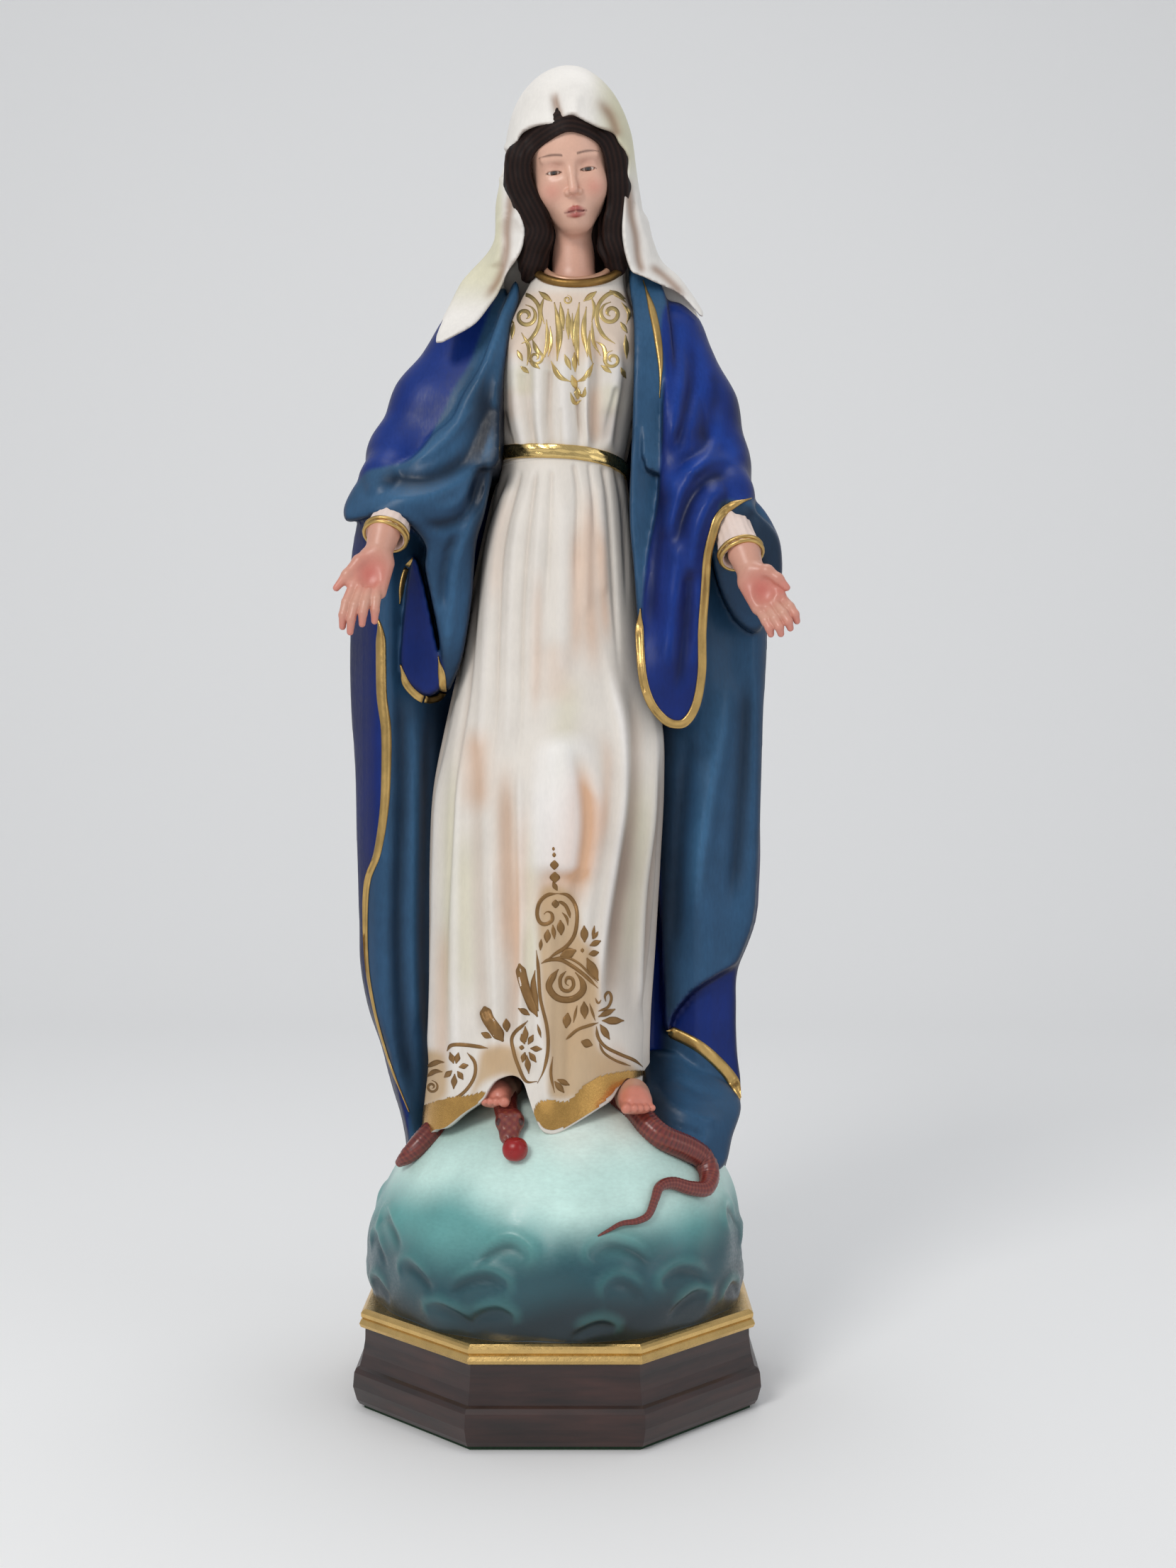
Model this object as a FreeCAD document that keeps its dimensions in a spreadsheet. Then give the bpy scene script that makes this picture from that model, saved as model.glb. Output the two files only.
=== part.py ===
"""Standing Madonna with spread hands on a clouded globe and an octagonal plinth.

The figure is 600 mm tall and is put together from separate castings round a steel armature.
Millimetres, +Z up. The origin is the middle of the felt under the plinth, and the figure faces -Y.
The figure's right hand is on the -X side.
"""

import FreeCAD, Part
import Sketcher
import math
import os

from FreeCAD import Placement, Rotation, Vector

doc = FreeCAD.newDocument("Madonna")
sheet = doc.addObject("Spreadsheet::Sheet", "Sizes")
sub_parts = []
OCTAGON_TURN = 22.5  # degrees, puts two flats of an octagon square to the Y axis


# ---------------------------------------------------------------- driving dimensions

DIMENSIONS = {
    # plinth, halves across flats
    "felt_thick": 2.0,
    "felt_half_flats": 85.0,
    "plinth_cavity_half": 77.0,
    "moulding_bottom": 35.0,
    "moulding_top": 43.5,
    "board_bottom": 12.0,
    "board_thick": 8.0,
    "board_half_flats": 76.5,
    "block_size": 18.0,
    "block_height": 14.0,
    "block_reach": 65.0,
    "screw_radius": 2.0,
    "screw_head_radius": 4.0,
    "screw_length": 18.0,
    # globe
    "globe_radius": 86.5,
    "globe_rise": 78.0,
    "globe_middle": 62.0,
    "globe_wall": 8.0,
    # armature
    "rod_radius": 4.0,
    "rod_x": 4.0,
    "rod_y": -4.0,
    "rod_bottom": 4.2,
    "rod_top": 528.0,
    "nut_width": 13.0,
    "nut_height": 6.0,
    "washer_radius": 12.0,
    "washer_thick": 1.6,
    "wire_radius": 2.5,
    # figure
    "cast_wall": 6.0,
    "mantle_wall": 6.0,
    "lining_face": -16.0,
    "lapel_face": -12.0,
    "veil_wall": 4.0,
    "belt_height": 6.0,
    "belt_stand": 1.6,
    "collar_radius": 1.9,
    # head, measured from its middle
    "head_x": 5.3,
    "head_y": -21.0,
    "head_up": 553.0,
    "head_nod": 18.0,
    "head_lean": -7.0,
    "skull_width": 19.0,
    "skull_depth": 23.0,
    "skull_rise": 25.0,
    "neck_radius": 9.6,
    "eye_radius": 3.2,
    "eye_spread": 8.0,
    "eye_forward": 15.4,
    "hair_thick": 4.0,
    # hands and feet
    "hand_length": 42.0,
    "finger_radius": 2.4,
    "cuff_radius": 8.6,
    "cuff_length": 18.0,
    "band_thick": 1.2,
    "foot_length": 19.0,
    "foot_width": 8.5,
    "foot_rise": 8.0,
    # serpent
    "serpent_radius": 5.0,
    "apple_radius": 5.2,
}

# Stations of each loft, bottom to top: name, height, middle x, middle y, half width, half depth.
STATIONS = {
    "skirt": [
        ("hem", 96, -10, -6, 52, 44),
        ("ankle", 150, -9, -6, 49, 43),
        ("shin", 210, -7, -6, 48, 40),
        ("knee", 280, -3, -6, 48, 38),
        ("hip", 340, -2, -4, 41, 34),
        ("belly", 385, 0, -3, 34, 30),
        ("waist", 420, 2, -3, 28, 25),
    ],
    "bodice": [
        ("waist", 420, 2, -3, 28, 25),
        ("ribs", 445, 4, -4, 31, 30),
        ("chest", 470, 5, -4, 34, 31),
        ("shoulder", 488, 6, -4, 31, 26),
        ("neckline", 503, 7, -6, 17, 16),
    ],
    "mantle": [
        ("hem", 92, 2, 10, 76, 52),
        ("ankle", 140, 2, 9, 82, 55),
        ("shin", 200, 0, 8, 91, 54),
        ("knee", 270, 0, 6, 94, 50),
        ("hip", 340, 0, 5, 95, 46),
        ("elbow", 400, 0, 4, 88, 42),
        ("ribs", 440, 3, 3, 76, 39),
        ("chest", 470, 5, 2, 67, 35),
        ("shoulder", 490, 6, 1, 54, 29),
        ("neck", 506, 6, 0, 30, 22),
    ],
    "veil": [
        ("hem", 466, 6, 6, 63, 36),
        ("shoulder", 490, 6, 4, 57, 33),
        ("nape", 512, 5, 0, 44, 30),
        ("ear", 540, 4, -6, 36, 31),
        ("temple", 566, 3, -13, 31, 30),
        ("brow", 584, 1, -18, 23, 22),
        ("crown", 600, -1, -19, 8, 7),
    ],
}


def cell(alias):
    """Expression for one driving dimension."""
    return f"Sizes.{alias}"


def station_alias(part, name, size):
    return f"{part}_{name}_{size}"


def fill_sheet():
    rows = list(DIMENSIONS.items())
    for part, stations in STATIONS.items():
        for name, *sizes in stations:
            labels = ("level", "middle_x", "middle_y", "half_width", "half_depth")
            rows += [(station_alias(part, name, label), s) for label, s in zip(labels, sizes)]
    for row, (alias, value) in enumerate(rows, start=1):
        sheet.set(f"A{row}", alias)
        sheet.set(f"B{row}", str(value))
        sheet.setAlias(f"B{row}", alias)
    doc.recompute()


# ---------------------------------------------------------------- helpers


def add(kind, name, **bound):
    """A document object whose properties are plain values or expressions on the sheet."""
    thing = doc.addObject(kind, name)
    for key, value in bound.items():
        key = key.replace("__", ".")
        if isinstance(value, str):
            thing.setExpression(key, value)
        else:
            setattr(thing, key, value)
    return thing


def at(thing, x, y, z):
    """Binds the position of a thing, each coordinate an expression or a number."""
    for axis, value in zip("xyz", (x, y, z)):
        thing.setExpression(f"Placement.Base.{axis}", str(value))
    return thing


def turned(thing, rotation, base=(0, 0, 0)):
    thing.Placement = Placement(Vector(*base), rotation)
    return thing


def cut(name, base, tool):
    return add("Part::Cut", name, Base=base, Tool=tool, Refine=False)


def fuse(name, shapes):
    return add("Part::MultiFuse", name, Shapes=shapes, Refine=False)


def cut_by(name, base, *tools):
    """Takes several tools out of a base, one after another."""
    for i, tool in enumerate(tools):
        last = i == len(tools) - 1
        base = cut(name if last else f"{name}_step{i}", base, tool)
    return base


def keep(thing, node):
    """Makes a thing a sub-part: its label is the node's name."""
    thing.Label = node
    sub_parts.append(thing)
    return thing


def octagon(name, level, half_flats):
    """Octagon outline with flats square to X and Y."""
    outline = add(
        "Part::RegularPolygon",
        name,
        Polygon=8,
        Circumradius=f"({half_flats}) / cos({OCTAGON_TURN} deg)",
    )
    turned(outline, Rotation(Vector(0, 0, 1), OCTAGON_TURN))
    outline.setExpression("Placement.Base.z", str(level))
    return outline


def octagon_block(name, bottom, height, half_flats):
    outline = octagon(name + "_outline", bottom, half_flats)
    block = add("Part::Extrusion", name, Base=outline, Dir=Vector(0, 0, 1), Solid=True)
    block.DirMode = "Custom"
    block.setExpression("LengthFwd", str(height))
    return block


def octagon_stack(name, profile):
    """Straight-sided loft through octagons: profile is (height, half across flats)."""
    outlines = [octagon(f"{name}_{i}", z, half) for i, (z, half) in enumerate(profile)]
    return add("Part::Loft", name, Sections=outlines, Solid=True, Ruled=True)


def ellipse_loft(part, name, inset=0, drop=0):
    """Loft through a part's stations, made smaller by inset, its two ends moved out by drop."""
    outlines = []
    stations = STATIONS[part]
    for i, (station, *_) in enumerate(stations):
        ref = {
            k: cell(station_alias(part, station, k))
            for k in ("level", "middle_x", "middle_y", "half_width", "half_depth")
        }
        outline = add(
            "Part::Ellipse",
            f"{name}_{station}",
            MajorRadius=f"{ref['half_width']} - ({inset})",
            MinorRadius=f"{ref['half_depth']} - ({inset})",
        )
        end = {0: -1, len(stations) - 1: 1}.get(i, 0)
        at(outline, ref["middle_x"], ref["middle_y"], f"{ref['level']} + ({end} * ({drop}))")
        outlines.append(outline)
    return add("Part::Loft", name, Sections=outlines, Solid=True)


def box(name, low, high):
    """Box between two corners."""
    size = [b - a for a, b in zip(low, high)]
    return turned(
        add("Part::Box", name, Length=size[0], Width=size[1], Height=size[2]),
        Rotation(),
        low,
    )


def ellipsoid(name, rx, ry, rz):
    """Ellipsoid with half-sizes rx, ry, rz. Radius1 is the vertical one."""
    return add(
        "Part::Ellipsoid",
        name,
        Radius1=str(rz),
        Radius2=str(rx),
        Radius3=str(ry),
        Angle1=-90,
        Angle2=90,
        Angle3=360,
    )


def sphere(name, radius, centre):
    return at(add("Part::Sphere", name, Radius=str(radius)), *centre)


def rounded_path(points, bend):
    """Wire of straight runs joined by tangent arcs of about one radius."""
    pts = [Vector(*p) for p in points]
    edges, start = [], pts[0]
    for before, corner, after in zip(pts, pts[1:], pts[2:]):
        into = (before - corner).normalize()
        out = (after - corner).normalize()
        half_angle = into.getAngle(out) / 2
        shorter = min((before - corner).Length, (after - corner).Length)
        reach = min(bend / math.tan(half_angle), 0.45 * shorter)
        a, b = corner + into * reach, corner + out * reach
        bisector = (into + out).normalize()
        centre = corner + bisector * (reach / math.cos(half_angle))
        middle = centre - bisector * (reach * math.tan(half_angle))
        edges.append(Part.LineSegment(start, a).toShape())
        edges.append(Part.Arc(a, middle, b).toShape())
        start = b
    edges.append(Part.LineSegment(start, pts[-1]).toShape())
    return Part.Wire(edges)


def bar(name, points, radius, bend):
    """Round bar of one radius along a path of runs and arcs."""
    path = rounded_path(points, bend)
    circle = Part.makeCircle(radius, Vector(*points[0]), Vector(*points[1]) - Vector(*points[0]))
    thing = doc.addObject("Part::Feature", name)
    thing.Shape = path.makePipeShell([Part.Wire(circle)], True, False, 2)
    return thing


def value(alias):
    return float(sheet.get(alias))


def sketch_on(body, plane, name):
    """Sketch on one of a body's own origin planes."""
    sketch = body.newObject("Sketcher::SketchObject", name)
    face = next(f for f in body.Origin.OriginFeatures if f.Role == plane)
    sketch.AttachmentSupport = [(face, "")]
    sketch.MapMode = "FlatFace"
    return sketch


def circle_sketch(body, name, radii):
    """Circles about the origin, each radius bound to an expression."""
    sketch = sketch_on(body, "XY_Plane", name)
    for i, radius in enumerate(radii):
        sketch.addGeometry(Part.Circle(Vector(0, 0, 0), Vector(0, 0, 1), i + 1.0), False)
        sketch.addConstraint(Sketcher.Constraint("Coincident", i, 3, -1, 1))
        n = sketch.addConstraint(Sketcher.Constraint("Radius", i, i + 1.0))
        sketch.setExpression(f"Constraints[{n}]", radius)
    return sketch


# ---------------------------------------------------------------- plinth

FOOT_PROFILE = [  # height, half across flats: round toe, step, cove
    (2, 87.0),
    (4, 88.2),
    (10, 89.8),
    (16, 89.3),
    (18, 88.4),
    (18.8, 86.9),
    (24, 85.6),
    (30, 84.7),
    (35, 84.6),
]
MOULDING_PROFILE = [  # height, half across flats: torus below, fillet above
    (35.0, 84.8),
    (35.7, 86.5),
    (37.2, 87.2),
    (38.8, 86.5),
    (39.4, 85.8),
    (40.2, 86.4),
    (41.8, 86.5),
    (42.8, 85.7),
    (43.5, 84.6),
]
BLOCK_SIDES = ((1, 0), (-1, 0), (0, 1), (0, -1))
BOARD_TOP = "(Sizes.board_bottom + Sizes.board_thick)"


def plinth():
    keep(octagon_block("felt", 0, cell("felt_thick"), cell("felt_half_flats")), "felt_pad")
    cavity = cell("plinth_cavity_half")
    foot_hole = octagon_block("foot_hole", 0, cell("moulding_bottom"), cavity)
    keep(cut("foot", octagon_stack("foot_solid", FOOT_PROFILE), foot_hole), "plinth_foot")
    ring_hole = octagon_block("ring_hole", 30, 20, cavity)
    ring = octagon_stack("ring_solid", MOULDING_PROFILE)
    keep(cut("ring", ring, ring_hole), "gilt_moulding")


def base_board():
    """Plywood board inside the plinth, screwed up into four glued blocks."""
    blocks, screws = [], []
    size, reach = cell("block_size"), cell("block_reach")
    for i, (sx, sy) in enumerate(BLOCK_SIDES):
        x, y = f"{sx} * {reach}", f"{sy} * {reach}"
        block = add("Part::Box", f"block_{i}", Length=size, Width=size, Height=cell("block_height"))
        at(block, f"{x} - {size} / 2", f"{y} - {size} / 2", BOARD_TOP)
        head = add(
            "Part::Cone",
            f"screw_head_{i}",
            Radius1=cell("screw_head_radius"),
            Radius2=cell("screw_radius"),
            Height=cell("screw_radius"),
        )
        at(head, x, y, cell("board_bottom"))
        shank = add(
            "Part::Cylinder",
            f"screw_shank_{i}",
            Radius=cell("screw_radius"),
            Height=cell("screw_length"),
        )
        at(shank, x, y, cell("board_bottom"))
        blocks.append(block)
        screws.append(fuse(f"screw_{i}", [head, shank]))
    screw_set = keep(fuse("screws", screws), "board_screws")
    keep(cut_by("block_set", fuse("blocks", blocks), screw_set), "corner_blocks")
    board = octagon_block(
        "board_solid", cell("board_bottom"), cell("board_thick"), cell("board_half_flats")
    )
    rod_hole = at(
        add("Part::Cylinder", "board_hole", Radius=cell("rod_radius"), Height=40),
        cell("rod_x"),
        cell("rod_y"),
        0,
    )
    keep(cut_by("board", board, screw_set, rod_hole), "base_board")


# ---------------------------------------------------------------- armature

ARM_POINTS = {  # shoulder end at the rod, elbow, wrist, peg inside the palm
    "right": [(0.0, 3.0, 474), (-44, 0, 462), (-68, -10, 419), (-74, -46, 387), (-78, -51, 372)],
    "left": [(8.0, 3.0, 474), (50, 0, 462), (69, -10, 414), (77, -46, 379), (83, -52, 366)],
}
WIRE_BEND = 14.0


def hex_nut(name, level):
    """Hexagon nut: outline padded, then bored for the rod."""
    body = doc.addObject("PartDesign::Body", name)
    sketch = sketch_on(body, "XY_Plane", name + "_outline")
    reach = value("nut_width") / 2 / math.cos(math.pi / 6)
    points = [
        Vector(reach * math.cos(math.pi / 3 * i), reach * math.sin(math.pi / 3 * i), 0)
        for i in range(6)
    ]
    for i in range(6):
        sketch.addGeometry(Part.LineSegment(points[i], points[(i + 1) % 6]), False)
    for i in range(6):
        sketch.addConstraint(Sketcher.Constraint("Coincident", i, 2, (i + 1) % 6, 1))
    sketch.addGeometry(Part.Circle(Vector(0, 0, 0), Vector(0, 0, 1), 4.0), False)
    sketch.addConstraint(Sketcher.Constraint("Coincident", 6, 3, -1, 1))
    n = sketch.addConstraint(Sketcher.Constraint("Radius", 6, 4.0))
    sketch.setExpression(f"Constraints[{n}]", cell("rod_radius"))
    pad = body.newObject("PartDesign::Pad", name + "_pad")
    pad.Profile = sketch
    pad.setExpression("Length", cell("nut_height"))
    return at(body, cell("rod_x"), cell("rod_y"), level)


def washer(name, level):
    body = doc.addObject("PartDesign::Body", name)
    sketch = circle_sketch(
        body, name + "_rings", [cell("rod_radius"), cell("washer_radius")]
    )
    pad = body.newObject("PartDesign::Pad", name + "_pad")
    pad.Profile = sketch
    pad.setExpression("Length", cell("washer_thick"))
    return at(body, cell("rod_x"), cell("rod_y"), level)


def armature():
    """Upright rod clamped to the base board, and a bent wire into each arm."""
    body = doc.addObject("PartDesign::Body", "rod")
    sketch = circle_sketch(body, "rod_section", [cell("rod_radius")])
    pad = body.newObject("PartDesign::Pad", "rod_pad")
    pad.Profile = sketch
    pad.setExpression("Length", f"{cell('rod_top')} - {cell('rod_bottom')}")
    at(body, cell("rod_x"), cell("rod_y"), cell("rod_bottom"))
    keep(body, "armature_rod")

    below = f"{cell('board_bottom')} - {cell('washer_thick')}"
    keep(washer("washer_below", below), "lower_washer")
    keep(hex_nut("nut_below", f"{below} - {cell('nut_height')}"), "lower_nut")
    keep(washer("washer_above", BOARD_TOP), "upper_washer")
    keep(hex_nut("nut_above", f"{BOARD_TOP} + {cell('washer_thick')}"), "upper_nut")
    wires = {}
    for side, points in ARM_POINTS.items():
        wires[side] = bar(side + "_wire", points, value("wire_radius"), WIRE_BEND)
        if side == "left":
            wires[side].Shape = wires[side].Shape.cut(wires["right"].Shape)
        keep(wires[side], side + "_arm_wire")
    return body, wires


# ---------------------------------------------------------------- globe and serpent

SERPENT_BODY = [  # from under the left foot, round the right of the globe, to the tail
    (25, -24, 137),
    (36, -36, 130),
    (47, -44, 120),
    (57, -40, 115),
    (66, -38, 106),
    (65, -47, 99.5),
    (50, -57, 104),
    (42, -66, 99),
    (36, -73, 92),
    (28, -76, 91),
    (17.5, -80.5, 87),
]
SERPENT_NECK = [(-23, -28, 138), (-22.5, -38, 134.5), (-21, -49, 128.5)]
SERPENT_COIL = [(-47, -24, 126), (-60, -32, 116), (-68, -22, 110)]
APPLE_AT = (-17.5, -62.0, 119.5)
TAIL_SHARE = 0.2  # of the body's radius, at the tip of the tail


def globe():
    radius, rise, wall = cell("globe_radius"), cell("globe_rise"), cell("globe_wall")
    outer = at(ellipsoid("globe_outer", radius, radius, rise), 0, 0, cell("globe_middle"))
    inner = at(
        ellipsoid("globe_inner", f"{radius} - {wall}", f"{radius} - {wall}", f"{rise} - {wall}"),
        0,
        0,
        cell("globe_middle"),
    )
    below = box("globe_below", (-120, -120, -40), (120, 120, value("moulding_top")))
    hole = at(
        add("Part::Cylinder", "globe_hole", Radius=f"{cell('rod_radius')} + 1", Height=120),
        cell("rod_x"),
        cell("rod_y"),
        60,
    )
    keep(cut_by("globe", outer, inner, below, hole), "globe")
    return outer


def taper_bar(name, points, radius, end_share):
    """Bar along a path whose round section shrinks steadily to its end."""
    path = rounded_path(points, 6.0)
    first, last = path.Edges[0], path.Edges[-1]
    ends = [(first, first.FirstParameter, 1.0), (last, last.LastParameter, end_share)]
    sweep = Part.BRepOffsetAPI.MakePipeShell(path)
    sweep.setFrenetMode(False)
    for edge, where, share in ends:
        section = Part.makeCircle(radius * share, edge.valueAt(where), edge.tangentAt(where))
        sweep.add(Part.Wire(section), False, False)
    sweep.build()
    sweep.makeSolid()
    thing = doc.addObject("Part::Feature", name)
    thing.Shape = sweep.shape()
    return thing


def serpent(globe_solid, foot_solids):
    """Serpent lying on the globe: it is trodden down by both feet."""
    radius = value("serpent_radius")
    body = taper_bar("serpent_body_bar", SERPENT_BODY, radius, TAIL_SHARE)
    neck = bar("serpent_neck_bar", SERPENT_NECK, radius * 0.9, 8.0)
    coil = bar("serpent_coil_bar", SERPENT_COIL, radius, 8.0)
    head = ellipsoid("serpent_head_bulb", 6.2, 5.2, 9.0)
    turned(head, Rotation(Vector(1, 0, 0), -56), (-20.0, -52.0, 127.0))
    apple = sphere("apple_ball", cell("apple_radius"), APPLE_AT)
    apple = cut_by("apple_solid", apple, globe_solid)
    tools = [globe_solid, *foot_solids]
    front = cut_by("serpent_front", fuse("serpent_front_raw", [neck, head]), *tools)
    keep(cut_by("serpent_head_solid", front, apple), "serpent_head")
    keep(apple, "apple")
    keep(cut_by("serpent_body_solid", body, *tools), "serpent_tail")
    keep(cut_by("serpent_coil_solid", coil, *tools), "serpent_coil")
    return front, body, coil


# ---------------------------------------------------------------- gown, feet and belt

FEET = {"right": (-24.0, -31.0, 139.0), "left": (33.0, -33.0, 136.5)}


def feet(globe_solid):
    made = {}
    for side, centre in FEET.items():
        size = (cell("foot_width"), cell("foot_length"), cell("foot_rise"))
        made[side] = at(ellipsoid(side + "_foot_bulb", *size), *centre)
        keep(cut(side + "_foot_solid", made[side], globe_solid), side + "_foot")
    return made


def gown(globe_solid, foot_solids, serpent_solids, wires):
    wall = cell("cast_wall")
    skirt_outer = ellipse_loft("skirt", "skirt_outer")
    skirt_inner = ellipse_loft("skirt", "skirt_inner", inset=wall, drop=1)
    tools = [globe_solid, *foot_solids, *serpent_solids]
    skirt = cut_by("skirt", cut("skirt_shell", skirt_outer, skirt_inner), *tools)
    keep(skirt, "gown_skirt")
    bodice_outer = ellipse_loft("bodice", "bodice_outer")
    bodice_inner = ellipse_loft("bodice", "bodice_inner", inset=wall, drop=1)
    shell = cut("bodice_shell", bodice_outer, bodice_inner)
    keep(cut_by("bodice", shell, wires["right"], wires["left"]), "gown_bodice")
    return skirt_outer, bodice_outer


def belt(skirt_outer, bodice_outer):
    """Gilt band round the waist, a little proud of the gown."""
    rings = []
    for end in (0, 1):
        ring = add(
            "Part::Ellipse",
            f"belt_{end}",
            MajorRadius=f"{cell('skirt_waist_half_width')} + {cell('belt_stand')}",
            MinorRadius=f"{cell('skirt_waist_half_depth')} + {cell('belt_stand')}",
        )
        at(
            ring,
            cell("skirt_waist_middle_x"),
            cell("skirt_waist_middle_y"),
            f"{cell('skirt_waist_level')} + ({end} - 0.5) * {cell('belt_height')}",
        )
        rings.append(ring)
    solid = add("Part::Loft", "belt_solid", Sections=rings, Solid=True, Ruled=True)
    keep(cut_by("belt_ring", solid, skirt_outer, bodice_outer, belt_core()), "belt")


def belt_core():
    """Takes the waist out of the belt where the two castings taper away from it."""
    core = add(
        "Part::Cylinder", "belt_core", Radius=f"{cell('skirt_waist_half_depth')} - 2", Height=40
    )
    return at(core, cell("skirt_waist_middle_x"), cell("skirt_waist_middle_y"), 400)


def collar(bodice_outer):
    """Gilt ring at the neckline."""
    ring = add(
        "Part::Torus",
        "collar_torus",
        Radius1=f"{cell('bodice_neckline_half_width')} - 1",
        Radius2=cell("collar_radius"),
        Angle1=-180,
        Angle2=180,
        Angle3=360,
    )
    tilt = Rotation(Vector(1, 0, 0), 12)
    turned(ring, tilt, (8, -6.5, 503.5))
    keep(cut("collar_ring", ring, bodice_outer), "collar")
    return ring


# ---------------------------------------------------------------- mantle and sleeves

SLEEVES = {  # middle, half width, half depth of each section from shoulder to opening
    "right": [
        ((-40, 0, 478), 15, 16),
        ((-58, -4, 448), 17, 18),
        ((-70, -12, 424), 19, 20),
        ((-76, -26, 408), 19, 19),
        ((-77, -36, 399), 18, 15),
    ],
    "left": [
        ((50, 0, 476), 15, 16),
        ((62, -4, 446), 16, 18),
        ((70, -12, 420), 17, 20),
        ((76, -26, 402), 18, 19),
        ((79, -36, 392), 17, 15),
    ],
}
DROPS = {  # the hanging end of each sleeve: middle, half width, half depth
    "right": [((-52, -26, 400), 18, 8), ((-50, -29, 360), 11, 7), ((-53, -30, 322), 8, 4)],
    "left": [((55, -30, 396), 18, 9), ((51, -34, 350), 15, 8), ((52, -35, 304), 8, 5)],
}


def oval_loft(name, sections):
    """Loft through flat ovals given by middle, half width and half depth."""
    outlines = []
    for i, (middle, half_width, half_depth) in enumerate(sections):
        wide = max(half_width, half_depth)
        narrow = min(half_width, half_depth)
        outline = add("Part::Ellipse", f"{name}_{i}", MajorRadius=wide, MinorRadius=narrow)
        quarter = 90 if half_depth > half_width else 0
        turned(outline, Rotation(Vector(0, 0, 1), quarter), middle)
        outlines.append(outline)
    return add("Part::Loft", name, Sections=outlines, Solid=True)


def front_boxes(name, back):
    """What is taken off the front of the mantle: below the elbows, and between the arms."""
    wall = value("mantle_wall") if back else 0
    low = (-84 - wall, -90, 60), (88 + wall, value("lining_face") + wall, 400 + wall)
    high = (-30 - wall, -90, 399), (44 + wall, value("lapel_face") + wall, 520)
    return box(name + "_low", *low), box(name + "_high", *high)


def mantle(globe_solid, skirt_outer, bodice_outer, wires):
    """Hollow casting that closes round the back of the gown, with a flat lining face."""
    outer = ellipse_loft("mantle", "mantle_outer")
    inner = ellipse_loft("mantle", "mantle_inner", inset=cell("mantle_wall"), drop=-6)
    body = cut_by("mantle_body", outer, *front_boxes("mantle_front", False))
    hollow = cut_by("mantle_hollow", inner, *front_boxes("mantle_hollow_front", True))
    shell = cut("mantle_shell", body, hollow)
    trimmed = cut_by("mantle_trimmed", shell, globe_solid, skirt_outer, bodice_outer)
    arms, sleeves = [], {}
    for side, sections in SLEEVES.items():
        arm = oval_loft(side + "_sleeve_arm", sections)
        drop = oval_loft(side + "_sleeve_drop", DROPS[side])
        arms.append(arm)
        sleeves[side] = fuse(side + "_sleeve_raw", [arm, drop])
    keep(cut_by("mantle_final", trimmed, *arms, wires["right"], wires["left"]), "mantle")
    for side, raw in sleeves.items():
        clear = cut_by(side + "_sleeve_cut", raw, skirt_outer, bodice_outer, wires[side])
        keep(clear, side + "_sleeve")
    return outer, sleeves


# ---------------------------------------------------------------- head, hair and veil


def head_place():
    nod = Rotation(Vector(1, 0, 0), value("head_nod"))
    lean = Rotation(Vector(0, 1, 0), value("head_lean"))
    middle = Vector(value("head_x"), value("head_y"), value("head_up"))
    return Placement(middle, lean.multiply(nod))


def placed(thing, place, local):
    """Puts a thing at a point of the head's own frame, turned with the head."""
    thing.Placement = place.multiply(Placement(Vector(*local), Rotation()))
    return thing


def head(rod, bodice_outer, collar_ring):
    place = head_place()
    skull = placed(
        ellipsoid(
            "skull", cell("skull_width"), cell("skull_depth"), cell("skull_rise")
        ),
        place,
        (0, 3, 4),
    )
    jaw = placed(ellipsoid("jaw", 15, 15, 20), place, (0, -5, -9))
    neck = at(
        add("Part::Cylinder", "neck_bar", Radius=cell("neck_radius"), Height=52),
        cell("bodice_neckline_middle_x"),
        -9,
        490,
    )
    eyes = {}
    for side, sign in (("right", -1), ("left", 1)):
        ball = sphere(side + "_eye_ball", cell("eye_radius"), (0, 0, 0))
        ball.setExpression("Placement.Base.x", None)
        ball.setExpression("Placement.Base.y", None)
        ball.setExpression("Placement.Base.z", None)
        spot = (sign * value("eye_spread"), -value("eye_forward"), 0)
        eyes[side] = placed(ball, place, spot)
        keep(ball, side + "_eye")
    raw = fuse("head_raw", [skull, jaw, neck])
    tools = [rod, eyes["right"], eyes["left"], bodice_outer, collar_ring]
    keep(cut_by("head_cast", raw, *tools), "head")
    return raw, place


def hair(head_solid, place, bodice_outer, mantle_outer, collar_ring):
    """Hair over the skull with a lock down each side of the neck."""
    thick = cell("hair_thick")
    cap = placed(
        ellipsoid(
            "hair_cap",
            f"{cell('skull_width')} + {thick}",
            f"{cell('skull_depth')} + {thick} - 1",
            f"{cell('skull_rise')} + {thick} - 1",
        ),
        place,
        (0, 4, 3),
    )
    face = placed(box("hair_face", (0, 0, 0), (31, 30, 60)), place, (-15.5, -40, -42))
    locks = [
        oval_loft(
            "right_lock", [((-14, -16, 545), 7, 12), ((-13, -14, 520), 8, 9), ((-11, -16, 503), 6, 6)]
        ),
        oval_loft(
            "left_lock", [((27, -14, 545), 7, 12), ((28, -13, 520), 7, 9), ((27, -14, 503), 5, 6)]
        ),
    ]
    raw = fuse("hair_raw", [cut("hair_open", cap, face), *locks])
    tools = [head_solid, bodice_outer, mantle_outer, collar_ring]
    keep(cut_by("hair_cast", raw, *tools), "hair")
    return raw


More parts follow.
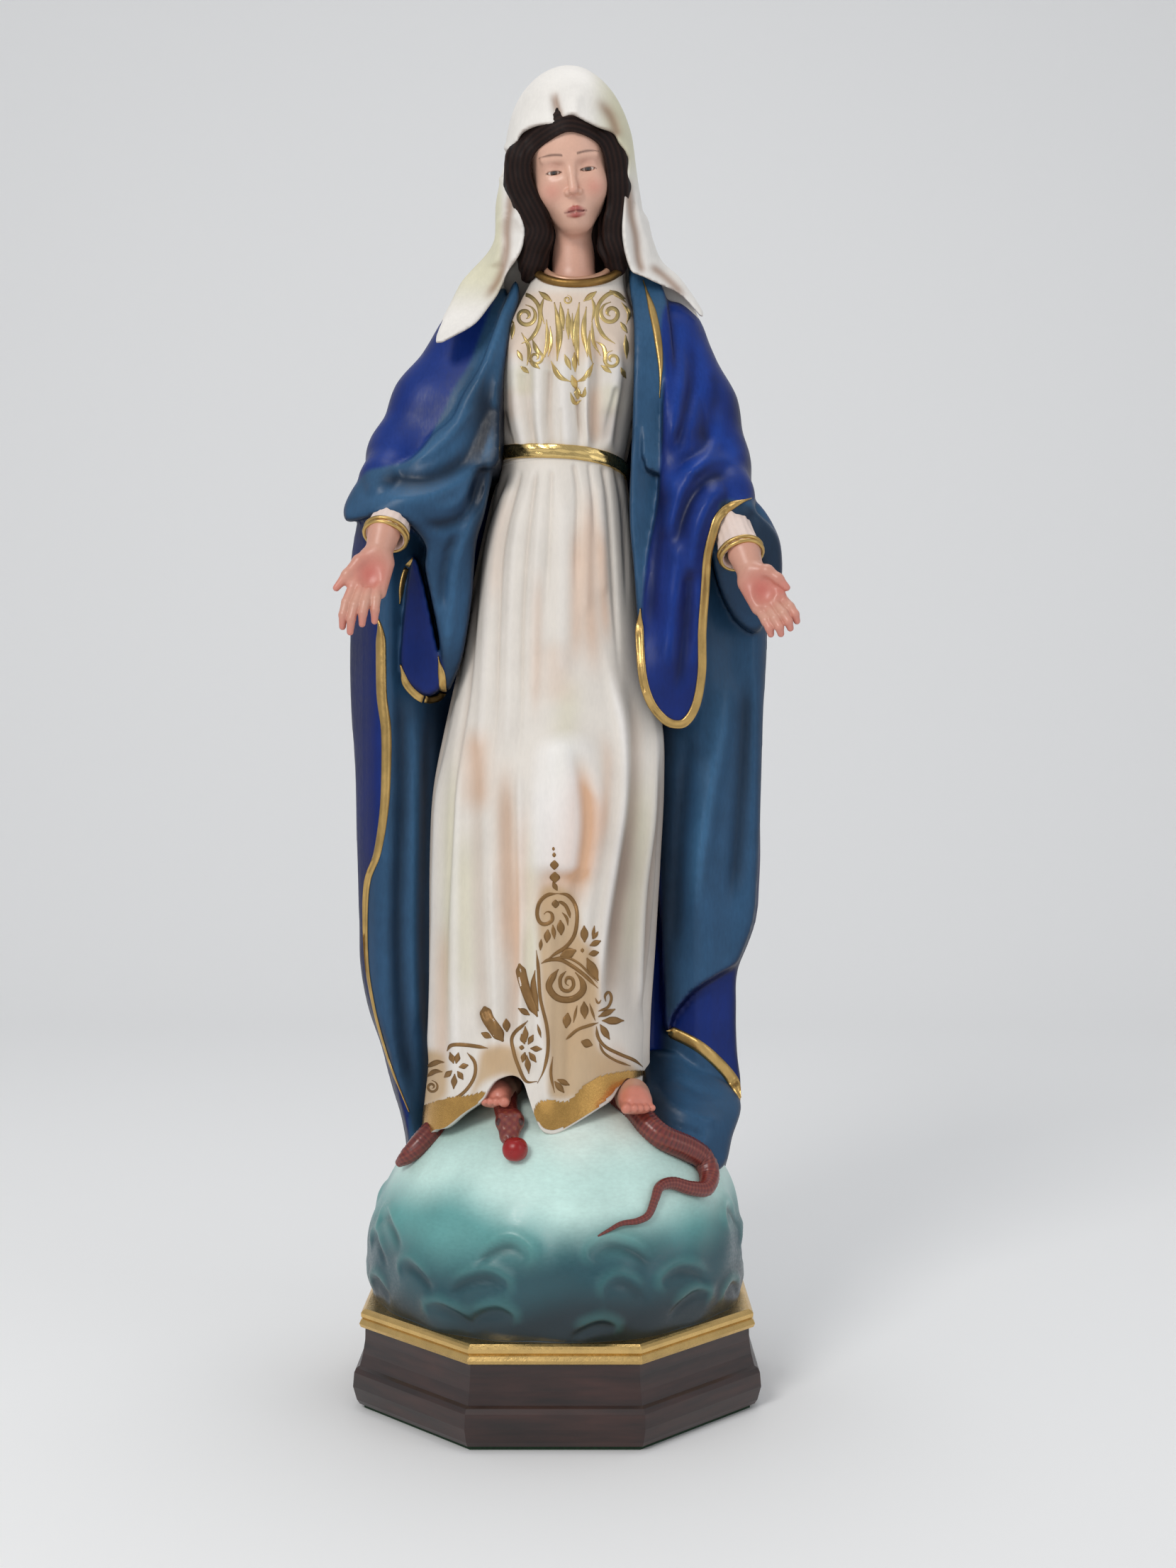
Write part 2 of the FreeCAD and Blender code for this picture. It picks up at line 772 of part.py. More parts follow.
def veil(hair_solid, head_solid, mantle_outer, bodice_outer, sleeves):
    wall = cell("veil_wall")
    outer = ellipse_loft("veil", "veil_outer")
    inner = ellipse_loft("veil", "veil_inner", inset=wall, drop=-3)
    face = box("veil_face", (-24, -90, 440), (34, -15, 569))
    open_front = box("veil_open_front", (-80, -90, 440), (90, -22, 545))
    shell = cut("veil_shell", outer, inner)
    tools = [face, open_front, hair_solid, head_solid, mantle_outer, bodice_outer]
    keep(cut_by("veil_cast", shell, *tools, *sleeves.values()), "veil")


# ---------------------------------------------------------------- hands and cuffs

HANDS = {  # wrist, fingertip, side of the thumb
    "right": ((-75, -50, 379), (-85, -60, 341), -1),
    "left": ((79, -50, 371), (95, -62, 337), 1),
}
FINGER_ROOTS = ((-6.4, -19.5), (-2.2, -21.0), (2.2, -21.0), (6.3, -19.0))
FINGER_SHARES = (0.40, 0.48, 0.50, 0.43)  # of the hand's length, from the little finger


def hand_place(wrist, tip):
    """Frame with its origin at the wrist, -Z to the fingertips and -Y out of the palm."""
    wrist, tip = Vector(*wrist), Vector(*tip)
    down = (tip - wrist).normalize()
    palm = Vector(0, -1, 0)
    across = down.cross(palm).normalize()
    return Placement(wrist, Rotation(across, down.cross(across) * -1, down * -1, "XZY"))


def hand(side, wrist, tip, thumb, wire):
    length = value("hand_length")
    palm = oval_loft(
        side + "_palm",
        [((0, 0, 1), 5.4, 4.4), ((0, 0, -6), 7.2, 4.4), ((0, 0, -14), 8.8, 3.8), ((0, 0, -23), 8.6, 2.6)],
    )
    pieces = [palm]
    for i, ((x, z), share) in enumerate(zip(FINGER_ROOTS, FINGER_SHARES)):
        finger = add(
            "Part::Cone",
            f"{side}_finger_{i}",
            Radius1=cell("finger_radius"),
            Radius2=f"{cell('finger_radius')} * 0.7",
            Height=length * share,
        )
        turned(finger, Rotation(Vector(1, 0, 0), 172), (-thumb * x, 0, z))
        pieces.append(finger)
    thumb_bar = add(
        "Part::Cone",
        side + "_thumb",
        Radius1=f"{cell('finger_radius')} * 1.4",
        Radius2=f"{cell('finger_radius')} * 0.8",
        Height=length * 0.5,
    )
    spread = Rotation(Vector(0, 1, 0), -thumb * 35).multiply(Rotation(Vector(1, 0, 0), 160))
    turned(thumb_bar, spread, (thumb * 4, -1, -4))
    pieces.append(thumb_bar)
    whole = fuse(side + "_hand_raw", pieces)
    whole.Placement = hand_place(wrist, tip)
    doc.recompute()
    return cut(side + "_hand_solid", whole, wire), whole


def cuff(side, wrist, elbow, wire, hand_solid):
    """White sleeve end round the wrist, with a gilt band at its mouth."""
    wrist, elbow = Vector(*wrist), Vector(*elbow)
    back = (elbow - wrist).normalize()
    turn = Rotation(Vector(0, 0, 1), back)
    tube = add(
        "Part::Cone",
        side + "_cuff_tube",
        Radius1=cell("cuff_radius"),
        Radius2=f"{cell('cuff_radius')} + 1",
        Height=cell("cuff_length"),
    )
    turned(tube, turn, tuple(wrist + back * 1.5))
    ring = add(
        "Part::Cylinder",
        side + "_band_ring",
        Radius=f"{cell('cuff_radius')} + {cell('band_thick')}",
        Height=4.0,
    )
    turned(ring, turn, tuple(wrist + back * 2.0))
    keep(cut_by(side + "_band_solid", ring, tube), side + "_cuff_band")
    return cut_by(side + "_cuff_solid", tube, wire, hand_solid)


def arms(wires, sleeves):
    for side, (wrist, tip, thumb) in HANDS.items():
        solid, whole = hand(side, wrist, tip, thumb, wires[side])
        elbow = ARM_POINTS[side][2]
        tube = cuff(side, wrist, elbow, wires[side], whole)
        keep(solid, side + "_hand")
        keep(cut_by(side + "_cuff_clear", tube, sleeves[side]), side + "_cuff")


# ---------------------------------------------------------------- build


def export():
    doc.recompute()
    for thing in doc.Objects:
        bad = [s for s in thing.State if s in ("Invalid", "Error")]
        if bad:
            raise SystemExit(f"{thing.Name} is {bad}")
    os.makedirs("parts", exist_ok=True)
    for thing in sub_parts:
        shape = thing.Shape
        if shape.isNull() or not shape.isValid() or not shape.Solids:
            raise SystemExit(f"{thing.Label} has no valid solid")
        shape.exportStep(f"parts/{thing.Label}.step")
        print(f"{thing.Label:18s} {len(shape.Solids)} solid(s) {shape.Volume / 1000:8.1f} cm3")


def main():
    fill_sheet()
    plinth()
    base_board()
    rod, wires = armature()
    globe_solid = globe()
    foot_solids = feet(globe_solid)
    serpent_solids = serpent(globe_solid, list(foot_solids.values()))
    skirt_outer, bodice_outer = gown(
        globe_solid, list(foot_solids.values()), serpent_solids, wires
    )
    belt(skirt_outer, bodice_outer)
    collar_ring = collar(bodice_outer)
    mantle_outer, sleeves = mantle(globe_solid, skirt_outer, bodice_outer, wires)
    head_solid, place = head(rod, bodice_outer, collar_ring)
    hair_solid = hair(head_solid, place, bodice_outer, mantle_outer, collar_ring)
    veil(hair_solid, head_solid, mantle_outer, bodice_outer, sleeves)
    arms(wires, sleeves)
    export()


main()
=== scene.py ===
"""Painted plaster Madonna on a clouded globe: the looks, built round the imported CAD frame.

Lengths are in millimetres until a mesh is made, and metres after that. The figure faces -Y.
Outlines and brush strokes are laid out as a painter sees them, on an upright chart through the
figure's axis (x0 across, z0 up), seen from EYE. A point off the chart's plane is carried to it
along the line of sight.
"""

import math

import bpy
import numpy as np
import openvdb
from mathutils import Matrix, Vector
from mathutils.bvhtree import BVHTree


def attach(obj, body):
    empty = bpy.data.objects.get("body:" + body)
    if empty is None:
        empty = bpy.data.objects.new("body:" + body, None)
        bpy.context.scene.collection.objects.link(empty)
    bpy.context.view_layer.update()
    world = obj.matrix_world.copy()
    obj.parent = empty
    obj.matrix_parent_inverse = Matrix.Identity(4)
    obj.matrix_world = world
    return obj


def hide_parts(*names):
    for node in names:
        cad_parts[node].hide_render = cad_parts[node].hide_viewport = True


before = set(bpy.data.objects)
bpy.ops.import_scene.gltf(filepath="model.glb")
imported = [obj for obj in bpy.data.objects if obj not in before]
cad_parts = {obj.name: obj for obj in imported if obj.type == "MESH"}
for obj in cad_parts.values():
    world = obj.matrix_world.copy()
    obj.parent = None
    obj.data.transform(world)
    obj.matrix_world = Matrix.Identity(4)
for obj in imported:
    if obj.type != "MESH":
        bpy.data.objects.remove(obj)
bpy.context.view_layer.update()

MM = 0.001
EYE = np.array([13.6, -817.0, 275.0])
FOCAL_PIXELS = 2500.0
FRAME_HEIGHT = 2212.0
SENSOR = 36.0
RNG = np.random.default_rng(7)


# ---------------------------------------------------------------- camera, light and floor


def camera():
    data = bpy.data.cameras.new("camera")
    data.sensor_width = SENSOR
    data.lens = SENSOR * FOCAL_PIXELS / FRAME_HEIGHT
    data.clip_end = 20.0
    thing = bpy.data.objects.new("camera", data)
    thing.location = Vector(EYE * MM)
    thing.rotation_euler = (math.pi / 2, 0.0, 0.0)
    bpy.context.scene.collection.objects.link(thing)
    bpy.context.scene.camera = thing


def area_light(name, place, aim, size, power, colour=(1.0, 1.0, 1.0)):
    data = bpy.data.lights.new(name, "AREA")
    data.shape = "DISK"
    data.size = size
    data.energy = power
    data.color = colour
    thing = bpy.data.objects.new(name, data)
    thing.location = place
    thing.rotation_euler = (Vector(aim) - Vector(place)).to_track_quat("-Z", "Y").to_euler()
    bpy.context.scene.collection.objects.link(thing)


def studio():
    area_light("key", (-0.8, -1.5, 1.35), (0, 0, 0.33), 0.7, 15.0, (1.0, 0.985, 0.96))
    area_light("fill", (1.6, -1.1, 0.8), (0, 0, 0.3), 1.2, 3.6, (0.93, 0.96, 1.0))
    area_light("top", (0.1, 0.2, 1.9), (0, 0, 0.3), 0.9, 5.0)
    world = bpy.data.worlds.new("studio")
    world.use_nodes = True
    back = world.node_tree.nodes["Background"]
    back.inputs["Color"].default_value = (0.95, 0.97, 1.0, 1.0)
    back.inputs["Strength"].default_value = 0.5
    bpy.context.scene.world = world
    bpy.context.scene.view_settings.view_transform = "Standard"


def floor():
    """Pale sweep: flat under the figure, curving up behind it."""
    side, front, back, bend = 3.0, -2.2, 1.7, 0.5
    profile = [(front, 0.0), (back - bend, 0.0)]
    for i in range(1, 13):
        a = i / 12 * math.pi / 2
        profile.append((back - bend + bend * math.sin(a), bend - bend * math.cos(a)))
    profile.append((back, 2.4))
    verts = [(x, y, z) for y, z in profile for x in (-side, side)]
    faces = [(2 * i, 2 * i + 1, 2 * i + 3, 2 * i + 2) for i in range(len(profile) - 1)]
    mesh = bpy.data.meshes.new("floor")
    mesh.from_pydata(verts, [], faces)
    mesh.shade_smooth()
    thing = bpy.data.objects.new("floor", mesh)
    bpy.context.scene.collection.objects.link(thing)
    made = bpy.data.materials.new("floor")
    made.use_nodes = True
    shader = made.node_tree.nodes["Principled BSDF"]
    shader.inputs["Base Color"].default_value = (0.93, 0.93, 0.93, 1)
    shader.inputs["Roughness"].default_value = 0.85
    mesh.materials.append(made)


# ---------------------------------------------------------------- colours and materials


def srgb(red, green, blue):
    """Linear colour from 0-255 screen values."""
    values = np.array([red, green, blue]) / 255.0
    return np.where(values <= 0.04045, values / 12.92, ((values + 0.055) / 1.055) ** 2.4)


OLIVE = srgb(205, 200, 160)
IVORY = srgb(224, 217, 208)
PEACH = srgb(214, 172, 140)
SHADOW = srgb(150, 135, 125)
NAVY = srgb(8, 24, 88)
# The darker and lighter navy and steel below are these two paints in painted shade and painted highlight.
NAVY_SHADE = srgb(3, 8, 36)
NAVY_HIGHLIGHT = srgb(22, 74, 170)
STEEL = srgb(32, 62, 92)
STEEL_SHADE = srgb(9, 17, 30)
STEEL_HIGHLIGHT = srgb(66, 112, 150)
SKIN = srgb(206, 152, 132)
SKIN_PINK = srgb(205, 120, 108)
LIP = srgb(168, 72, 68)
BROW = srgb(70, 42, 32)
MINT = srgb(200, 232, 224)
TEAL = srgb(96, 158, 156)
DEEP = srgb(16, 66, 78)
SCALE = srgb(118, 42, 38)
SCALE_DARK = srgb(52, 22, 20)


class Nodes:
    """Short way to write a node tree."""

    def __init__(self, name):
        self.material = bpy.data.materials.new(name)
        self.material.use_nodes = True
        self.tree = self.material.node_tree
        self.shader = self.tree.nodes["Principled BSDF"]

    def node(self, kind, inputs=(), **settings):
        made = self.tree.nodes.new(kind)
        for key, value in settings.items():
            setattr(made, key, value)
        for key, value in dict(inputs).items():
            self.set(made.inputs[key], value)
        return made

    def set(self, socket, value):
        if isinstance(value, bpy.types.NodeSocket):
            self.tree.links.new(value, socket)
        else:
            socket.default_value = value

    def noise(self, scale, detail=4.0, stretch=(1, 1, 1)):
        """Noise in the object's own metres, 0 to 1."""
        where = self.node("ShaderNodeTexCoord").outputs["Object"]
        mapped = self.node("ShaderNodeMapping", {"Vector": where, "Scale": stretch})
        made = self.node(
            "ShaderNodeTexNoise",
            {"Vector": mapped.outputs["Vector"], "Scale": scale, "Detail": detail},
        )
        return made.outputs["Fac"]

    def ramp(self, value, low, high):
        """Carries the middle part of a value, 0.3 to 0.7, to low..high."""
        made = self.node(
            "ShaderNodeMapRange",
            {"Value": value, "From Min": 0.3, "From Max": 0.7, "To Min": low, "To Max": high},
        )
        return made.outputs["Result"]

    def tint(self, colour, strength):
        """Brightens or darkens a colour by a factor round 1."""
        made = self.node(
            "ShaderNodeHueSaturation", {"Color": colour, "Value": strength, "Fac": 1.0}
        )
        return made.outputs["Color"]

    def bump(self, *layers):
        """Stacks bumps: each layer is (height socket, distance in mm, strength)."""
        normal = None
        for height, distance, strength in layers:
            inputs = {"Height": height, "Distance": distance * MM, "Strength": strength}
            if normal is not None:
                inputs["Normal"] = normal
            normal = self.node("ShaderNodeBump", inputs).outputs["Normal"]
        self.set(self.shader.inputs["Normal"], normal)

    def constants(self, **values):
        for key, value in values.items():
            self.shader.inputs[key.replace("_", " ")].default_value = value


def painted(name, rough=(0.35, 0.55), coat=0.15, brush=(1, 1, 0.35), grain=0.12, mottle=0.07, shine=0.5):
    """Brushed paint over plaster. Its colour is the mesh's own 'paint' attribute."""
    n = Nodes(name)
    colour = n.node("ShaderNodeAttribute", attribute_name="paint").outputs["Color"]
    streaks = n.noise(900.0, 3.0, brush)
    clouds = n.noise(55.0, 3.0)
    value = n.ramp(clouds, 1 - mottle, 1 + mottle)
    streak_value = n.ramp(streaks, 1 - mottle * 0.6, 1 + mottle * 0.6)
    both = n.node("ShaderNodeMath", {0: value, 1: streak_value}, operation="MULTIPLY")
    n.set(n.shader.inputs["Base Color"], n.tint(colour, both.outputs[0]))
    n.set(n.shader.inputs["Roughness"], n.ramp(streaks, *rough))
    n.bump((n.noise(2600.0, 2.0), 0.12, grain), (streaks, 0.25, grain))
    n.constants(Coat_Weight=coat, Coat_Roughness=0.3, Specular_IOR_Level=shine)
    return n.material


def gilt(name, base, rough=(0.24, 0.42), wear=0.25, metallic=1.0):
    """Gilding: bright metal paint with brush streaks, duller patches and thin spots."""
    n = Nodes(name)
    streaks = n.noise(700.0, 4.0)
    patches = n.noise(120.0, 3.0)
    value = n.ramp(patches, 1 - wear, 1 + wear * 0.5)
    n.set(n.shader.inputs["Base Color"], n.tint((*base, 1.0), value))
    n.set(n.shader.inputs["Roughness"], n.ramp(streaks, *rough))
    n.bump((n.noise(1800.0, 3.0), 0.15, 0.25), (streaks, 0.3, 0.2))
    n.constants(Metallic=metallic)
    return n.material


def lacquered_wood():
    """Dark brown lacquer with long grain under it and a redder worn tone."""
    n = Nodes("plinth_lacquer")
    grain = n.noise(260.0, 5.0, (0.12, 0.12, 1.0))
    patches = n.noise(30.0, 3.0)
    mixed = n.node(
        "ShaderNodeMix",
        {
            0: n.ramp(grain, 0.0, 1.0),
            6: (*srgb(26, 13, 12), 1),
            7: (*srgb(58, 32, 27), 1),
        },
        data_type="RGBA",
    )
    colour = n.tint(mixed.outputs[2], n.ramp(patches, 0.75, 1.2))
    n.set(n.shader.inputs["Base Color"], colour)
    n.set(n.shader.inputs["Roughness"], n.ramp(patches, 0.3, 0.48))
    n.bump((grain, 0.2, 0.25), (n.noise(1500.0), 0.1, 0.15))
    n.constants(Coat_Weight=0.3, Coat_Roughness=0.25)
    return n.material


def plain(name, colour, rough, metallic=0.0, scale=300.0, spread=0.15, bump=0.2):
    """Hidden or simple pieces: a colour with some mottle, grain and bump."""
    n = Nodes(name)
    grain = n.noise(scale, 4.0)
    n.set(
        n.shader.inputs["Base Color"],
        n.tint((*colour, 1.0), n.ramp(grain, 1 - spread, 1 + spread)),
    )
    n.set(n.shader.inputs["Roughness"], n.ramp(grain, rough - 0.08, rough + 0.08))
    n.bump((n.noise(scale * 4, 2.0), 0.2, bump))
    n.constants(Metallic=metallic)
    return n.material


GOLD = srgb(200, 166, 104)


# ---------------------------------------------------------------- curves and charts


def smooth_step(value):
    value = np.clip(value, 0.0, 1.0)
    return value * value * (3 - 2 * value)


def curve(points, step=2.0, closed=False):
    """Catmull-Rom curve through points, as points about a step apart. Any dimension."""
    pts = np.asarray(points, float)
    if closed:
        pts = np.vstack([pts[-1], pts, pts[0], pts[1]])
    else:
        pts = np.vstack([2 * pts[0] - pts[1], pts, 2 * pts[-1] - pts[-2]])
    rows = []
    for p0, p1, p2, p3 in zip(pts, pts[1:], pts[2:], pts[3:]):
        count = max(2, int(np.linalg.norm((p2 - p1)[:2]) / step) + 1)
        t = np.linspace(0, 1, count, endpoint=False)[:, None]
        rows.append(
            0.5
            * (
                2 * p1
                + (p2 - p0) * t
                + (2 * p0 - 5 * p1 + 4 * p2 - p3) * t**2
                + (3 * p1 - p0 - 3 * p2 + p3) * t**3
            )
        )
    if not closed:
        rows.append(pts[-2][None])
    return np.vstack(rows)


def profile(table, at):
    """Smooth value at some heights, from a short table of (height, value...)."""
    table = np.asarray(sorted(table), float)
    at = np.asarray(at, float)
    height = table[:, 0]
    at = np.clip(at, height[0], height[-1])
    i = np.clip(np.searchsorted(height, at) - 1, 0, len(height) - 2)
    span = height[i + 1] - height[i]
    t = (at - height[i]) / span
    out = []
    for column in table[:, 1:].T:
        slope = np.gradient(column, height)
        h00, h10 = 2 * t**3 - 3 * t**2 + 1, t**3 - 2 * t**2 + t
        h01, h11 = -2 * t**3 + 3 * t**2, t**3 - t**2
        out.append(
            h00 * column[i]
            + h10 * span * slope[i]
            + h01 * column[i + 1]
            + h11 * span * slope[i + 1]
        )
    return out[0] if len(out) == 1 else out


class Chart:
    """Upright chart of values seen from EYE: x0 across and z0 up, on the plane y = 0."""

    LOW = np.array([-118.0, 74.0])
    HIGH = np.array([122.0, 614.0])
    STEP = 0.75

    def __init__(self):
        size = ((self.HIGH - self.LOW) / self.STEP).astype(int) + 1
        self.xs = self.LOW[0] + self.STEP * np.arange(size[0])
        self.zs = self.LOW[1] + self.STEP * np.arange(size[1])

    def blank(self, value=0.0):
        return np.full((len(self.xs), len(self.zs)), value)

    def window(self, points, margin):
        """Index ranges of the cells within a margin of some points."""
        low = (points.min(0) - margin - self.LOW) / self.STEP
        high = (points.max(0) + margin - self.LOW) / self.STEP
        i0, j0 = np.maximum(low.astype(int), 0)
        i1 = min(int(high[0]) + 2, len(self.xs))
        j1 = min(int(high[1]) + 2, len(self.zs))
        x, z = np.meshgrid(self.xs[i0:i1], self.zs[j0:j1], indexing="ij")
        return slice(i0, i1), slice(j0, j1), x, z

    def region(self, points, sharp=False, far=60.0):
        """Signed distance to a closed outline, negative inside it."""
        line = np.asarray(points, float) if sharp else curve(points, 3.0, closed=True)
        si, sj, x, z = self.window(line, 14.0)
        best = np.full(x.shape, far)
        inside = np.zeros(x.shape, bool)
        for (ax, az), (bx, bz) in zip(line, np.roll(line, -1, axis=0)):
            dx, dz = bx - ax, bz - az
            t = np.clip(((x - ax) * dx + (z - az) * dz) / (dx * dx + dz * dz + 1e-9), 0, 1)
            best = np.minimum(best, np.hypot(x - ax - t * dx, z - az - t * dz))
            crosses = (az > z) != (bz > z)
            with np.errstate(divide="ignore", invalid="ignore"):
                inside ^= crosses & (x < ax + (z - az) / (bz - az + 1e-12) * dx)
        out = self.blank(far)
        out[si, sj] = np.where(inside, -best, best)
        return out

    def along(self, points, reach):
        """Window, distance, side and share of the way along for the cells near a line."""
        line = curve(points, 3.0)
        si, sj, x, z = self.window(line, reach)
        best = np.full(x.shape, 1e3)
        side = np.zeros(x.shape)
        share = np.zeros(x.shape)
        lengths = np.hypot(*np.diff(line, axis=0).T)
        starts = np.concatenate([[0], np.cumsum(lengths)])
        for k, ((ax, az), (bx, bz)) in enumerate(zip(line, line[1:])):
            dx, dz = bx - ax, bz - az
            t = np.clip(((x - ax) * dx + (z - az) * dz) / (dx * dx + dz * dz + 1e-9), 0, 1)
            gap = np.hypot(x - ax - t * dx, z - az - t * dz)
            near = gap < best
            best = np.where(near, gap, best)
            side = np.where(near, np.sign((x - ax) * dz - (z - az) * dx), side)
            share = np.where(near, (starts[k] + t * lengths[k]) / starts[-1], share)
        return si, sj, best, side, share

    def stroke(self, field, points, width, amount, fade=(0.2, 0.2), lean=0.0):
        """Adds a soft ridge (or, below zero, a valley) along a line.

        fade is the share of each end over which it dies away, and lean above zero makes the
        side to the right of its direction the steeper one.
        """
        si, sj, gap, side, share = self.along(points, 3.2 * width)
        wide = width * (1 - lean * side)
        ends = smooth_step(share / (fade[0] + 1e-6)) * smooth_step((1 - share) / (fade[1] + 1e-6))
        field[si, sj] += amount * ends * np.exp(-((gap / wide) ** 2))

    def surface(self, controls):
        """Thin-plate surface through scattered (x0, z0, value) controls."""
        c = np.asarray(controls, float)
        xz, value = c[:, :2], c[:, 2]

        def kernel(r2):
            return 0.5 * r2 * np.log(r2 + 1e-9)

        gaps = ((xz[:, None] - xz[None]) ** 2).sum(-1)
        flat = np.column_stack([np.ones(len(c)), xz])
        top = np.hstack([kernel(gaps), flat])
        low = np.hstack([flat.T, np.zeros((3, 3))])
        weights = np.linalg.solve(np.vstack([top, low]), np.concatenate([value, np.zeros(3)]))
        si, sj, x, z = self.window(xz, 16.0)
        total = weights[-3] + weights[-2] * x + weights[-1] * z
        for (cx, cz), w in zip(xz, weights):
            total = total + w * kernel((x - cx) ** 2 + (z - cz) ** 2)
        out = self.blank(float(value.mean()))
        out[si, sj] = np.clip(total, value.min() - 4, value.max() + 4)
        return out

    def sample(self, field, x0, z0):
        """Bilinear value of a field at any chart points."""
        u = np.clip((x0 - self.LOW[0]) / self.STEP, 0, len(self.xs) - 1.001)
        v = np.clip((z0 - self.LOW[1]) / self.STEP, 0, len(self.zs) - 1.001)
        i, j = u.astype(int), v.astype(int)
        s, t = u - i, v - j
        return (
            field[i, j] * (1 - s) * (1 - t)
            + field[i + 1, j] * s * (1 - t)
            + field[i, j + 1] * (1 - s) * t
            + field[i + 1, j + 1] * s * t
        )

    def slice(self, field, y, xs, zs):
        """A field carried along the lines of sight to the upright plane at some depth."""
        scale = EYE[1] / (EYE[1] - y)
        u = (EYE[0] + (xs - EYE[0]) * scale - self.LOW[0]) / self.STEP
        v = (EYE[2] + (zs - EYE[2]) * scale - self.LOW[1]) / self.STEP
        u = np.clip(u, 0, len(self.xs) - 1.001)
        v = np.clip(v, 0, len(self.zs) - 1.001)
        i, j = u.astype(int), v.astype(int)
        s, t = (u - i)[:, None], (v - j)[None]
        rows = field[i] * (1 - s) + field[i + 1] * s
        return rows[:, j] * (1 - t) + rows[:, j + 1] * t


chart = Chart()


def sight(points):
    """Chart coordinates of points, along the lines of sight."""
    scale = EYE[1] / (EYE[1] - points[:, 1])
    x0 = EYE[0] + (points[:, 0] - EYE[0]) * scale
    z0 = EYE[2] + (points[:, 2] - EYE[2]) * scale
    return x0, z0


# ---------------------------------------------------------------- solids from distance fields


def smin(a, b, k):
    """Smooth union of two distances, blending over about k."""
    h = np.clip(0.5 + 0.5 * (b - a) / k, 0, 1)
    return b + (a - b) * h - k * h * (1 - h)


def smax(a, b, k):
    return -smin(-a, -b, k)


def ball(x, y, z, centre, radii):
    """Distance to an ellipsoid, close to true near its surface."""
    u, v, w = (x - centre[0]), (y - centre[1]), (z - centre[2])
    a, b, c = radii
    k0 = np.sqrt((u / a) ** 2 + (v / b) ** 2 + (w / c) ** 2)
    k1 = np.sqrt((u / a**2) ** 2 + (v / b**2) ** 2 + (w / c**2) ** 2) + 1e-9
    return k0 * (k0 - 1.0) / k1


def limb(x, y, z, a, b, ra, rb):
    """Distance to a round bar from a to b whose radius goes from ra to rb."""
    ax, ay, az = a
    dx, dy, dz = b[0] - ax, b[1] - ay, b[2] - az
    t = ((x - ax) * dx + (y - ay) * dy + (z - az) * dz) / (dx * dx + dy * dy + dz * dz)
    t = np.clip(t, 0, 1)
    gap = np.sqrt((x - ax - t * dx) ** 2 + (y - ay - t * dy) ** 2 + (z - az - t * dz) ** 2)
    return gap - (ra + (rb - ra) * t)


def path_limb(x, y, z, points, radii, k):
    total = None
    for a, b, ra, rb in zip(points, points[1:], radii, radii[1:]):
        piece = limb(x, y, z, a, b, ra, rb)
        total = piece if total is None else smin(total, piece, k)
    return total


def mesh_field(values, low, step):
    """Quads of the zero surface of a box of distances."""
    grid = openvdb.FloatGrid(10.0)
    edge = values.copy()
    edge[[0, -1]] = np.maximum(edge[[0, -1]], 0.5)
    edge[:, [0, -1]] = np.maximum(edge[:, [0, -1]], 0.5)
    edge[:, :, [0, -1]] = np.maximum(edge[:, :, [0, -1]], 0.5)
    grid.copyFromArray(edge.astype(np.float32))
    points, quads = grid.convertToQuads(0.0)
    return points.astype(float) * step + np.asarray(low, float), quads.astype(int)


def box_axes(low, high, step):
    return [np.arange(a, b + step, step, dtype=np.float32) for a, b in zip(low, high)]


def carve(low, high, step, distance):
    """Meshes a distance function of x, y and z inside a box."""
    xs, ys, zs = box_axes(low, high, step)
    x, y, z = xs[:, None, None], ys[None, :, None], zs[None, None, :]
    return mesh_field(np.broadcast_to(distance(x, y, z), (len(xs), len(ys), len(zs))), low, step)


def carve_slices(low, high, step, distance):
    """The same for a function of x, one depth y and z: it is called for each upright slice."""
    xs, ys, zs = box_axes(low, high, step)
    values = np.empty((len(xs), len(ys), len(zs)), np.float32)
    x, z = xs[:, None], zs[None, :]
    for i, y in enumerate(ys):
        values[:, i] = distance(x, float(y), z, xs, zs)
    return mesh_field(values, low, step)


def relax(points, quads, rounds=1, amount=0.5):
    """Moves each point towards the middle of its neighbours."""
    edges = np.vstack([quads[:, [0, 1]], quads[:, [1, 2]], quads[:, [2, 3]], quads[:, [3, 0]]])
    count = np.bincount(edges.ravel(), minlength=len(points)).astype(float)[:, None]
    for _ in range(rounds):
        total = np.zeros_like(points)
        for axis in range(3):
            total[:, axis] = np.bincount(
                edges[:, 0], points[edges[:, 1], axis], len(points)
            ) + np.bincount(edges[:, 1], points[edges[:, 0], axis], len(points))
        points = points + amount * (total / np.maximum(count, 1) - points)
    return points


def point_normals(points, quads):
    across = points[quads[:, 2]] - points[quads[:, 0]]
    other = points[quads[:, 3]] - points[quads[:, 1]]
    flat = np.cross(across, other)
    total = np.zeros_like(points)
    for corner in range(4):
        for axis in range(3):
            total[:, axis] += np.bincount(quads[:, corner], flat[:, axis], len(points))
    return total / (np.linalg.norm(total, axis=1, keepdims=True) + 1e-12)


def outward(points, quads):
    """Quads turned so that their normals point out of the closed surface."""
    p0, p1, p2, p3 = (points[quads[:, k]] for k in range(4))
    volume = (np.cross(p1, p2) * p0).sum() + (np.cross(p2, p3) * p0).sum()
    return quads if volume > 0 else quads[:, ::-1]


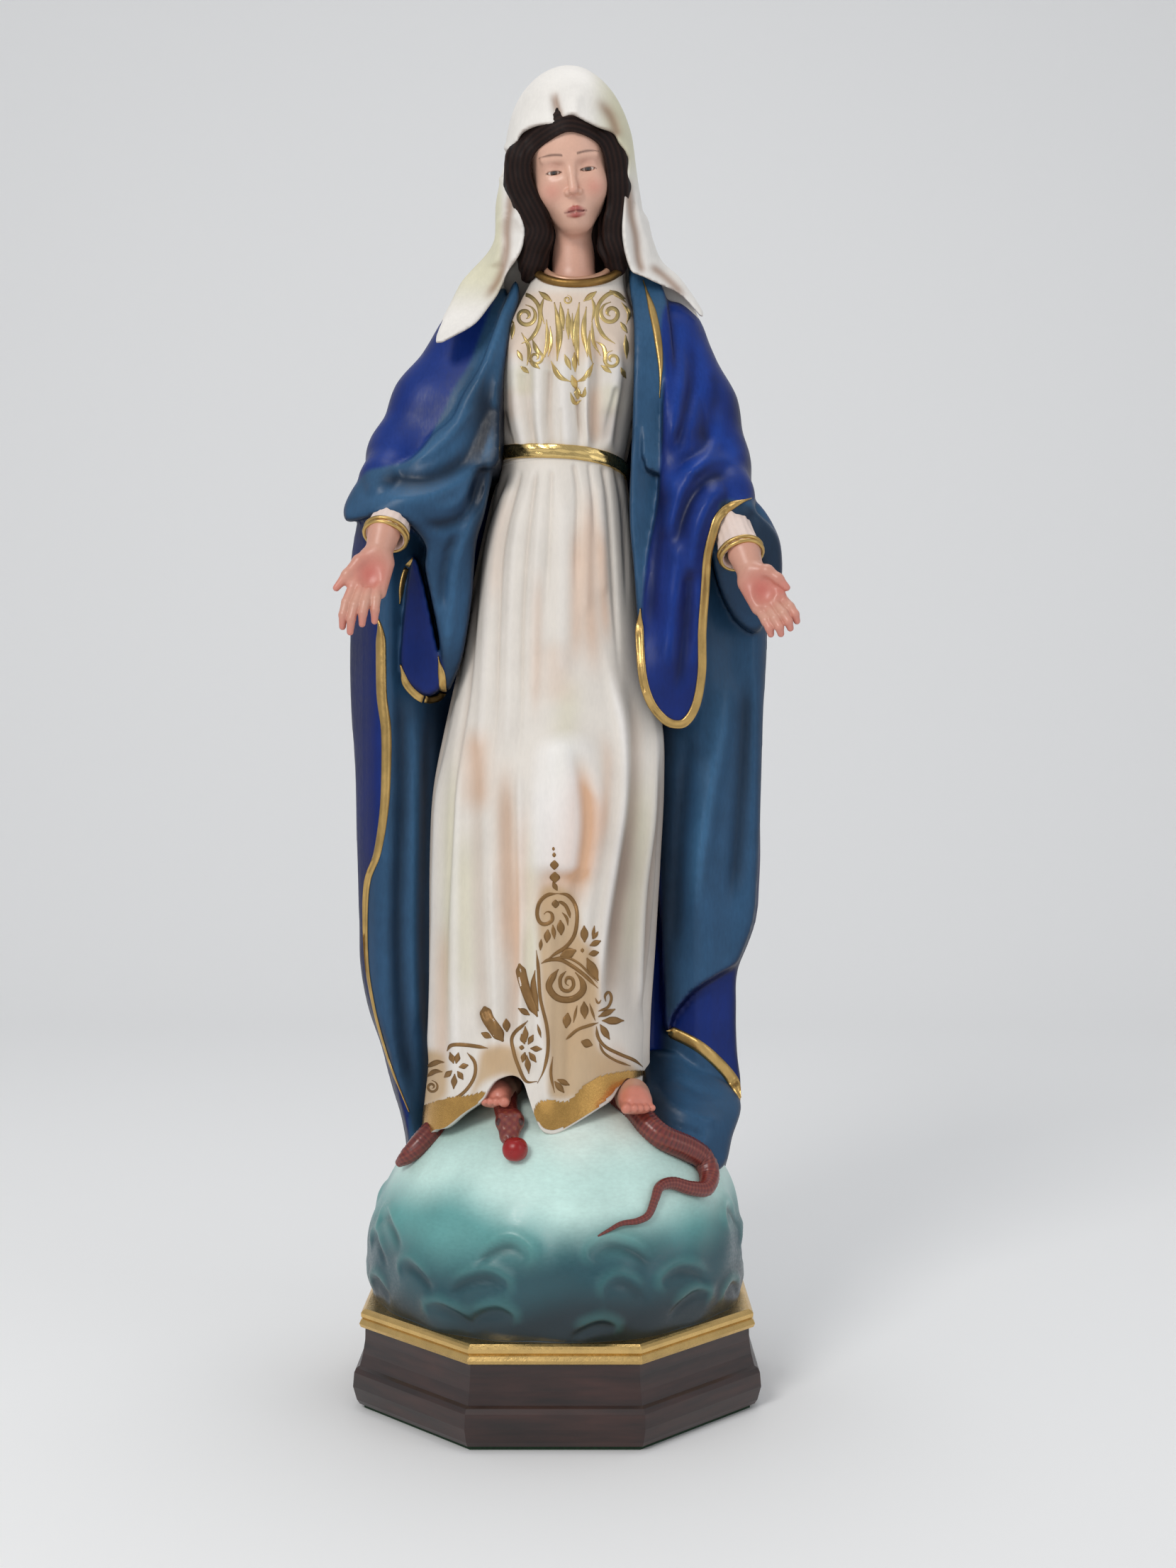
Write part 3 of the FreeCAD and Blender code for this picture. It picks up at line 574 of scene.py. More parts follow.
def largest_shells(points, quads, least=40):
    """Drops crumbs: shells with fewer than some number of quads."""
    parent = np.arange(len(points))

    def roots(parent):
        while True:
            up = parent[parent]
            if (up == parent).all():
                return parent
            parent = up

    for _ in range(60):
        low = parent[quads].min(1)
        before = parent.copy()
        for corner in range(4):
            np.minimum.at(parent, quads[:, corner], low)
        parent = roots(parent)
        if (parent == before).all():
            break
    count = np.bincount(parent[quads[:, 0]], minlength=len(points))
    keep = count[parent[quads[:, 0]]] >= least
    quads = quads[keep]
    used = np.unique(quads)
    renumber = np.zeros(len(points), int)
    renumber[used] = np.arange(len(used))
    return points[used], renumber[quads]


def piece(name, points, faces, material, slot, nodes, paint=None, body="root"):
    """Makes a Blender object from millimetre points, and hides the CAD nodes that it stands for."""
    mesh = bpy.data.meshes.new(name)
    mesh.from_pydata((np.asarray(points) * MM).tolist(), [], np.asarray(faces).tolist())
    mesh.shade_smooth()
    if paint is not None:
        layer = mesh.color_attributes.new("paint", "FLOAT_COLOR", "POINT")
        colours = np.ones((len(points), 4), np.float32)
        colours[:, :3] = paint
        layer.data.foreach_set("color", colours.ravel())
    mesh.materials.append(material)
    thing = bpy.data.objects.new(name, mesh)
    bpy.context.scene.collection.objects.link(thing)
    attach(thing, body)
    if nodes:
        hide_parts(*nodes)
    return thing


def blend_paint(base, colour, amount):
    """Mixes one colour into painted points by a share each."""
    amount = np.clip(amount, 0, 1)[:, None]
    return base * (1 - amount) + np.asarray(colour)[None] * amount


def grid_faces(rows, columns, closed=False):
    """Quads of a rows by columns grid of points, closed round the columns if asked."""
    i = np.arange(rows - 1)[:, None]
    j = np.arange(columns if closed else columns - 1)[None]
    right = (j + 1) % columns
    a, b = i * columns + j, i * columns + right
    c, d = (i + 1) * columns + right, (i + 1) * columns + j
    return np.stack([a, b, c, d], -1).reshape(-1, 4)


# ---------------------------------------------------------------- globe

GLOBE_CENTRE = np.array([0.0, 0.0, 62.0])
GLOBE_RADIUS, GLOBE_RISE = (86.5, 78.0)


def globe_height(x, y):
    """Height of the plain globe above a point."""
    inside = np.clip(1 - (x * x + y * y) / GLOBE_RADIUS**2, 0, 1)
    return GLOBE_CENTRE[2] + GLOBE_RISE * np.sqrt(inside)


class Wrap(Chart):
    """The same kind of chart rolled round the globe: length along the equator, and height."""

    LOW = np.array([-290.0, 30.0])
    HIGH = np.array([290.0, 150.0])
    STEP = 1.0


def cloud_relief():
    """Curling waves low on the globe: each is a crescent with a steep front."""
    wrap = Wrap()
    relief = wrap.blank()
    for row, (level, rise, count) in enumerate([(53, 4.5, 15), (67, 6.0, 12), (81, 6.5, 9)]):
        for k in range(count):
            middle = (k + 0.5 * (row % 2) + RNG.uniform(-0.25, 0.25)) / count * 560 - 280
            size = RNG.uniform(11, 17)
            turn = RNG.choice([-1, 1])
            base = level + RNG.uniform(-4, 4)
            arc = [
                (middle - turn * size, base - rise * 0.8),
                (middle - turn * size * 0.4, base + rise * 0.5),
                (middle + turn * size * 0.3, base + rise),
                (middle + turn * size * 0.9, base + rise * 0.3),
                (middle + turn * size * 0.8, base - rise * 0.5),
                (middle + turn * size * 0.4, base - rise * 0.4),
            ]
            wrap.stroke(relief, arc, 2.6, RNG.uniform(1.0, 1.7), (0.3, 0.3), 0.45 * turn)
            under = [(x, z - 4.0) for x, z in arc[:4]]
            wrap.stroke(relief, under, 2.4, -1.0, (0.3, 0.4))
    return wrap, relief


def globe(material):
    wrap, relief = cloud_relief()
    rows, columns = 150, 560
    low = math.asin((43.0 - GLOBE_CENTRE[2]) / GLOBE_RISE)
    lat = np.linspace(math.pi / 2, low, rows)[:, None]
    lon = np.linspace(-math.pi, math.pi, columns, endpoint=False)[None]
    unit = np.stack(
        [np.cos(lat) * np.sin(lon), -np.cos(lat) * np.cos(lon), np.sin(lat) + 0 * lon], -1
    )
    size = np.array([GLOBE_RADIUS, GLOBE_RADIUS, GLOBE_RISE])
    points = GLOBE_CENTRE + unit * size
    normal = unit / size
    normal /= np.linalg.norm(normal, axis=-1, keepdims=True)
    height = points[..., 2]
    along = lon * GLOBE_RADIUS + 0 * lat
    waves = wrap.sample(relief, along, height)
    lumps = (
        1.6 * np.sin(3 * lon + 0.6) * np.sin((height - 40) / 16)
        + 1.0 * np.sin(7 * lon + 1.9 + height / 14)
        + 0.5 * np.sin(17 * lon - height / 7)
    )
    fade = smooth_step((118 - height) / 40)
    lift = waves * smooth_step((104 - height) / 18) + lumps * fade * 0.8 - 0.6 * fade
    points = (points + normal * lift[..., None]).reshape(-1, 3)
    height, waves = points[:, 2], waves.ravel()
    turn = np.arctan2(points[:, 0], -points[:, 1])
    wander = 5 * np.sin(2.0 * turn + 0.4) + 3 * np.sin(5 * turn + 1.0) + 1.2 * np.sin(13 * turn)
    paint = np.tile(MINT, (len(points), 1))
    paint = blend_paint(paint, srgb(222, 236, 228), smooth_step((height + wander - 112) / 24))
    paint = blend_paint(paint, TEAL, smooth_step((104 - height - wander) / 20))
    paint = blend_paint(paint, DEEP, smooth_step((92 - height + wander * 0.8) / 24) * 0.95)
    paint = blend_paint(paint, srgb(6, 28, 38), smooth_step((66 - height + wander) / 18) * 0.9)
    # Painted highlight on the raised crests of the waves, and painted shade in the hollows under them.
    paint = blend_paint(paint, srgb(84, 150, 146), np.clip(waves - 0.3, 0, 2) * 0.3)
    paint = blend_paint(paint, srgb(8, 40, 50), np.clip(-waves, 0, 1.5) * 0.6)
    cap = len(points)
    points = np.vstack([points, [[0, 0, 43.0]]])
    paint = np.vstack([paint, paint[-1:]])
    faces = grid_faces(rows, columns, closed=True).tolist()
    last = (rows - 1) * columns
    faces += [[last + (k + 1) % columns, last + k, cap] for k in range(columns)]
    mesh_points, mesh_faces = points, faces
    mesh = piece_mixed("globe_clouds", mesh_points, mesh_faces, material, paint)
    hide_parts("globe")
    return mesh


def piece_mixed(name, points, faces, material, paint=None):
    """As piece, for faces with different numbers of corners, standing for nothing yet."""
    mesh = bpy.data.meshes.new(name)
    mesh.from_pydata((np.asarray(points) * MM).tolist(), [], faces)
    mesh.validate()
    mesh.shade_smooth()
    if paint is not None:
        layer = mesh.color_attributes.new("paint", "FLOAT_COLOR", "POINT")
        colours = np.ones((len(points), 4), np.float32)
        colours[:, :3] = paint
        layer.data.foreach_set("color", colours.ravel())
    mesh.materials.append(material)
    thing = bpy.data.objects.new(name, mesh)
    bpy.context.scene.collection.objects.link(thing)
    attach(thing, "root")
    return thing


# ---------------------------------------------------------------- gown

GOWN = [  # height, middle x, middle y, half width, half depth
    (108, -11, -6, 51.5, 49), (124, -11, -6, 51, 47.5), (150, -10, -6, 49.5, 44),
    (207, -7, -6, 50.5, 41), (240, -5.5, -6, 51.5, 40), (275, -3.5, -6, 51.5, 38.5),
    (300, -1.5, -5.5, 49, 37), (327, -1.5, -5, 43.5, 35), (351, -1.5, -4.5, 39.5, 33.5),
    (379, -0.5, -4, 35.5, 31.5), (406, 1, -3.5, 31, 29), (420, 2, -3, 28.5, 27),
    (432, 2.5, -3.2, 30, 28.5), (448, 3.5, -4, 32.5, 31), (465, 5, -4.5, 33.5, 32.5),
    (482, 6, -4, 32, 29), (495, 7.5, -5, 25, 23.5), (503, 8.5, -6, 21.8, 20),
    (508, 9, -6.5, 20.8, 18), (518, 9, -6.5, 19.8, 15.5),
]
WAIST = 420.0
HEM_LINE = [  # x0, z0 of the hem in front: it lifts over each foot and dips between them
    (-72, 110), (-68, 111.5), (-60, 115.5), (-52.5, 116.5), (-44.3, 123), (-36.5, 128.6),
    (-33.5, 134), (-30, 138), (-22.5, 140), (-17.5, 137), (-14.5, 130), (-11.5, 122.5), (-8, 115.5),
    (-4, 113.6), (0, 114.2), (6, 117.3), (17.5, 124.3), (24.5, 129), (28, 134.5), (31, 138.5),
    (36, 141), (42, 142.5), (48, 141),
]
GOWN_CREASES = [  # narrow pleat lines: points, width, depth
    (
        [(-17.3, 421), (-25.7, 386), (-27.8, 351), (-28.8, 309), (-30.6, 285), (-30.6, 255)], 1.3,
        1.5,
    ),
    (
        [
            (-22.9, 421), (-34, 393), (-37.6, 372), (-39.7, 344), (-42, 318), (-46.5, 285),
            (-49, 240), (-50.8, 205), (-51, 165),
        ],
        1.4, 1.6,
    ),
    ([(-10.3, 421), (-14.5, 386), (-16.6, 351), (-17.3, 309), (-19, 285), (-19.5, 262)], 1.2, 1.4),
    ([(-3.3, 421), (-4.2, 393), (-5.4, 368), (-6, 345)], 1.2, 1.2),
    ([(7.1, 424), (9, 409), (8.6, 388), (8, 355)], 1.3, 1.4),
    ([(14, 424), (16.2, 404), (16.5, 385)], 1.1, 1.0),
    ([(20.4, 424), (22.4, 410), (23.8, 394), (25.5, 366), (27, 340), (28, 318)], 1.3, 1.5),
    ([(26, 424), (29.5, 404), (31, 380), (31.5, 350)], 1.2, 1.1),
    ([(-26, 447), (-22.5, 434), (-18.5, 425)], 1.3, 1.4),
    ([(-17, 464), (-14.5, 445), (-10.5, 426)], 1.2, 1.1),
    ([(-4.6, 466), (-5.6, 445), (-5.2, 426)], 1.3, 1.3),
    ([(1, 448), (0.4, 436), (2, 426)], 1.0, 0.8), ([(8.5, 459), (10, 443), (13.4, 426)], 1.2, 1.3),
    ([(15.5, 466), (14.4, 446), (15.4, 427)], 1.2, 1.2),
    ([(26, 458), (22.5, 442), (20, 427)], 1.4, 1.5),
]
GOWN_FOLDS = [  # broad folds: points, width, height (below zero a valley), lean
    ([(-21, 420), (-29.5, 386), (-32.5, 351), (-34.5, 310), (-37, 280)], 3.0, 1.5, 0.0),
    ([(-13.6, 420), (-20, 386), (-22, 351), (-23, 309), (-24, 285)], 2.8, 1.3, 0.0),
    ([(-6.8, 420), (-9.4, 386), (-11, 350), (-11.5, 310)], 3.0, 1.3, 0.0),
    ([(2, 420), (2.2, 390), (1.5, 350), (1, 320)], 4.5, 1.4, 0.0),
    ([(12, 420), (13, 395), (12, 350)], 2.8, 1.1, 0.0),
    ([(18, 420), (19.5, 395), (20.5, 360)], 2.6, 1.2, 0.0),
    (
        [
            (20.5, 345), (24.5, 320), (29, 296), (29.5, 268), (25, 236), (20.8, 208), (18.6, 185),
            (17.6, 158),
        ],
        3.4, 3.0, 0.35,
    ),
    (
        [
            (31, 330), (35.5, 305), (36, 285), (34.5, 262), (30.5, 236), (26.5, 212), (24, 190),
            (23, 165),
        ],
        4.2, -3.0, 0.0,
    ),
    ([(41, 320), (44.6, 295), (43, 260), (38.6, 226), (37, 195), (36, 165)], 2.6, 2.0, 0.3),
    ([(46.5, 300), (46.5, 262), (42.5, 226), (40.5, 190), (40, 160)], 2.0, -2.0, 0.0),
    ([(1, 305), (3.5, 280), (3.5, 258), (1, 230)], 12.0, 5.0, 0.0),
    ([(4, 300), (10, 280), (13, 258), (11, 238), (6, 212)], 4.0, -2.4, 0.0),
    ([(15, 290), (18, 262), (15, 236), (12, 205), (10, 170)], 3.5, 1.4, 0.0),
    ([(-9, 300), (-9.5, 262), (-11, 220), (-10.5, 170), (-9, 140)], 4.5, 1.6, 0.0),
    ([(-44, 305), (-46, 250), (-46.8, 190), (-46, 150), (-48, 128)], 3.2, 2.4, -0.25),
    ([(-53, 300), (-57, 245), (-58, 190), (-58, 140)], 3.0, 2.0, 0.0),
    ([(-18.5, 295), (-17.6, 250), (-17.0, 200), (-18.5, 150)], 2.2, 1.9, 0.2),
    ([(-25.5, 290), (-24.5, 235), (-22.5, 180), (-24, 148)], 3.6, -2.2, 0.0),
    ([(-39.5, 300), (-38.5, 255), (-37, 200), (-34, 150)], 3.8, -2.0, 0.0),
    ([(-31, 250), (-30.5, 210), (-29, 165), (-31, 145)], 2.4, 1.5, 0.0),
    ([(-4, 225), (-4, 190), (-5, 150), (-6, 122)], 3.0, 1.8, 0.0),
    ([(4, 215), (5, 180), (5, 150), (4, 125)], 3.0, -1.6, 0.0),
    ([(-14, 215), (-14, 180), (-13, 135)], 2.6, -1.4, 0.0),
    ([(-20, 484), (-19.5, 465), (-18.5, 445), (-14.5, 426)], 2.8, 2.0, 0.0),
    ([(-14.5, 486), (-14.5, 465), (-13, 445), (-10.5, 426)], 2.0, -1.5, 0.0),
    ([(-8.5, 488), (-9, 465), (-9, 445), (-7.5, 426)], 2.8, 2.2, 0.0),
    ([(-3.4, 488), (-3.6, 465), (-4.2, 445), (-3.4, 426)], 1.8, -1.6, 0.0),
    ([(3, 490), (2.6, 468), (2.4, 450), (4.4, 427)], 3.4, 2.2, 0.0),
    ([(9, 488), (8.6, 470), (9.6, 450), (10.6, 428)], 1.8, -1.6, 0.0),
    ([(13, 488), (13, 470), (12.4, 450), (12.6, 427)], 2.0, 1.8, 0.0),
    ([(18.4, 488), (18.6, 468), (17.2, 448), (17.4, 427)], 2.6, -2.2, 0.0),
    ([(25, 486), (26, 466), (24, 446), (21.8, 427)], 3.2, 2.2, 0.0),
    ([(30.5, 480), (31, 462), (28, 444), (25.6, 428)], 2.0, -1.4, 0.0),
]
GOWN_PEACH = [  # airbrushed peach tone, and painted shade in the valleys between folds: points, width, strength
    ([(-38, 305), (-37.5, 258)], 4.5, 0.75), ([(-25, 292), (-24, 235), (-22.5, 180)], 3.4, 0.7),
    ([(6, 292), (11.5, 265), (11, 245), (6, 214)], 4.6, 0.95), ([(-2, 345), (0, 308)], 6.0, 0.3),
    ([(14.5, 419), (14, 392), (14.5, 360), (17, 318)], 3.4, 0.65),
    ([(-20, 417), (-27.4, 388), (-30, 352)], 1.8, 0.25),
    ([(-52, 218), (-53, 172), (-53.5, 130)], 2.8, 0.5),
    ([(20, 304), (22.5, 280), (18, 240)], 2.6, 0.4),
    ([(17.6, 462), (17, 448), (18, 430)], 2.2, 0.65), ([(-22, 460), (-20.5, 440)], 3.0, 0.35),
    ([(8, 215), (10, 180), (8, 140)], 6.0, 0.55), ([(-20, 152), (-28, 148), (-36, 144)], 5.0, 0.6),
    ([(34, 152), (26, 148), (14, 140)], 5.0, 0.4),
    ([(8, 285), (7, 262), (2, 240), (-4, 222), (-4, 200)], 7.0, 0.75),
    ([(16, 275), (13, 250), (9, 226)], 5.0, 0.8),
    ([(-16, 275), (-17, 240), (-19, 195), (-21, 150)], 2.6, 0.6),
    ([(8, 400), (8, 360), (8, 325)], 2.6, 0.5), ([(19, 400), (20.5, 370), (23, 335)], 2.0, 0.6),
    ([(-9, 380), (-10, 340), (-11, 300)], 2.0, 0.35),
]
# Olive tint, partly the gown's own airbrush and partly painted shade along folds: points, width, strength.
GOWN_OLIVE = [
    ([(-47.5, 300), (-50, 240), (-50.5, 190), (-50, 150)], 2.6, 0.55),
    ([(-43, 262), (-43, 215), (-42, 165)], 3.0, 0.5),
    ([(-12, 262), (-13, 215), (-12.5, 165)], 3.4, 0.55),
    ([(7, 330), (3, 300), (-2, 262)], 5.0, 0.4), ([(-17, 470), (-16, 452)], 4.5, 0.45),
    ([(24, 462), (24, 442)], 4.0, 0.45), ([(38, 290), (37, 250), (33, 215), (30, 175)], 4.5, 0.6),
]
GOWN_TAN = [  # tan grounds behind the hem's ornament
    [
        (-9, 222), (-2, 228), (8, 222), (10, 206), (16, 196), (18, 178), (17, 163), (20, 152),
        (33, 146), (36, 141), (22, 140), (10, 131), (-4, 131), (-5, 150), (-7, 165), (-8.5, 185),
    ],
    [
        (-34, 153), (-19, 153), (-17, 143), (-18, 139), (-26, 141), (-35, 137), (-40, 131),
        (-38, 140),
    ],
    [(-64, 150), (-53, 150), (-52, 131), (-66, 128)],
]
# Painted shadow in grey-brown: down the skirt's shaded side, by the belt and under the drape: points, width,
# strength.
GOWN_PAINTED_SHADOW = [
    ([(33, 300), (34, 268), (30, 236), (26, 212), (24, 172)], 3.4, 0.75),
    ([(34, 270), (32, 230), (29, 200), (30, 170), (34, 152)], 7.0, 0.6),
    ([(-29, 444), (-28, 425), (-32, 405)], 3.0, 0.7),
    ([(46.5, 305), (46.5, 262), (42.5, 226), (40, 170)], 2.4, 0.8),
    ([(25.5, 452), (23, 440), (21.5, 430)], 4.0, 0.55), ([(-26, 450), (-24, 436)], 2.5, 0.5),
    ([(-26, 415), (-36, 388), (-41, 350), (-45, 322)], 2.6, 0.5),
]


def gown_charts():
    relief, crease = chart.blank(), chart.blank()
    for points, width, height, lean in GOWN_FOLDS:
        chart.stroke(relief, points, width, height, (0.22, 0.12), lean)
    for points, width, depth in GOWN_CREASES:
        chart.stroke(crease, points, width, -depth, (0.04, 0.5))
    return relief, crease


def gown_point(turn, height):
    """Plain gown surface at a turn from the front and a height, with its outward direction."""
    cx, cy, wide, deep = profile(GOWN, height)
    power = 2.15
    s, c = np.sin(turn), np.cos(turn)
    reach = (np.abs(s) ** power + np.abs(c) ** power) ** (-1 / power)
    x, y = cx + wide * s * reach, cy - deep * c * reach
    normal = np.stack([s / wide, -c / deep, 0 * s], -1)
    normal /= np.linalg.norm(normal, axis=-1, keepdims=True)
    return np.stack([x, y, height + 0 * x], -1), normal


def neckline(turn):
    """Height of the gown's upper edge: low at the throat and high at the nape."""
    return np.minimum(516 - 18.5 * np.cos(turn), 517)


def gown_back_folds(turn, height):
    """Pleats round the sides and back, closer together near the belt."""
    drop = smooth_step((WAIST - height) / 260)
    soft = 0.8 + 1.6 * drop
    wave = np.cos(11 * turn + 0.5 * np.sin(height / 60)) + 0.45 * np.cos(23 * turn + 1.3)
    return soft * wave * smooth_step((np.abs(turn) - 1.15) / 0.5)


def gown(material):
    relief, crease = gown_charts()
    columns = 620
    turn = np.linspace(-math.pi, math.pi, columns, endpoint=False)
    hem = hem_level(turn)
    skirt_rows, bodice_rows = 330, 110
    share = np.linspace(0, 1, skirt_rows)[:, None]
    skirt_z = WAIST + 1.0 + (hem[None] - WAIST - 1.0) * share
    share = np.linspace(0, 1, bodice_rows)[:, None]
    bodice_z = neckline(turn)[None] * (1 - share) + (WAIST - 1.0) * share
    surfaces = {}
    for part, z in (("skirt", skirt_z), ("bodice", bodice_z)):
        base, normal = gown_point(turn[None] + 0 * z, z)
        flat = base.reshape(-1, 3)
        x0, z0 = sight(flat)
        front = smooth_step((np.cos(turn)[None] + 0 * z).ravel() * 2.2 + 0.25)
        lift = (chart.sample(relief, x0, z0) + chart.sample(crease, x0, z0)) * front
        back = gown_back_folds(turn[None] + 0 * z, z).ravel()
        pinch = smooth_step(np.abs(z - WAIST).ravel() / 5.0)
        points = flat + normal.reshape(-1, 3) * ((lift + back) * (0.25 + 0.75 * pinch))[:, None]
        surfaces[part] = (points.reshape(z.shape + (3,)), base, x0, z0, lift)
    for part, (points, base, x0, z0, lift) in surfaces.items():
        rows = points.shape[0]
        outer = points.reshape(-1, 3)
        faces = grid_faces(rows, columns, closed=True)
        quads_out = faces[:, ::-1]
        normal = point_normals(outer, quads_out)
        if (normal * (outer - base.reshape(-1, 3).mean(0)))[:, 1].sum() < 0:
            quads_out = faces
            normal = point_normals(outer, quads_out)
        inner = outer - normal * 3.0
        total = len(outer)
        paint = gown_paint(outer, x0, z0, lift)
        rim = []
        for row in (0, rows - 1):
            k = row * columns + np.arange(columns)
            n = row * columns + (np.arange(columns) + 1) % columns
            quad = np.stack([k, n, n + total, k + total], -1)
            flip = (row == 0) == (quads_out is faces)
            rim.append(quad[:, ::-1] if flip else quad)
        quads = np.vstack([quads_out, quads_out[:, ::-1] + total, *rim])
        node = "gown_" + part
        # The inner wall gets the gown's paint darkened, as painted shade inside the gown.
        piece(
            node + "_folds",
            np.vstack([outer, inner]),
            quads,
            material,
            "gown",
            [node],
            np.vstack([paint, paint * 0.8]),
        )
    return {part: grid[0] for part, grid in surfaces.items()}


def hem_level(turn):
    """Height of the hem at each turn: over the feet in front, on the globe elsewhere."""
    base, _ = gown_point(turn, np.full_like(turn, 124.0))
    ground = globe_height(base[:, 0], base[:, 1]) - 1.5
    x0, _ = sight(base)
    line = curve(HEM_LINE, 1.0)
    order = np.argsort(line[:, 0])
    z0 = np.interp(x0, line[order, 0], line[order, 1])
    scale = EYE[1] / (EYE[1] - base[:, 1])
    front = EYE[2] + (z0 - EYE[2]) / scale
    share = smooth_step((np.cos(turn) - 0.25) / 0.35)
    return ground + (np.maximum(front, ground) - ground) * share


def gown_paint(points, x0, z0, lift):
    masks = []
    for group in (GOWN_PEACH, GOWN_OLIVE, GOWN_PAINTED_SHADOW):
        field = chart.blank()
        for line, width, strength in group:
            chart.stroke(field, line, width * 1.25, strength, (0.3, 0.3))
        masks.append(chart.sample(field, x0, z0))
    front = smooth_step((-points[:, 1] + 4) / 14)
    paint = np.tile(IVORY, (len(points), 1))
    paint = blend_paint(paint, OLIVE, masks[1] * front * 0.8)
    paint = blend_paint(paint, PEACH, masks[0] * front * 0.9)
    paint = blend_paint(paint, SHADOW, masks[2] * front * 0.8)
    # Painted shade in the valleys of the folds and painted highlight on their ridges.
    paint = blend_paint(paint, srgb(176, 150, 128), np.clip(-lift - 0.5, 0, 2.5) * 0.22)
    paint = blend_paint(paint, srgb(246, 244, 244), np.clip(lift - 0.9, 0, 3) * 0.2)
    turn = np.arctan2(points[:, 0], -points[:, 1])
    # Painted shade round the sides and back: peach in the valleys of the pleats.
    pleat_valley_shade = 0.5 + 0.5 * np.cos(11 * turn + math.pi)
    paint = blend_paint(paint, PEACH, pleat_valley_shade**2 * 0.5 * (1 - front))
    for outline in GOWN_TAN:
        ground = smooth_step(0.5 - chart.sample(chart.region(outline), x0, z0) / 5)
        paint = blend_paint(paint, srgb(192, 160, 118), ground * front * 0.85)
    bright = smooth_step((z0 - 466) / 10) * smooth_step((505 - z0) / 6) * front
    paint = blend_paint(paint, srgb(214, 178, 146), bright * 0.45)
    return paint


# ---------------------------------------------------------------- mantle

MANTLE_LEFT = [  # height, distance of the image-left outline from x = 0
    (90, 69), (112, 70), (122, 72), (132, 75), (141, 77.5), (151, 80), (171, 87), (190, 91),
    (210, 92), (249, 93.5), (288, 95), (308, 97), (357, 97.5), (380, 97), (396, 93), (408, 88),
    (420, 82), (440, 70), (461, 60), (471, 55), (490, 48), (503, 30), (512, 20),
]
MANTLE_RIGHT = [
    (90, 76), (112, 77), (132, 83), (151, 81.5), (171, 81), (190, 82), (200, 86), (210, 89.5),
    (230, 92), (269, 94), (308, 95.5), (340, 98), (371, 97), (396, 90), (420, 84), (440, 80),
    (458, 74), (476, 68), (491, 61), (500, 48), (506, 36), (512, 26),
]
MANTLE_BACK = [  # height, how far back it reaches
    (90, 55), (112, 57), (140, 60), (200, 60), (270, 56), (340, 51), (400, 46), (440, 42),
    (470, 36), (490, 29), (506, 22), (512, 18),
]
MANTLE_FRONT = [  # height, how far forward of its middle it would reach if it were closed
    (90, 46), (380, 46), (400, 44), (420, 42), (440, 38), (460, 33), (476, 28), (490, 22),
    (506, 15), (512, 12),
]
LINING_LEFT = [  # x0, depth of the lining's front at the left of the gown
    (-112, 12), (-96, 4), (-90, -8), (-84, -17), (-78, -18.5), (-73, -15), (-68, -12), (-63, -8),
    (-58, -2), (-50, 5), (-40, 12), (-10, 20),
]
LINING_RIGHT = [
    (10, 20), (40, 6), (46, 0), (52, -4), (58, -7.5), (65, -11), (70, -10.5), (75, -8), (80, -6),
    (86, -5), (91, -4), (94, 0), (98, 8), (112, 18),
]
ARM_LEFT = [(-40, 0, 478), (-58, -4, 448), (-71, -10, 424), (-77, -25, 410), (-76, -34, 402)]
ARM_RIGHT = [(50, 0, 476), (64, -4, 446), (71, -10, 420), (76, -26, 404), (79, -34, 395)]
DRAPE_LEFT = [
    (-20, 507), (-25.7, 495), (-31.3, 480), (-36.9, 466), (-43.8, 455), (-49.4, 443.5),
    (-57.8, 436.4), (-63.4, 429.4), (-70.4, 423.8), (-81.6, 421), (-88.5, 419), (-95, 411),
    (-99, 402), (-97.5, 396), (-90, 397), (-83, 399), (-74, 398), (-66, 392), (-61, 384),
    (-61.5, 375), (-58.5, 360), (-55.5, 345), (-53.5, 330), (-51.5, 318), (-48.5, 322), (-44, 335),
    (-40, 360), (-38, 385), (-34, 400), (-29, 425), (-26, 445), (-25, 465), (-22, 485), (-18, 499),
]
DRAPE_LEFT_DEPTH = [
    (-20, 505, -16), (-22, 500, -18), (-28, 480, -28), (-35, 462, -32), (-45, 445, -34),
    (-60, 430, -36), (-80, 418, -34), (-97, 403, -35), (-85, 402, -46), (-70, 405, -47),
    (-55, 405, -43), (-45, 415, -38), (-32, 440, -31), (-35, 400, -33), (-45, 390, -37),
    (-50, 362, -33), (-50, 335, -30), (-52, 320, -27), (-62, 385, -40),
]
POCKET = [
    (-66.9, 380), (-63.4, 372.2), (-59.2, 354), (-55.7, 337.2), (-52.9, 328.9), (-53.5, 320.5),
    (-59.2, 315.5), (-66, 318), (-72.5, 327.5), (-72.1, 344.2), (-70.4, 361), (-69, 372),
]
POCKET_DEPTH = [
    (-67, 380, -30), (-60, 354, -28), (-55, 330, -27), (-60, 315, -24), (-73, 328, -22),
    (-72, 345, -22), (-70, 365, -25), (-65, 340, -24),
]
LAPEL = [
    (33, 513), (34.8, 484), (34.1, 442.6), (32.7, 400.7), (34.8, 372.8), (36.9, 350), (42, 350),
    (48, 366), (50, 387), (53, 408), (54, 428), (54, 456), (52, 484), (47, 506),
]
LAPEL_DEPTH = [
    (33, 513, -12), (46, 505, -14), (35, 484, -27), (52, 484, -24), (35, 456, -32), (54, 456, -28),
    (34, 428, -33), (54, 425, -26), (34, 400, -34), (50, 400, -29), (37, 365, -36), (38, 351, -36),
]
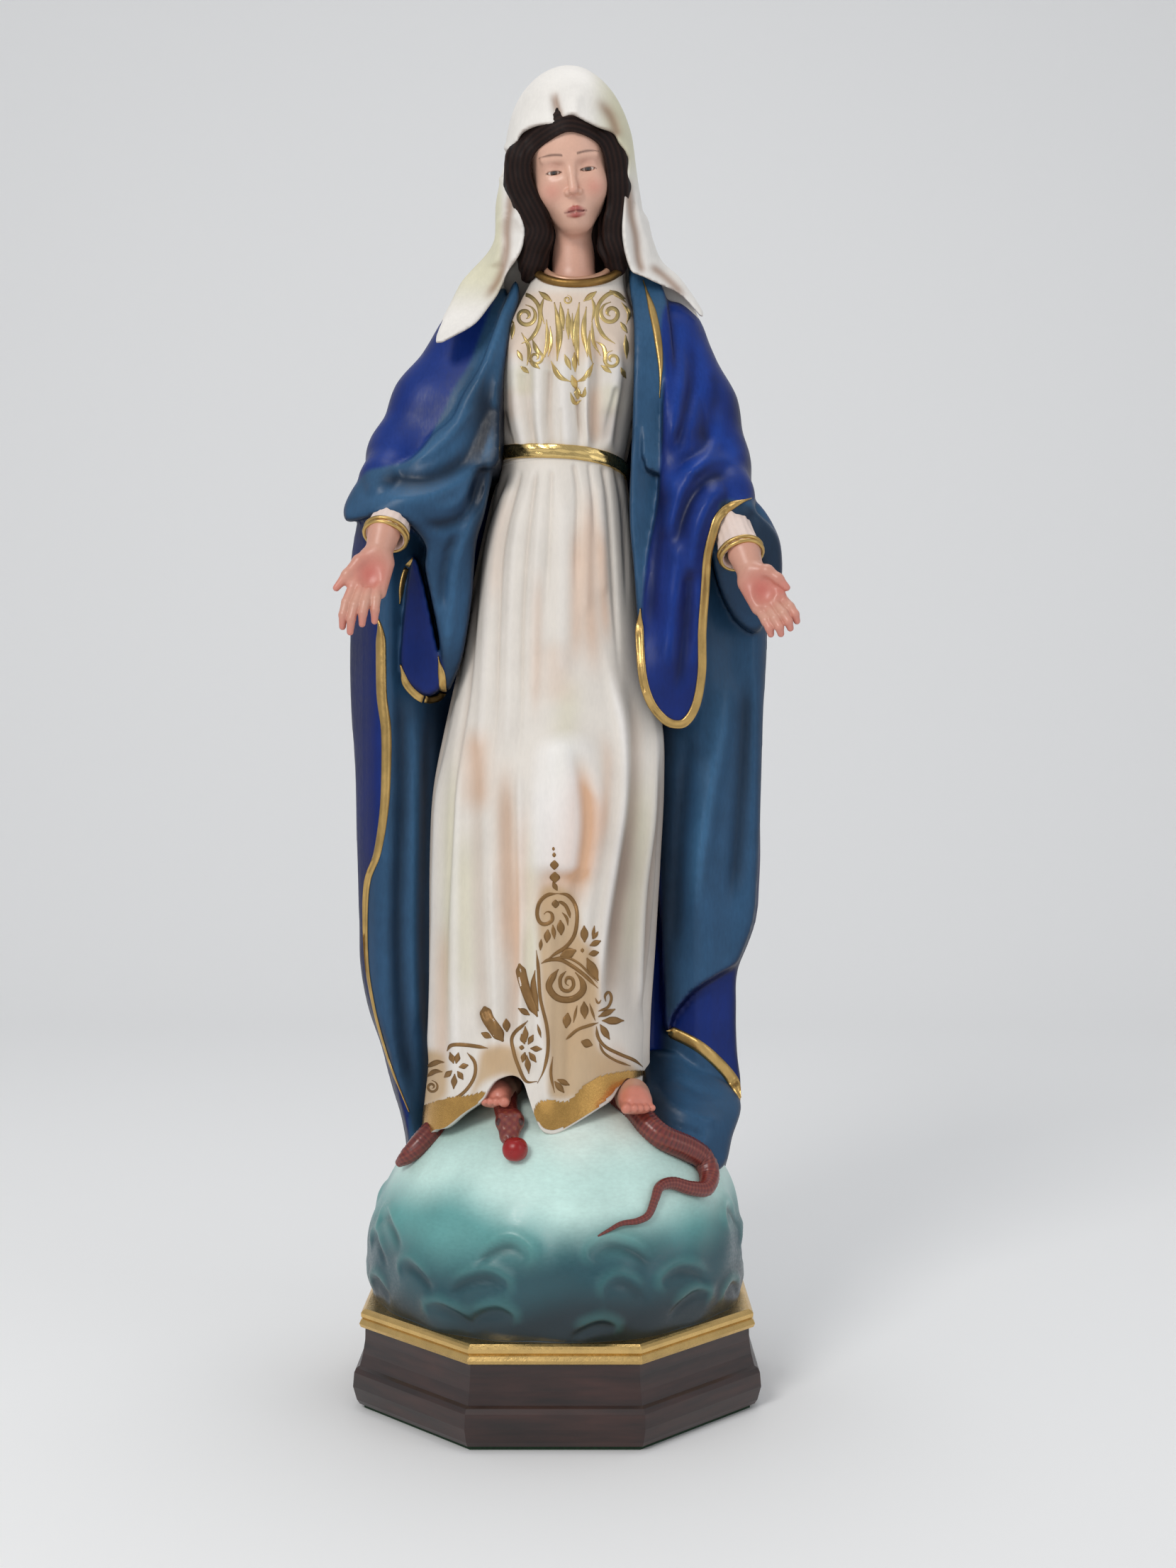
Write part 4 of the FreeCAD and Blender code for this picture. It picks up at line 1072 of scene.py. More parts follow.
SLEEVE_FRONT = [
    (47, 482), (48.5, 468), (48, 450), (47, 425), (45, 402), (41, 380), (38, 352), (37.2, 335),
    (39, 322), (44, 310), (50, 303.2), (56, 301.8), (61, 305), (65, 313), (67, 327), (67, 345),
    (68, 366), (69.5, 380), (72, 391), (75, 398.5), (80, 403.5), (87, 406), (89, 412), (86.4, 423),
    (83.6, 429), (81.5, 440), (75.2, 458), (69.6, 476), (64.5, 490), (56, 497), (49, 495),
]
SLEEVE_DEPTH = [
    (50, 493, -12), (62, 486, -8), (49, 475, -24), (56, 460, -28), (70, 460, -14), (60, 440, -33),
    (78, 435, -18), (50, 425, -36), (60, 420, -40), (86, 412, -28), (75, 412, -42), (48, 400, -38),
    (58, 395, -46), (70, 392, -46), (43, 378, -38), (54, 360, -43), (67, 362, -41), (39, 345, -37),
    (52, 330, -42), (66, 330, -38), (52, 305, -38), (60, 308, -37),
]
SLEEVE_INSIDE = [
    (73, 402), (80, 405), (88, 407), (95, 401), (101, 389), (102.5, 371), (98.5, 360), (92, 345),
    (82, 350), (74, 365), (70, 385),
]
SLEEVE_INSIDE_DEPTH = [
    (76, 404, -34), (88, 406, -30), (96, 398, -28), (101, 385, -24), (101, 366, -20),
    (90, 372, -27), (80, 380, -34), (74, 388, -38), (92, 346, -14), (80, 352, -20), (74, 366, -30),
]
GLOBE_FOLD = [
    (40, 150), (50, 152), (62, 148), (74, 140), (84, 128), (80, 112), (77, 100), (70, 96),
    (60, 100), (48, 108), (42, 118), (40, 130),
]
GLOBE_FOLD_DEPTH = [
    (45, 145, -6), (80, 135, -4), (60, 140, -10), (45, 125, -30), (60, 120, -34), (75, 118, -28),
    (48, 112, -40), (62, 106, -40), (76, 104, -30),
]
GLOBE_FOLD_RIDGES = [
    ([(44.3, 138), (52.5, 127.6), (64.2, 122), (75.8, 118.5)], 3.0, 2.4, (0.15, 0.15), 0.2),
    ([(50, 119), (58.4, 115), (68, 112)], 2.4, -2.4, (0.2, 0.2), 0.0),
    ([(52, 140), (62, 134), (76, 130)], 2.6, -1.8, (0.2, 0.2), 0.0),
    ([(58, 106), (66, 103), (74, 100)], 2.0, 1.2, (0.2, 0.2), 0.0),
]
SLEEVE_MOUTH = [
    (75, 405), (84.6, 405), (92.7, 399), (100.8, 390), (103, 379), (102, 368), (96, 373), (91, 380),
    (85, 384.5), (79, 384), (75.5, 383), (73.5, 393),
]
SLEEVE_MOUTH_DEPTH = [
    (80, 404, -38), (92, 397, -38), (101, 388, -30), (102, 372, -26), (84, 386, -39),
    (77, 386, -38), (92, 382, -36), (76, 396, -39),
]
EDGE_LEFT = [
    (-84, 353), (-82, 345), (-81.5, 317), (-79.5, 300), (-79.5, 280), (-80.5, 262), (-83.5, 243),
    (-88, 230), (-89, 212), (-88, 190), (-84.5, 170), (-79.5, 152), (-74.5, 138), (-69, 124),
]
EDGE_SLEEVE = [
    (88.5, 406.5), (79.8, 403.3), (74, 398.4), (71.2, 391), (68.6, 380), (67.6, 366), (66.2, 345),
    (66.0, 327), (63.8, 313), (60, 305.2), (55.7, 302.5), (49.6, 304.2), (43, 311.8), (39, 324),
    (37.5, 344), (38, 356),
]
EDGE_LAPEL = [(39, 507), (43, 494), (45.5, 482), (47, 468), (46.6, 453)]
EDGE_POCKET = [
    (-72.5, 330), (-70.5, 322), (-66, 316.5), (-60.6, 313.8), (-54.5, 315.5), (-53.4, 322),
    (-55.4, 334),
]
EDGE_POCKET_TOP = [(-66.5, 380), (-71, 372), (-73.5, 358)]
EDGE_RIGHT_HEM = [(50.5, 161.5), (63.3, 155), (73, 147), (80.2, 138.4), (84, 129)]
LOWER_RIGHT = [
    (40, 165), (50.5, 161.5), (63.3, 155), (73, 147), (80.2, 138.4), (84, 129), (84, 92), (40, 92),
]
RIGHT_PANEL = [
    (42, 330), (46, 250), (48, 200), (50, 163), (52.3, 168.6), (60.6, 179), (71.6, 186.6),
    (82.7, 193.5), (88.2, 203.1), (91.5, 213), (97, 260), (101, 330), (103, 372), (60, 380),
]
LINING_FOLDS = [  # points, width, height, fade, lean
    (
        [(77.5, 330), (75.8, 302.6), (70.2, 268), (65.4, 240), (62.6, 212)], 4.2, 3.4, (0.2, 0.2),
        -0.2,
    ),
    ([(87, 330), (85.5, 290), (83, 250), (80, 215)], 3.4, -2.2, (0.2, 0.2), 0.0),
    ([(60, 300), (57, 262), (55, 228), (53, 190)], 3.4, -1.8, (0.2, 0.2), 0.0),
    ([(-72.5, 320), (-71.5, 270), (-74, 210), (-71, 160), (-66, 128)], 3.2, -1.8, (0.1, 0.1), 0.0),
    ([(-65.5, 310), (-66, 260), (-67, 205), (-65, 160)], 2.6, 1.6, (0.2, 0.1), 0.0),
    ([(-60, 310), (-61, 260), (-62, 200), (-60, 150)], 2.0, -1.4, (0.2, 0.1), 0.0),
]
DRAPE_FOLDS = [
    (
        [
            (-22.2, 500.6), (-28.5, 482.5), (-34.1, 465.7), (-41, 449), (-49.4, 436.4),
            (-62, 426.6), (-76, 421),
        ],
        3.2, 1.8, (0.1, 0.15), -0.3,
    ),
    (
        [(-27.8, 451.7), (-36.9, 432.2), (-48, 421), (-62, 415.4), (-76, 415.4), (-87, 411)], 3.4,
        -2.6, (0.1, 0.15), 0.0,
    ),
    (
        [(-29.5, 440), (-37, 423), (-48, 413), (-60, 408), (-73, 407), (-88, 408)], 3.0, 1.8,
        (0.15, 0.2), 0.25,
    ),
    (
        [(-28.5, 459), (-31.3, 440.6), (-36.8, 421), (-43.8, 408.5), (-52.2, 402.9), (-68, 405)],
        2.2, 1.2, (0.2, 0.3), 0.0,
    ),
    ([(-33, 428), (-38, 408), (-44, 398), (-54, 394), (-64, 396)], 2.6, -2.0, (0.15, 0.2), 0.0),
    ([(-36, 410), (-41, 394), (-47, 376), (-50, 350), (-52, 330)], 2.6, 1.6, (0.2, 0.2), 0.0),
    ([(-45, 392), (-52, 378), (-54, 355)], 2.2, -1.5, (0.2, 0.2), 0.0),
    ([(-31, 472), (-37, 455), (-46, 443)], 1.6, -1.0, (0.2, 0.3), 0.0),
    ([(-27.5, 470), (-30, 448), (-32, 428), (-33.5, 410), (-37, 392)], 1.6, 1.3, (0.15, 0.2), 0.0),
    ([(-30, 452), (-34.5, 434), (-38.5, 416), (-41, 400)], 1.6, -1.5, (0.2, 0.2), 0.0),
]
NAVY_FOLDS = [
    ([(55, 491), (58, 470), (55, 450), (51.5, 428.6)], 3.4, 2.2, (0.15, 0.2), 0.2),
    ([(64, 486), (66, 465), (63, 445), (58, 430)], 3.2, 1.8, (0.2, 0.3), 0.2),
    ([(60, 484), (61.5, 462), (58, 442), (54, 425)], 2.4, -2.0, (0.2, 0.2), 0.0),
    ([(70, 470), (72, 455), (69, 440), (62, 428)], 2.6, -1.4, (0.2, 0.3), 0.0),
    (
        [(73.1, 452.3), (74, 438), (72, 430), (62.7, 421), (54.3, 417.4), (50, 404)], 3.2, 2.4,
        (0.15, 0.2), -0.2,
    ),
    ([(78, 436), (79.5, 431), (83.6, 425.8)], 3.0, 2.0, (0.2, 0.2), 0.0),
    ([(70, 440), (67, 430), (58, 424), (51, 414)], 2.4, -1.8, (0.2, 0.2), 0.0),
    (
        [(85, 423), (73.8, 425), (64, 420.2), (57, 411.9), (52.9, 400.7), (49.5, 386)], 3.0, 2.6,
        (0.1, 0.2), -0.25,
    ),
    ([(80, 417), (70, 416), (62, 408), (57, 396), (53, 380)], 2.8, -2.4, (0.15, 0.2), 0.0),
    ([(80, 410), (72, 408), (66, 398), (62, 384), (60, 366)], 3.0, 2.0, (0.15, 0.2), 0.0),
    ([(47, 415), (46, 395), (44, 372), (42, 345)], 2.4, -1.6, (0.2, 0.2), 0.0),
    ([(55, 398), (54, 375), (51.5, 350), (49, 325)], 3.4, 1.8, (0.2, 0.2), 0.0),
    ([(61, 380), (59.5, 358), (57.5, 336), (55, 315)], 2.6, -1.8, (0.2, 0.2), 0.0),
    ([(65, 372), (64, 345), (62, 325)], 2.2, 1.2, (0.2, 0.2), 0.0),
]
BACK_FOLDS = [  # turn from straight back in degrees at the foot, and at the shoulder; width; depth
    (-78, -62, 7.0, 3.0), (-58, -44, 8.0, 3.4), (-36, -27, 7.0, 3.2), (-17, -12, 7.5, 3.6),
    (3, 2, 6.5, 3.0), (22, 16, 8.0, 3.6), (42, 31, 7.0, 3.2), (61, 48, 8.0, 3.4),
    (80, 66, 6.5, 2.8),
]


def mantle_relief():
    """Ridges and valleys of the mantle's front, one chart for each layer of cloth."""
    lining, drape, navy = chart.blank(), chart.blank(), chart.blank()
    for field, folds in ((lining, LINING_FOLDS), (drape, DRAPE_FOLDS), (navy, NAVY_FOLDS)):
        for points, width, height, fade, lean in folds:
            chart.stroke(field, points, width, height, fade, lean)
    return lining, drape, navy


def back_relief(x, y, z):
    """Long vertical folds of the mantle's back, running in towards the shoulders."""
    turn = np.degrees(np.arctan2(x, np.maximum(y + 8, 1e-3)))
    rise = smooth_step((z - 110) / 380)
    fold = 0.0
    for foot, shoulder, wide, deep in BACK_FOLDS:
        at = foot + (shoulder - foot) * rise + 1.8 * np.sin(z / 47 + foot)
        gap = (turn - at) / wide
        fold = fold + deep * (np.exp(-(gap**2)) - 0.35 * np.exp(-(((gap - 1.1) / 0.8) ** 2)))
    return (fold - 0.8) * smooth_step((505 - z) / 60) * (0.55 + 0.45 * smooth_step((420 - z) / 200))


def prism(face, y, front, back, k):
    """A slab between a front surface given on the chart and a back depth, with soft edges."""
    gap = (front - y) * 0.8
    return smax(smax(face, gap, k), y - back, k)


def mantle_solid():
    outline = mantle_outline()
    drape_face, drape_depth = chart.region(DRAPE_LEFT), chart.surface(DRAPE_LEFT_DEPTH)
    pocket_face, pocket_depth = chart.region(POCKET), chart.surface(POCKET_DEPTH)
    lapel_face, lapel_depth = chart.region(LAPEL), chart.surface(LAPEL_DEPTH)
    sleeve_face, sleeve_depth = chart.region(SLEEVE_FRONT), chart.surface(SLEEVE_DEPTH)
    inside_face = chart.region(SLEEVE_INSIDE)
    inside_depth = chart.surface(SLEEVE_INSIDE_DEPTH)
    mouth_face, mouth_depth = chart.region(SLEEVE_MOUTH), chart.surface(SLEEVE_MOUTH_DEPTH)
    panel_face = chart.region(RIGHT_PANEL)
    fold_face = chart.region(GLOBE_FOLD)
    fold_relief = chart.blank()
    for points, width, height, fade, lean in GLOBE_FOLD_RIDGES:
        chart.stroke(fold_relief, points, width, height, fade, lean)
    fold_depth = chart.surface(GLOBE_FOLD_DEPTH) - fold_relief
    lining_relief, drape_relief, navy_relief = mantle_relief()
    lining_depth = lining_chart() - lining_relief
    drape_depth = drape_depth - drape_relief
    sleeve_depth = sleeve_depth - navy_relief

    def distance(x, y, z, xs, zs):
        left = profile(MANTLE_LEFT, zs)[None]
        right = profile(MANTLE_RIGHT, zs)[None]
        back = profile(MANTLE_BACK, zs)[None]
        half = np.where(x < 0, left, right)
        deep = back - 4 if y > 4 else profile(MANTLE_FRONT, zs)[None]
        fold = back_relief(x, y, z) * smooth_step((y + 2) / 14)
        reach = ((np.abs(x) / half) ** 2.3 + (abs(y - 4) / deep) ** 2.3) ** (1 / 2.3)
        scale = 1.0 / np.sqrt((x / half**2) ** 2 + ((y - 4) / deep**2) ** 2 + 1e-9)
        body = (reach - 1) * np.minimum(scale * reach, 60.0) - fold
        front_edge = chart.slice(outline, y, xs, zs)
        lining = chart.slice(lining_depth, y, xs, zs)
        panel = chart.slice(panel_face, y, xs, zs)
        step = 8.0 * smooth_step((x - 38) / 8) * smooth_step(panel / 2.0)
        step = step * smooth_step((230 - z) / 20)
        body = smax(body, (lining + step - y) * 0.85, 3.0)
        body = smax(body, np.maximum(front_edge, 0) - 1.5, 2.0)
        body = smax(body, z - 509, 3.0)
        tube_l = path_limb(x, y, z, ARM_LEFT, [16, 17, 14.5, 10, 9], 8.0)
        tube_r = path_limb(x, y, z, ARM_RIGHT, [16, 16.5, 14.5, 10, 8.5], 8.0)
        tubes = np.minimum(tube_l, tube_r)
        body = smin(body, tubes, 9.0)
        for face, depth, rear, k in (
            (fold_face, fold_depth, 14.0, 3.0),
            (lapel_face, lapel_depth, 6.0, 2.2),
            (pocket_face, pocket_depth, 4.0, 2.0),
            (inside_face, inside_depth, 6.0, 2.5),
            (mouth_face, mouth_depth, 0.0, 2.5),
            (drape_face, drape_depth, 2.0, 3.0),
            (sleeve_face, sleeve_depth, 4.0, 3.2),
        ):
            face_here, depth_here = chart.slice(face, y, xs, zs), chart.slice(depth, y, xs, zs)
            body = smin(body, prism(face_here, y, depth_here, rear, k), 1.2)
        globe_gap = np.sqrt((x / 84.5) ** 2 + (y / 84.5) ** 2 + ((z - 62) / 76.0) ** 2) - 1
        body = smax(body, -globe_gap * 80, 1.0)
        return smax(body, 92.0 - z, 2.0)

    return carve_slices((-107, -66, 88), (107, 68, 516), 1.25, distance)


def mantle_outline():
    """Chart distance beyond the mantle's outline."""
    left = [(-1 - profile(MANTLE_LEFT, z), z) for z in range(92, 512, 10)]
    right = [(1 + profile(MANTLE_RIGHT, z), z) for z in range(92, 512, 10)]
    return chart.region(left + right[::-1], sharp=True)


def lining_chart():
    """Depth of the lining's front everywhere on the chart: above the arms nothing is cut away."""
    x = chart.xs
    left = profile(LINING_LEFT, x)
    right = profile(LINING_RIGHT, x)
    line = np.where(x < 0, left, right)[:, None]
    outside = np.where(x < 6, smooth_step((-21 - x) / 9), smooth_step((x - 34) / 8))[:, None]
    above = smooth_step((chart.zs - 405) / 25)[None]
    share = outside * above
    return line * (1 - share) - 60.0 * share


def zone(field, x0, z0, soft=1.2, beyond=0.0):
    """Share of a point inside a region, or within some distance beyond it."""
    return smooth_step(0.5 - (chart.sample(field, x0, z0) - beyond) / (2 * soft))


def mantle(material):
    points, quads = mantle_solid()
    points, quads = largest_shells(points, quads, 300)
    points = relax(points, quads, 1, 0.3)
    quads = outward(points, quads)
    normal = point_normals(points, quads)
    x0, z0 = sight(points)
    paint = mantle_paint(points, normal, x0, z0)
    middle = points[quads].mean(1)
    across, forward, height = middle.T
    front = forward < 6
    right_side = front & (across < -17) & (height > 300) & (height < 462 + across * 0.2)
    right_side &= in_cloth(middle, [DRAPE_LEFT, POCKET], ARM_LEFT)
    left_side = front & (across > 30) & (height > 285) & (height < 470 - across * 0.1)
    left_side &= in_cloth(middle, [SLEEVE_FRONT, SLEEVE_INSIDE, SLEEVE_MOUTH], ARM_RIGHT)
    rest = ~(right_side | left_side)
    for name, slot, node, chosen in (
        ("mantle_folds", "mantle", "mantle", rest),
        ("right_sleeve_folds", "sleeves", "right_sleeve", right_side),
        ("left_sleeve_folds", "sleeves", "left_sleeve", left_side),
    ):
        part_of(name, points, quads[chosen], normal, material, slot, node, paint)
    return BVHTree.FromPolygons((points * MM).tolist(), quads.tolist())


def in_cloth(middle, outlines, arm):
    """Which faces belong to a sleeve: within its outlines or close round its arm."""
    x0, z0 = sight(middle)
    inside = np.zeros(len(middle), bool)
    for outline in outlines:
        inside |= chart.sample(chart.region(outline), x0, z0) < 1.0
    x, y, z = middle.T
    return inside | (path_limb(x, y, z, arm[1:], [18, 17, 13, 12], 6.0) < 3.0)


def part_of(name, points, quads, normal, material, slot, node, paint):
    """One piece out of a larger surface, shaded so that no seam shows where they meet."""
    used = np.unique(quads)
    renumber = np.zeros(len(points), int)
    renumber[used] = np.arange(len(used))
    thing = piece(name, points[used], renumber[quads], material, slot, [node], paint[used])
    thing.data.normals_split_custom_set_from_vertices(normal[used].tolist())


def mantle_paint(points, normal, x0, z0):
    x, y, z = points.T
    streak = 0.5 + 0.5 * np.sin(z / 23 + 3 * np.sin(x / 31))
    navy = np.tile(NAVY, (len(points), 1))
    # Painted light: navy and lining are painted darker where the cloth faces away from the front and the
    # top, and lighter where it faces them, with long streaks in the painted shade.
    light = np.clip(-normal[:, 1] * 0.6 + normal[:, 2] * 0.5 + 0.05, 0, 1)
    navy = blend_paint(navy, NAVY_SHADE, np.clip(0.75 - light * 1.6 + 0.25 * streak, 0, 1))
    navy = blend_paint(navy, NAVY_HIGHLIGHT, np.clip(light - 0.35, 0, 1) * 0.7)
    steel = np.tile(STEEL, (len(points), 1))
    steel = blend_paint(steel, STEEL_HIGHLIGHT, np.clip(light - 0.3, 0, 1) * 0.75)
    steel = blend_paint(steel, STEEL_SHADE, np.clip(0.4 - light, 0, 1) * 1.6)
    # Painted shade on the lining low down, in towards the gown.
    inner = smooth_step((x + 66) / 12) * smooth_step((60 - x) / 14)
    below = smooth_step((345 - z) / 40)
    steel = blend_paint(steel, STEEL_SHADE, inner * below * 0.85)
    front = smooth_step((-y + 9) / 4)
    edge_left = np.interp(z0, [p[1] for p in EDGE_LEFT[::-1]], [p[0] for p in EDGE_LEFT[::-1]])
    lining = smooth_step((x0 - edge_left) / 1.2 + 0.5) * (x0 < 30) * smooth_step((395 - z0) / 6)
    panel = zone(chart.region(RIGHT_PANEL), x0, z0) * (x0 > 30)
    low_right = zone(chart.region(LOWER_RIGHT), x0, z0) * (x0 > 30)
    steel_share = np.maximum.reduce([lining, panel, low_right])
    inner_edge = 5.0 * smooth_step((x0 + 60) / 8)
    # Painted shade on the lining beside the gown, under the drape on the figure's right, where the real
    # statue is also airbrushed darker.
    near_gown = smooth_step((x0 + 46) / 12) * smooth_step((x0 * -1 + 4) / 20)
    near_gown = near_gown * smooth_step((474 - z0) / 24)
    steel = blend_paint(steel, STEEL_SHADE, near_gown * smooth_step((z0 - 320) / 30) * 0.85)
    steel_share = np.maximum(steel_share, zone(chart.region(DRAPE_LEFT), x0, z0, 1.2, inner_edge))
    pocket = zone(chart.region(POCKET), x0, z0)
    steel_share = steel_share * (1 - pocket)
    steel_share = np.maximum(steel_share, zone(chart.region(LAPEL), x0, z0, 1.2, 1.2 * (x0 < 40)))
    steel_share = np.maximum(steel_share, zone(chart.region(SLEEVE_INSIDE), x0, z0))
    steel_share = steel_share * (1 - zone(chart.region(SLEEVE_FRONT), x0, z0) * (y < 2))
    mouth = zone(chart.region(SLEEVE_MOUTH), x0, z0) * (y < 0)
    steel_share = np.maximum(steel_share, mouth)
    # Painted shade inside the left sleeve's mouth.
    steel = blend_paint(steel, STEEL_SHADE, mouth * 0.6)
    steel_share = steel_share * front
    # Painted shade in the valleys of the folds and painted highlight on their ridges, on the lining and on
    # the navy.
    layers = [chart.sample(field, x0, z0) for field in mantle_relief()]
    fold = np.where(np.abs(layers[1]) > np.abs(layers[0]), layers[1], layers[0])
    valley, ridge = np.clip(-fold / 2.5, 0, 1), np.clip(fold / 3.0, 0, 1)
    steel = blend_paint(steel, STEEL_SHADE, valley * 0.75)
    steel = blend_paint(steel, STEEL_HIGHLIGHT, ridge * 0.5)
    valley, ridge = np.clip(-layers[2] / 2.5, 0, 1), np.clip(layers[2] / 3.0, 0, 1)
    navy = blend_paint(navy, NAVY_SHADE, valley * front * 0.8)
    navy = blend_paint(navy, NAVY_HIGHLIGHT, ridge * front * 0.35)
    return navy * (1 - steel_share[:, None]) + steel * steel_share[:, None]


# ---------------------------------------------------------------- ribbons of gold


def drop_on(tree, x0, z0):
    """Point and direction where the line of sight through a chart point meets a surface."""
    eye = Vector(EYE * MM)
    aim = Vector((x0 * MM, 0.0, z0 * MM))
    hit, normal, _, _ = tree.ray_cast(eye, (aim - eye).normalized())
    if hit is None:
        return None, None
    if normal.dot(eye - hit) < 0:
        normal = -normal
    return np.array(hit) / MM, np.array(normal)


def ribbon_rows(tree, points, width, rise, step=1.2, tail=(0.0, 0.0), lift=0.25, across=5):
    """Rows of points across a band laid on a surface along a chart line, proud in the middle."""
    line = curve(points, step)
    way = np.gradient(line, axis=0)
    way /= np.linalg.norm(way, axis=1, keepdims=True) + 1e-9
    side = np.column_stack([way[:, 1], -way[:, 0]])
    lengths = np.concatenate([[0], np.cumsum(np.hypot(*np.diff(line, axis=0).T))])
    share = lengths / lengths[-1]
    wide = width
    if tail[0]:
        wide = wide * (0.15 + 0.85 * smooth_step(share / tail[0]))
    if tail[1]:
        wide = wide * (0.15 + 0.85 * smooth_step((1 - share) / tail[1]))
    wide = wide * np.ones_like(share)
    offsets = np.linspace(-0.5, 0.5, across)
    rows = []
    last = None
    for here, out, w in zip(line, side, wide):
        row = []
        for k, t in enumerate(offsets):
            p, n = drop_on(tree, *(here + out * t * w))
            if p is None:
                p, n = (last[k] if last else (None, None))
            row.append((p, n))
        if any(p is None for p, _ in row):
            continue
        row = on_one_layer(row)
        last = row
        crown = [lift + rise * (1 - (2 * t) ** 2) for t in offsets]
        rows.append([p + n * c for (p, n), c in zip(row, crown)])
    return rows


def on_one_layer(row, step_back=1.6):
    """Keeps a row on the nearest layer of cloth where part of it would fall to a layer behind."""
    nearest = min(p[1] for p, _ in row)
    ahead = min(row, key=lambda pair: pair[0][1])[1]
    kept = []
    for p, n in row:
        if p[1] > nearest + 2 * step_back:
            share = (nearest + step_back - EYE[1]) / (p[1] - EYE[1])
            p, n = EYE + (p - EYE) * share, ahead
        kept.append((p, n))
    return kept


def unbroken(rows, reach=6.0):
    """Splits rows into stretches wherever the band would leap from one layer of cloth to another."""
    stretch = rows[:1]
    for before, here in zip(rows, rows[1:]):
        if np.linalg.norm(np.mean(here, axis=0) - np.mean(before, axis=0)) > reach:
            yield stretch
            stretch = []
        stretch.append(here)
    yield stretch


def ribbon_mesh(groups, sunk=0.9):
    """One mesh from many groups of rows: a band with turned-down edges so that it has no gap."""
    points, faces = [], []
    for rows in [stretch for group in groups for stretch in unbroken(group)]:
        if len(rows) < 2:
            continue
        grid = np.array(rows)
        smooth = grid.copy()
        smooth[1:-1] = (grid[:-2] + 2 * grid[1:-1] + grid[2:]) / 4
        back = np.array([0.0, 1.0, 0.0])
        sunk_a = smooth[:, :1] + back * sunk
        sunk_b = smooth[:, -1:] + back * sunk
        full = np.concatenate([sunk_a, smooth, sunk_b], axis=1)
        closed = np.concatenate([full[:1] + back * sunk, full, full[-1:] + back * sunk], axis=0)
        base = sum(len(p) for p in points)
        points.append(closed.reshape(-1, 3))
        faces.append(grid_faces(closed.shape[0], closed.shape[1]) + base)
    return np.vstack(points), np.vstack(faces)


def mantle_edges(tree, gold):
    groups = [
        ribbon_rows(tree, EDGE_LEFT, 4.6, 0.55, tail=(0.06, 0.85)),
        ribbon_rows(tree, EDGE_SLEEVE, 3.9, 0.7, tail=(0.06, 0.06)),
        ribbon_rows(tree, EDGE_LAPEL, 3.4, 0.5, tail=(0.3, 0.5)),
        ribbon_rows(tree, EDGE_POCKET, 3.4, 0.6, tail=(0.2, 0.2)),
        ribbon_rows(tree, EDGE_POCKET_TOP, 2.6, 0.5, tail=(0.3, 0.3)),
        ribbon_rows(tree, EDGE_RIGHT_HEM, 5.4, 0.6, tail=(0.03, 0.2)),
    ]
    points, faces = ribbon_mesh([g for g in groups if g])
    piece("mantle_gold_edge", points, faces, gold, "mantle", [])
# ---------------------------------------------------------------- belt, collar, cuffs

BELT_ROWS = [
    (-3.2, -0.4), (-2.8, 0.9), (-1.9, 1.5), (-1.0, 1.0), (-0.1, 1.5), (0.8, 1.7), (1.6, 1.1),
    (2.3, 1.2), (2.8, 0.6), (3.1, -0.4),
]


def belt(gold):
    """Twisted gold girdle: a tilted ring with soft ridges running round it."""
    columns = 260
    turn = np.linspace(-math.pi, math.pi, columns, endpoint=False)
    grid = []
    for offset, stand in BELT_ROWS:
        tilt = -3.2 * np.sin(turn) + 1.2 * np.cos(turn) + 0.5 * np.sin(3 * turn)
        height = WAIST + 1.5 + offset + tilt
        base, normal = gown_point(turn, height)
        twist = 0.35 * np.sin(22 * turn + offset * 1.3)
        base = base + normal * (stand * 0.95 + 0.5 * twist * (abs(offset) < 2.6) + 0.7)[:, None]
        grid.append(base)
    normal = gown_point(turn, np.full_like(turn, WAIST))[1]
    lowest = grid[0] - normal * 2.5
    highest = grid[-1] - normal * 2.5
    rows = np.array([lowest] + grid + [highest])
    faces = grid_faces(len(rows), columns, closed=True)
    last = (len(rows) - 1) * columns
    j = np.arange(columns)
    k = (j + 1) % columns
    close = np.stack([last + j, last + k, k, j], -1)
    quads = np.vstack([faces, close])
    points = rows.reshape(-1, 3)
    piece("belt_girdle", points, outward(points, quads), gold, "gilding", ["belt"])


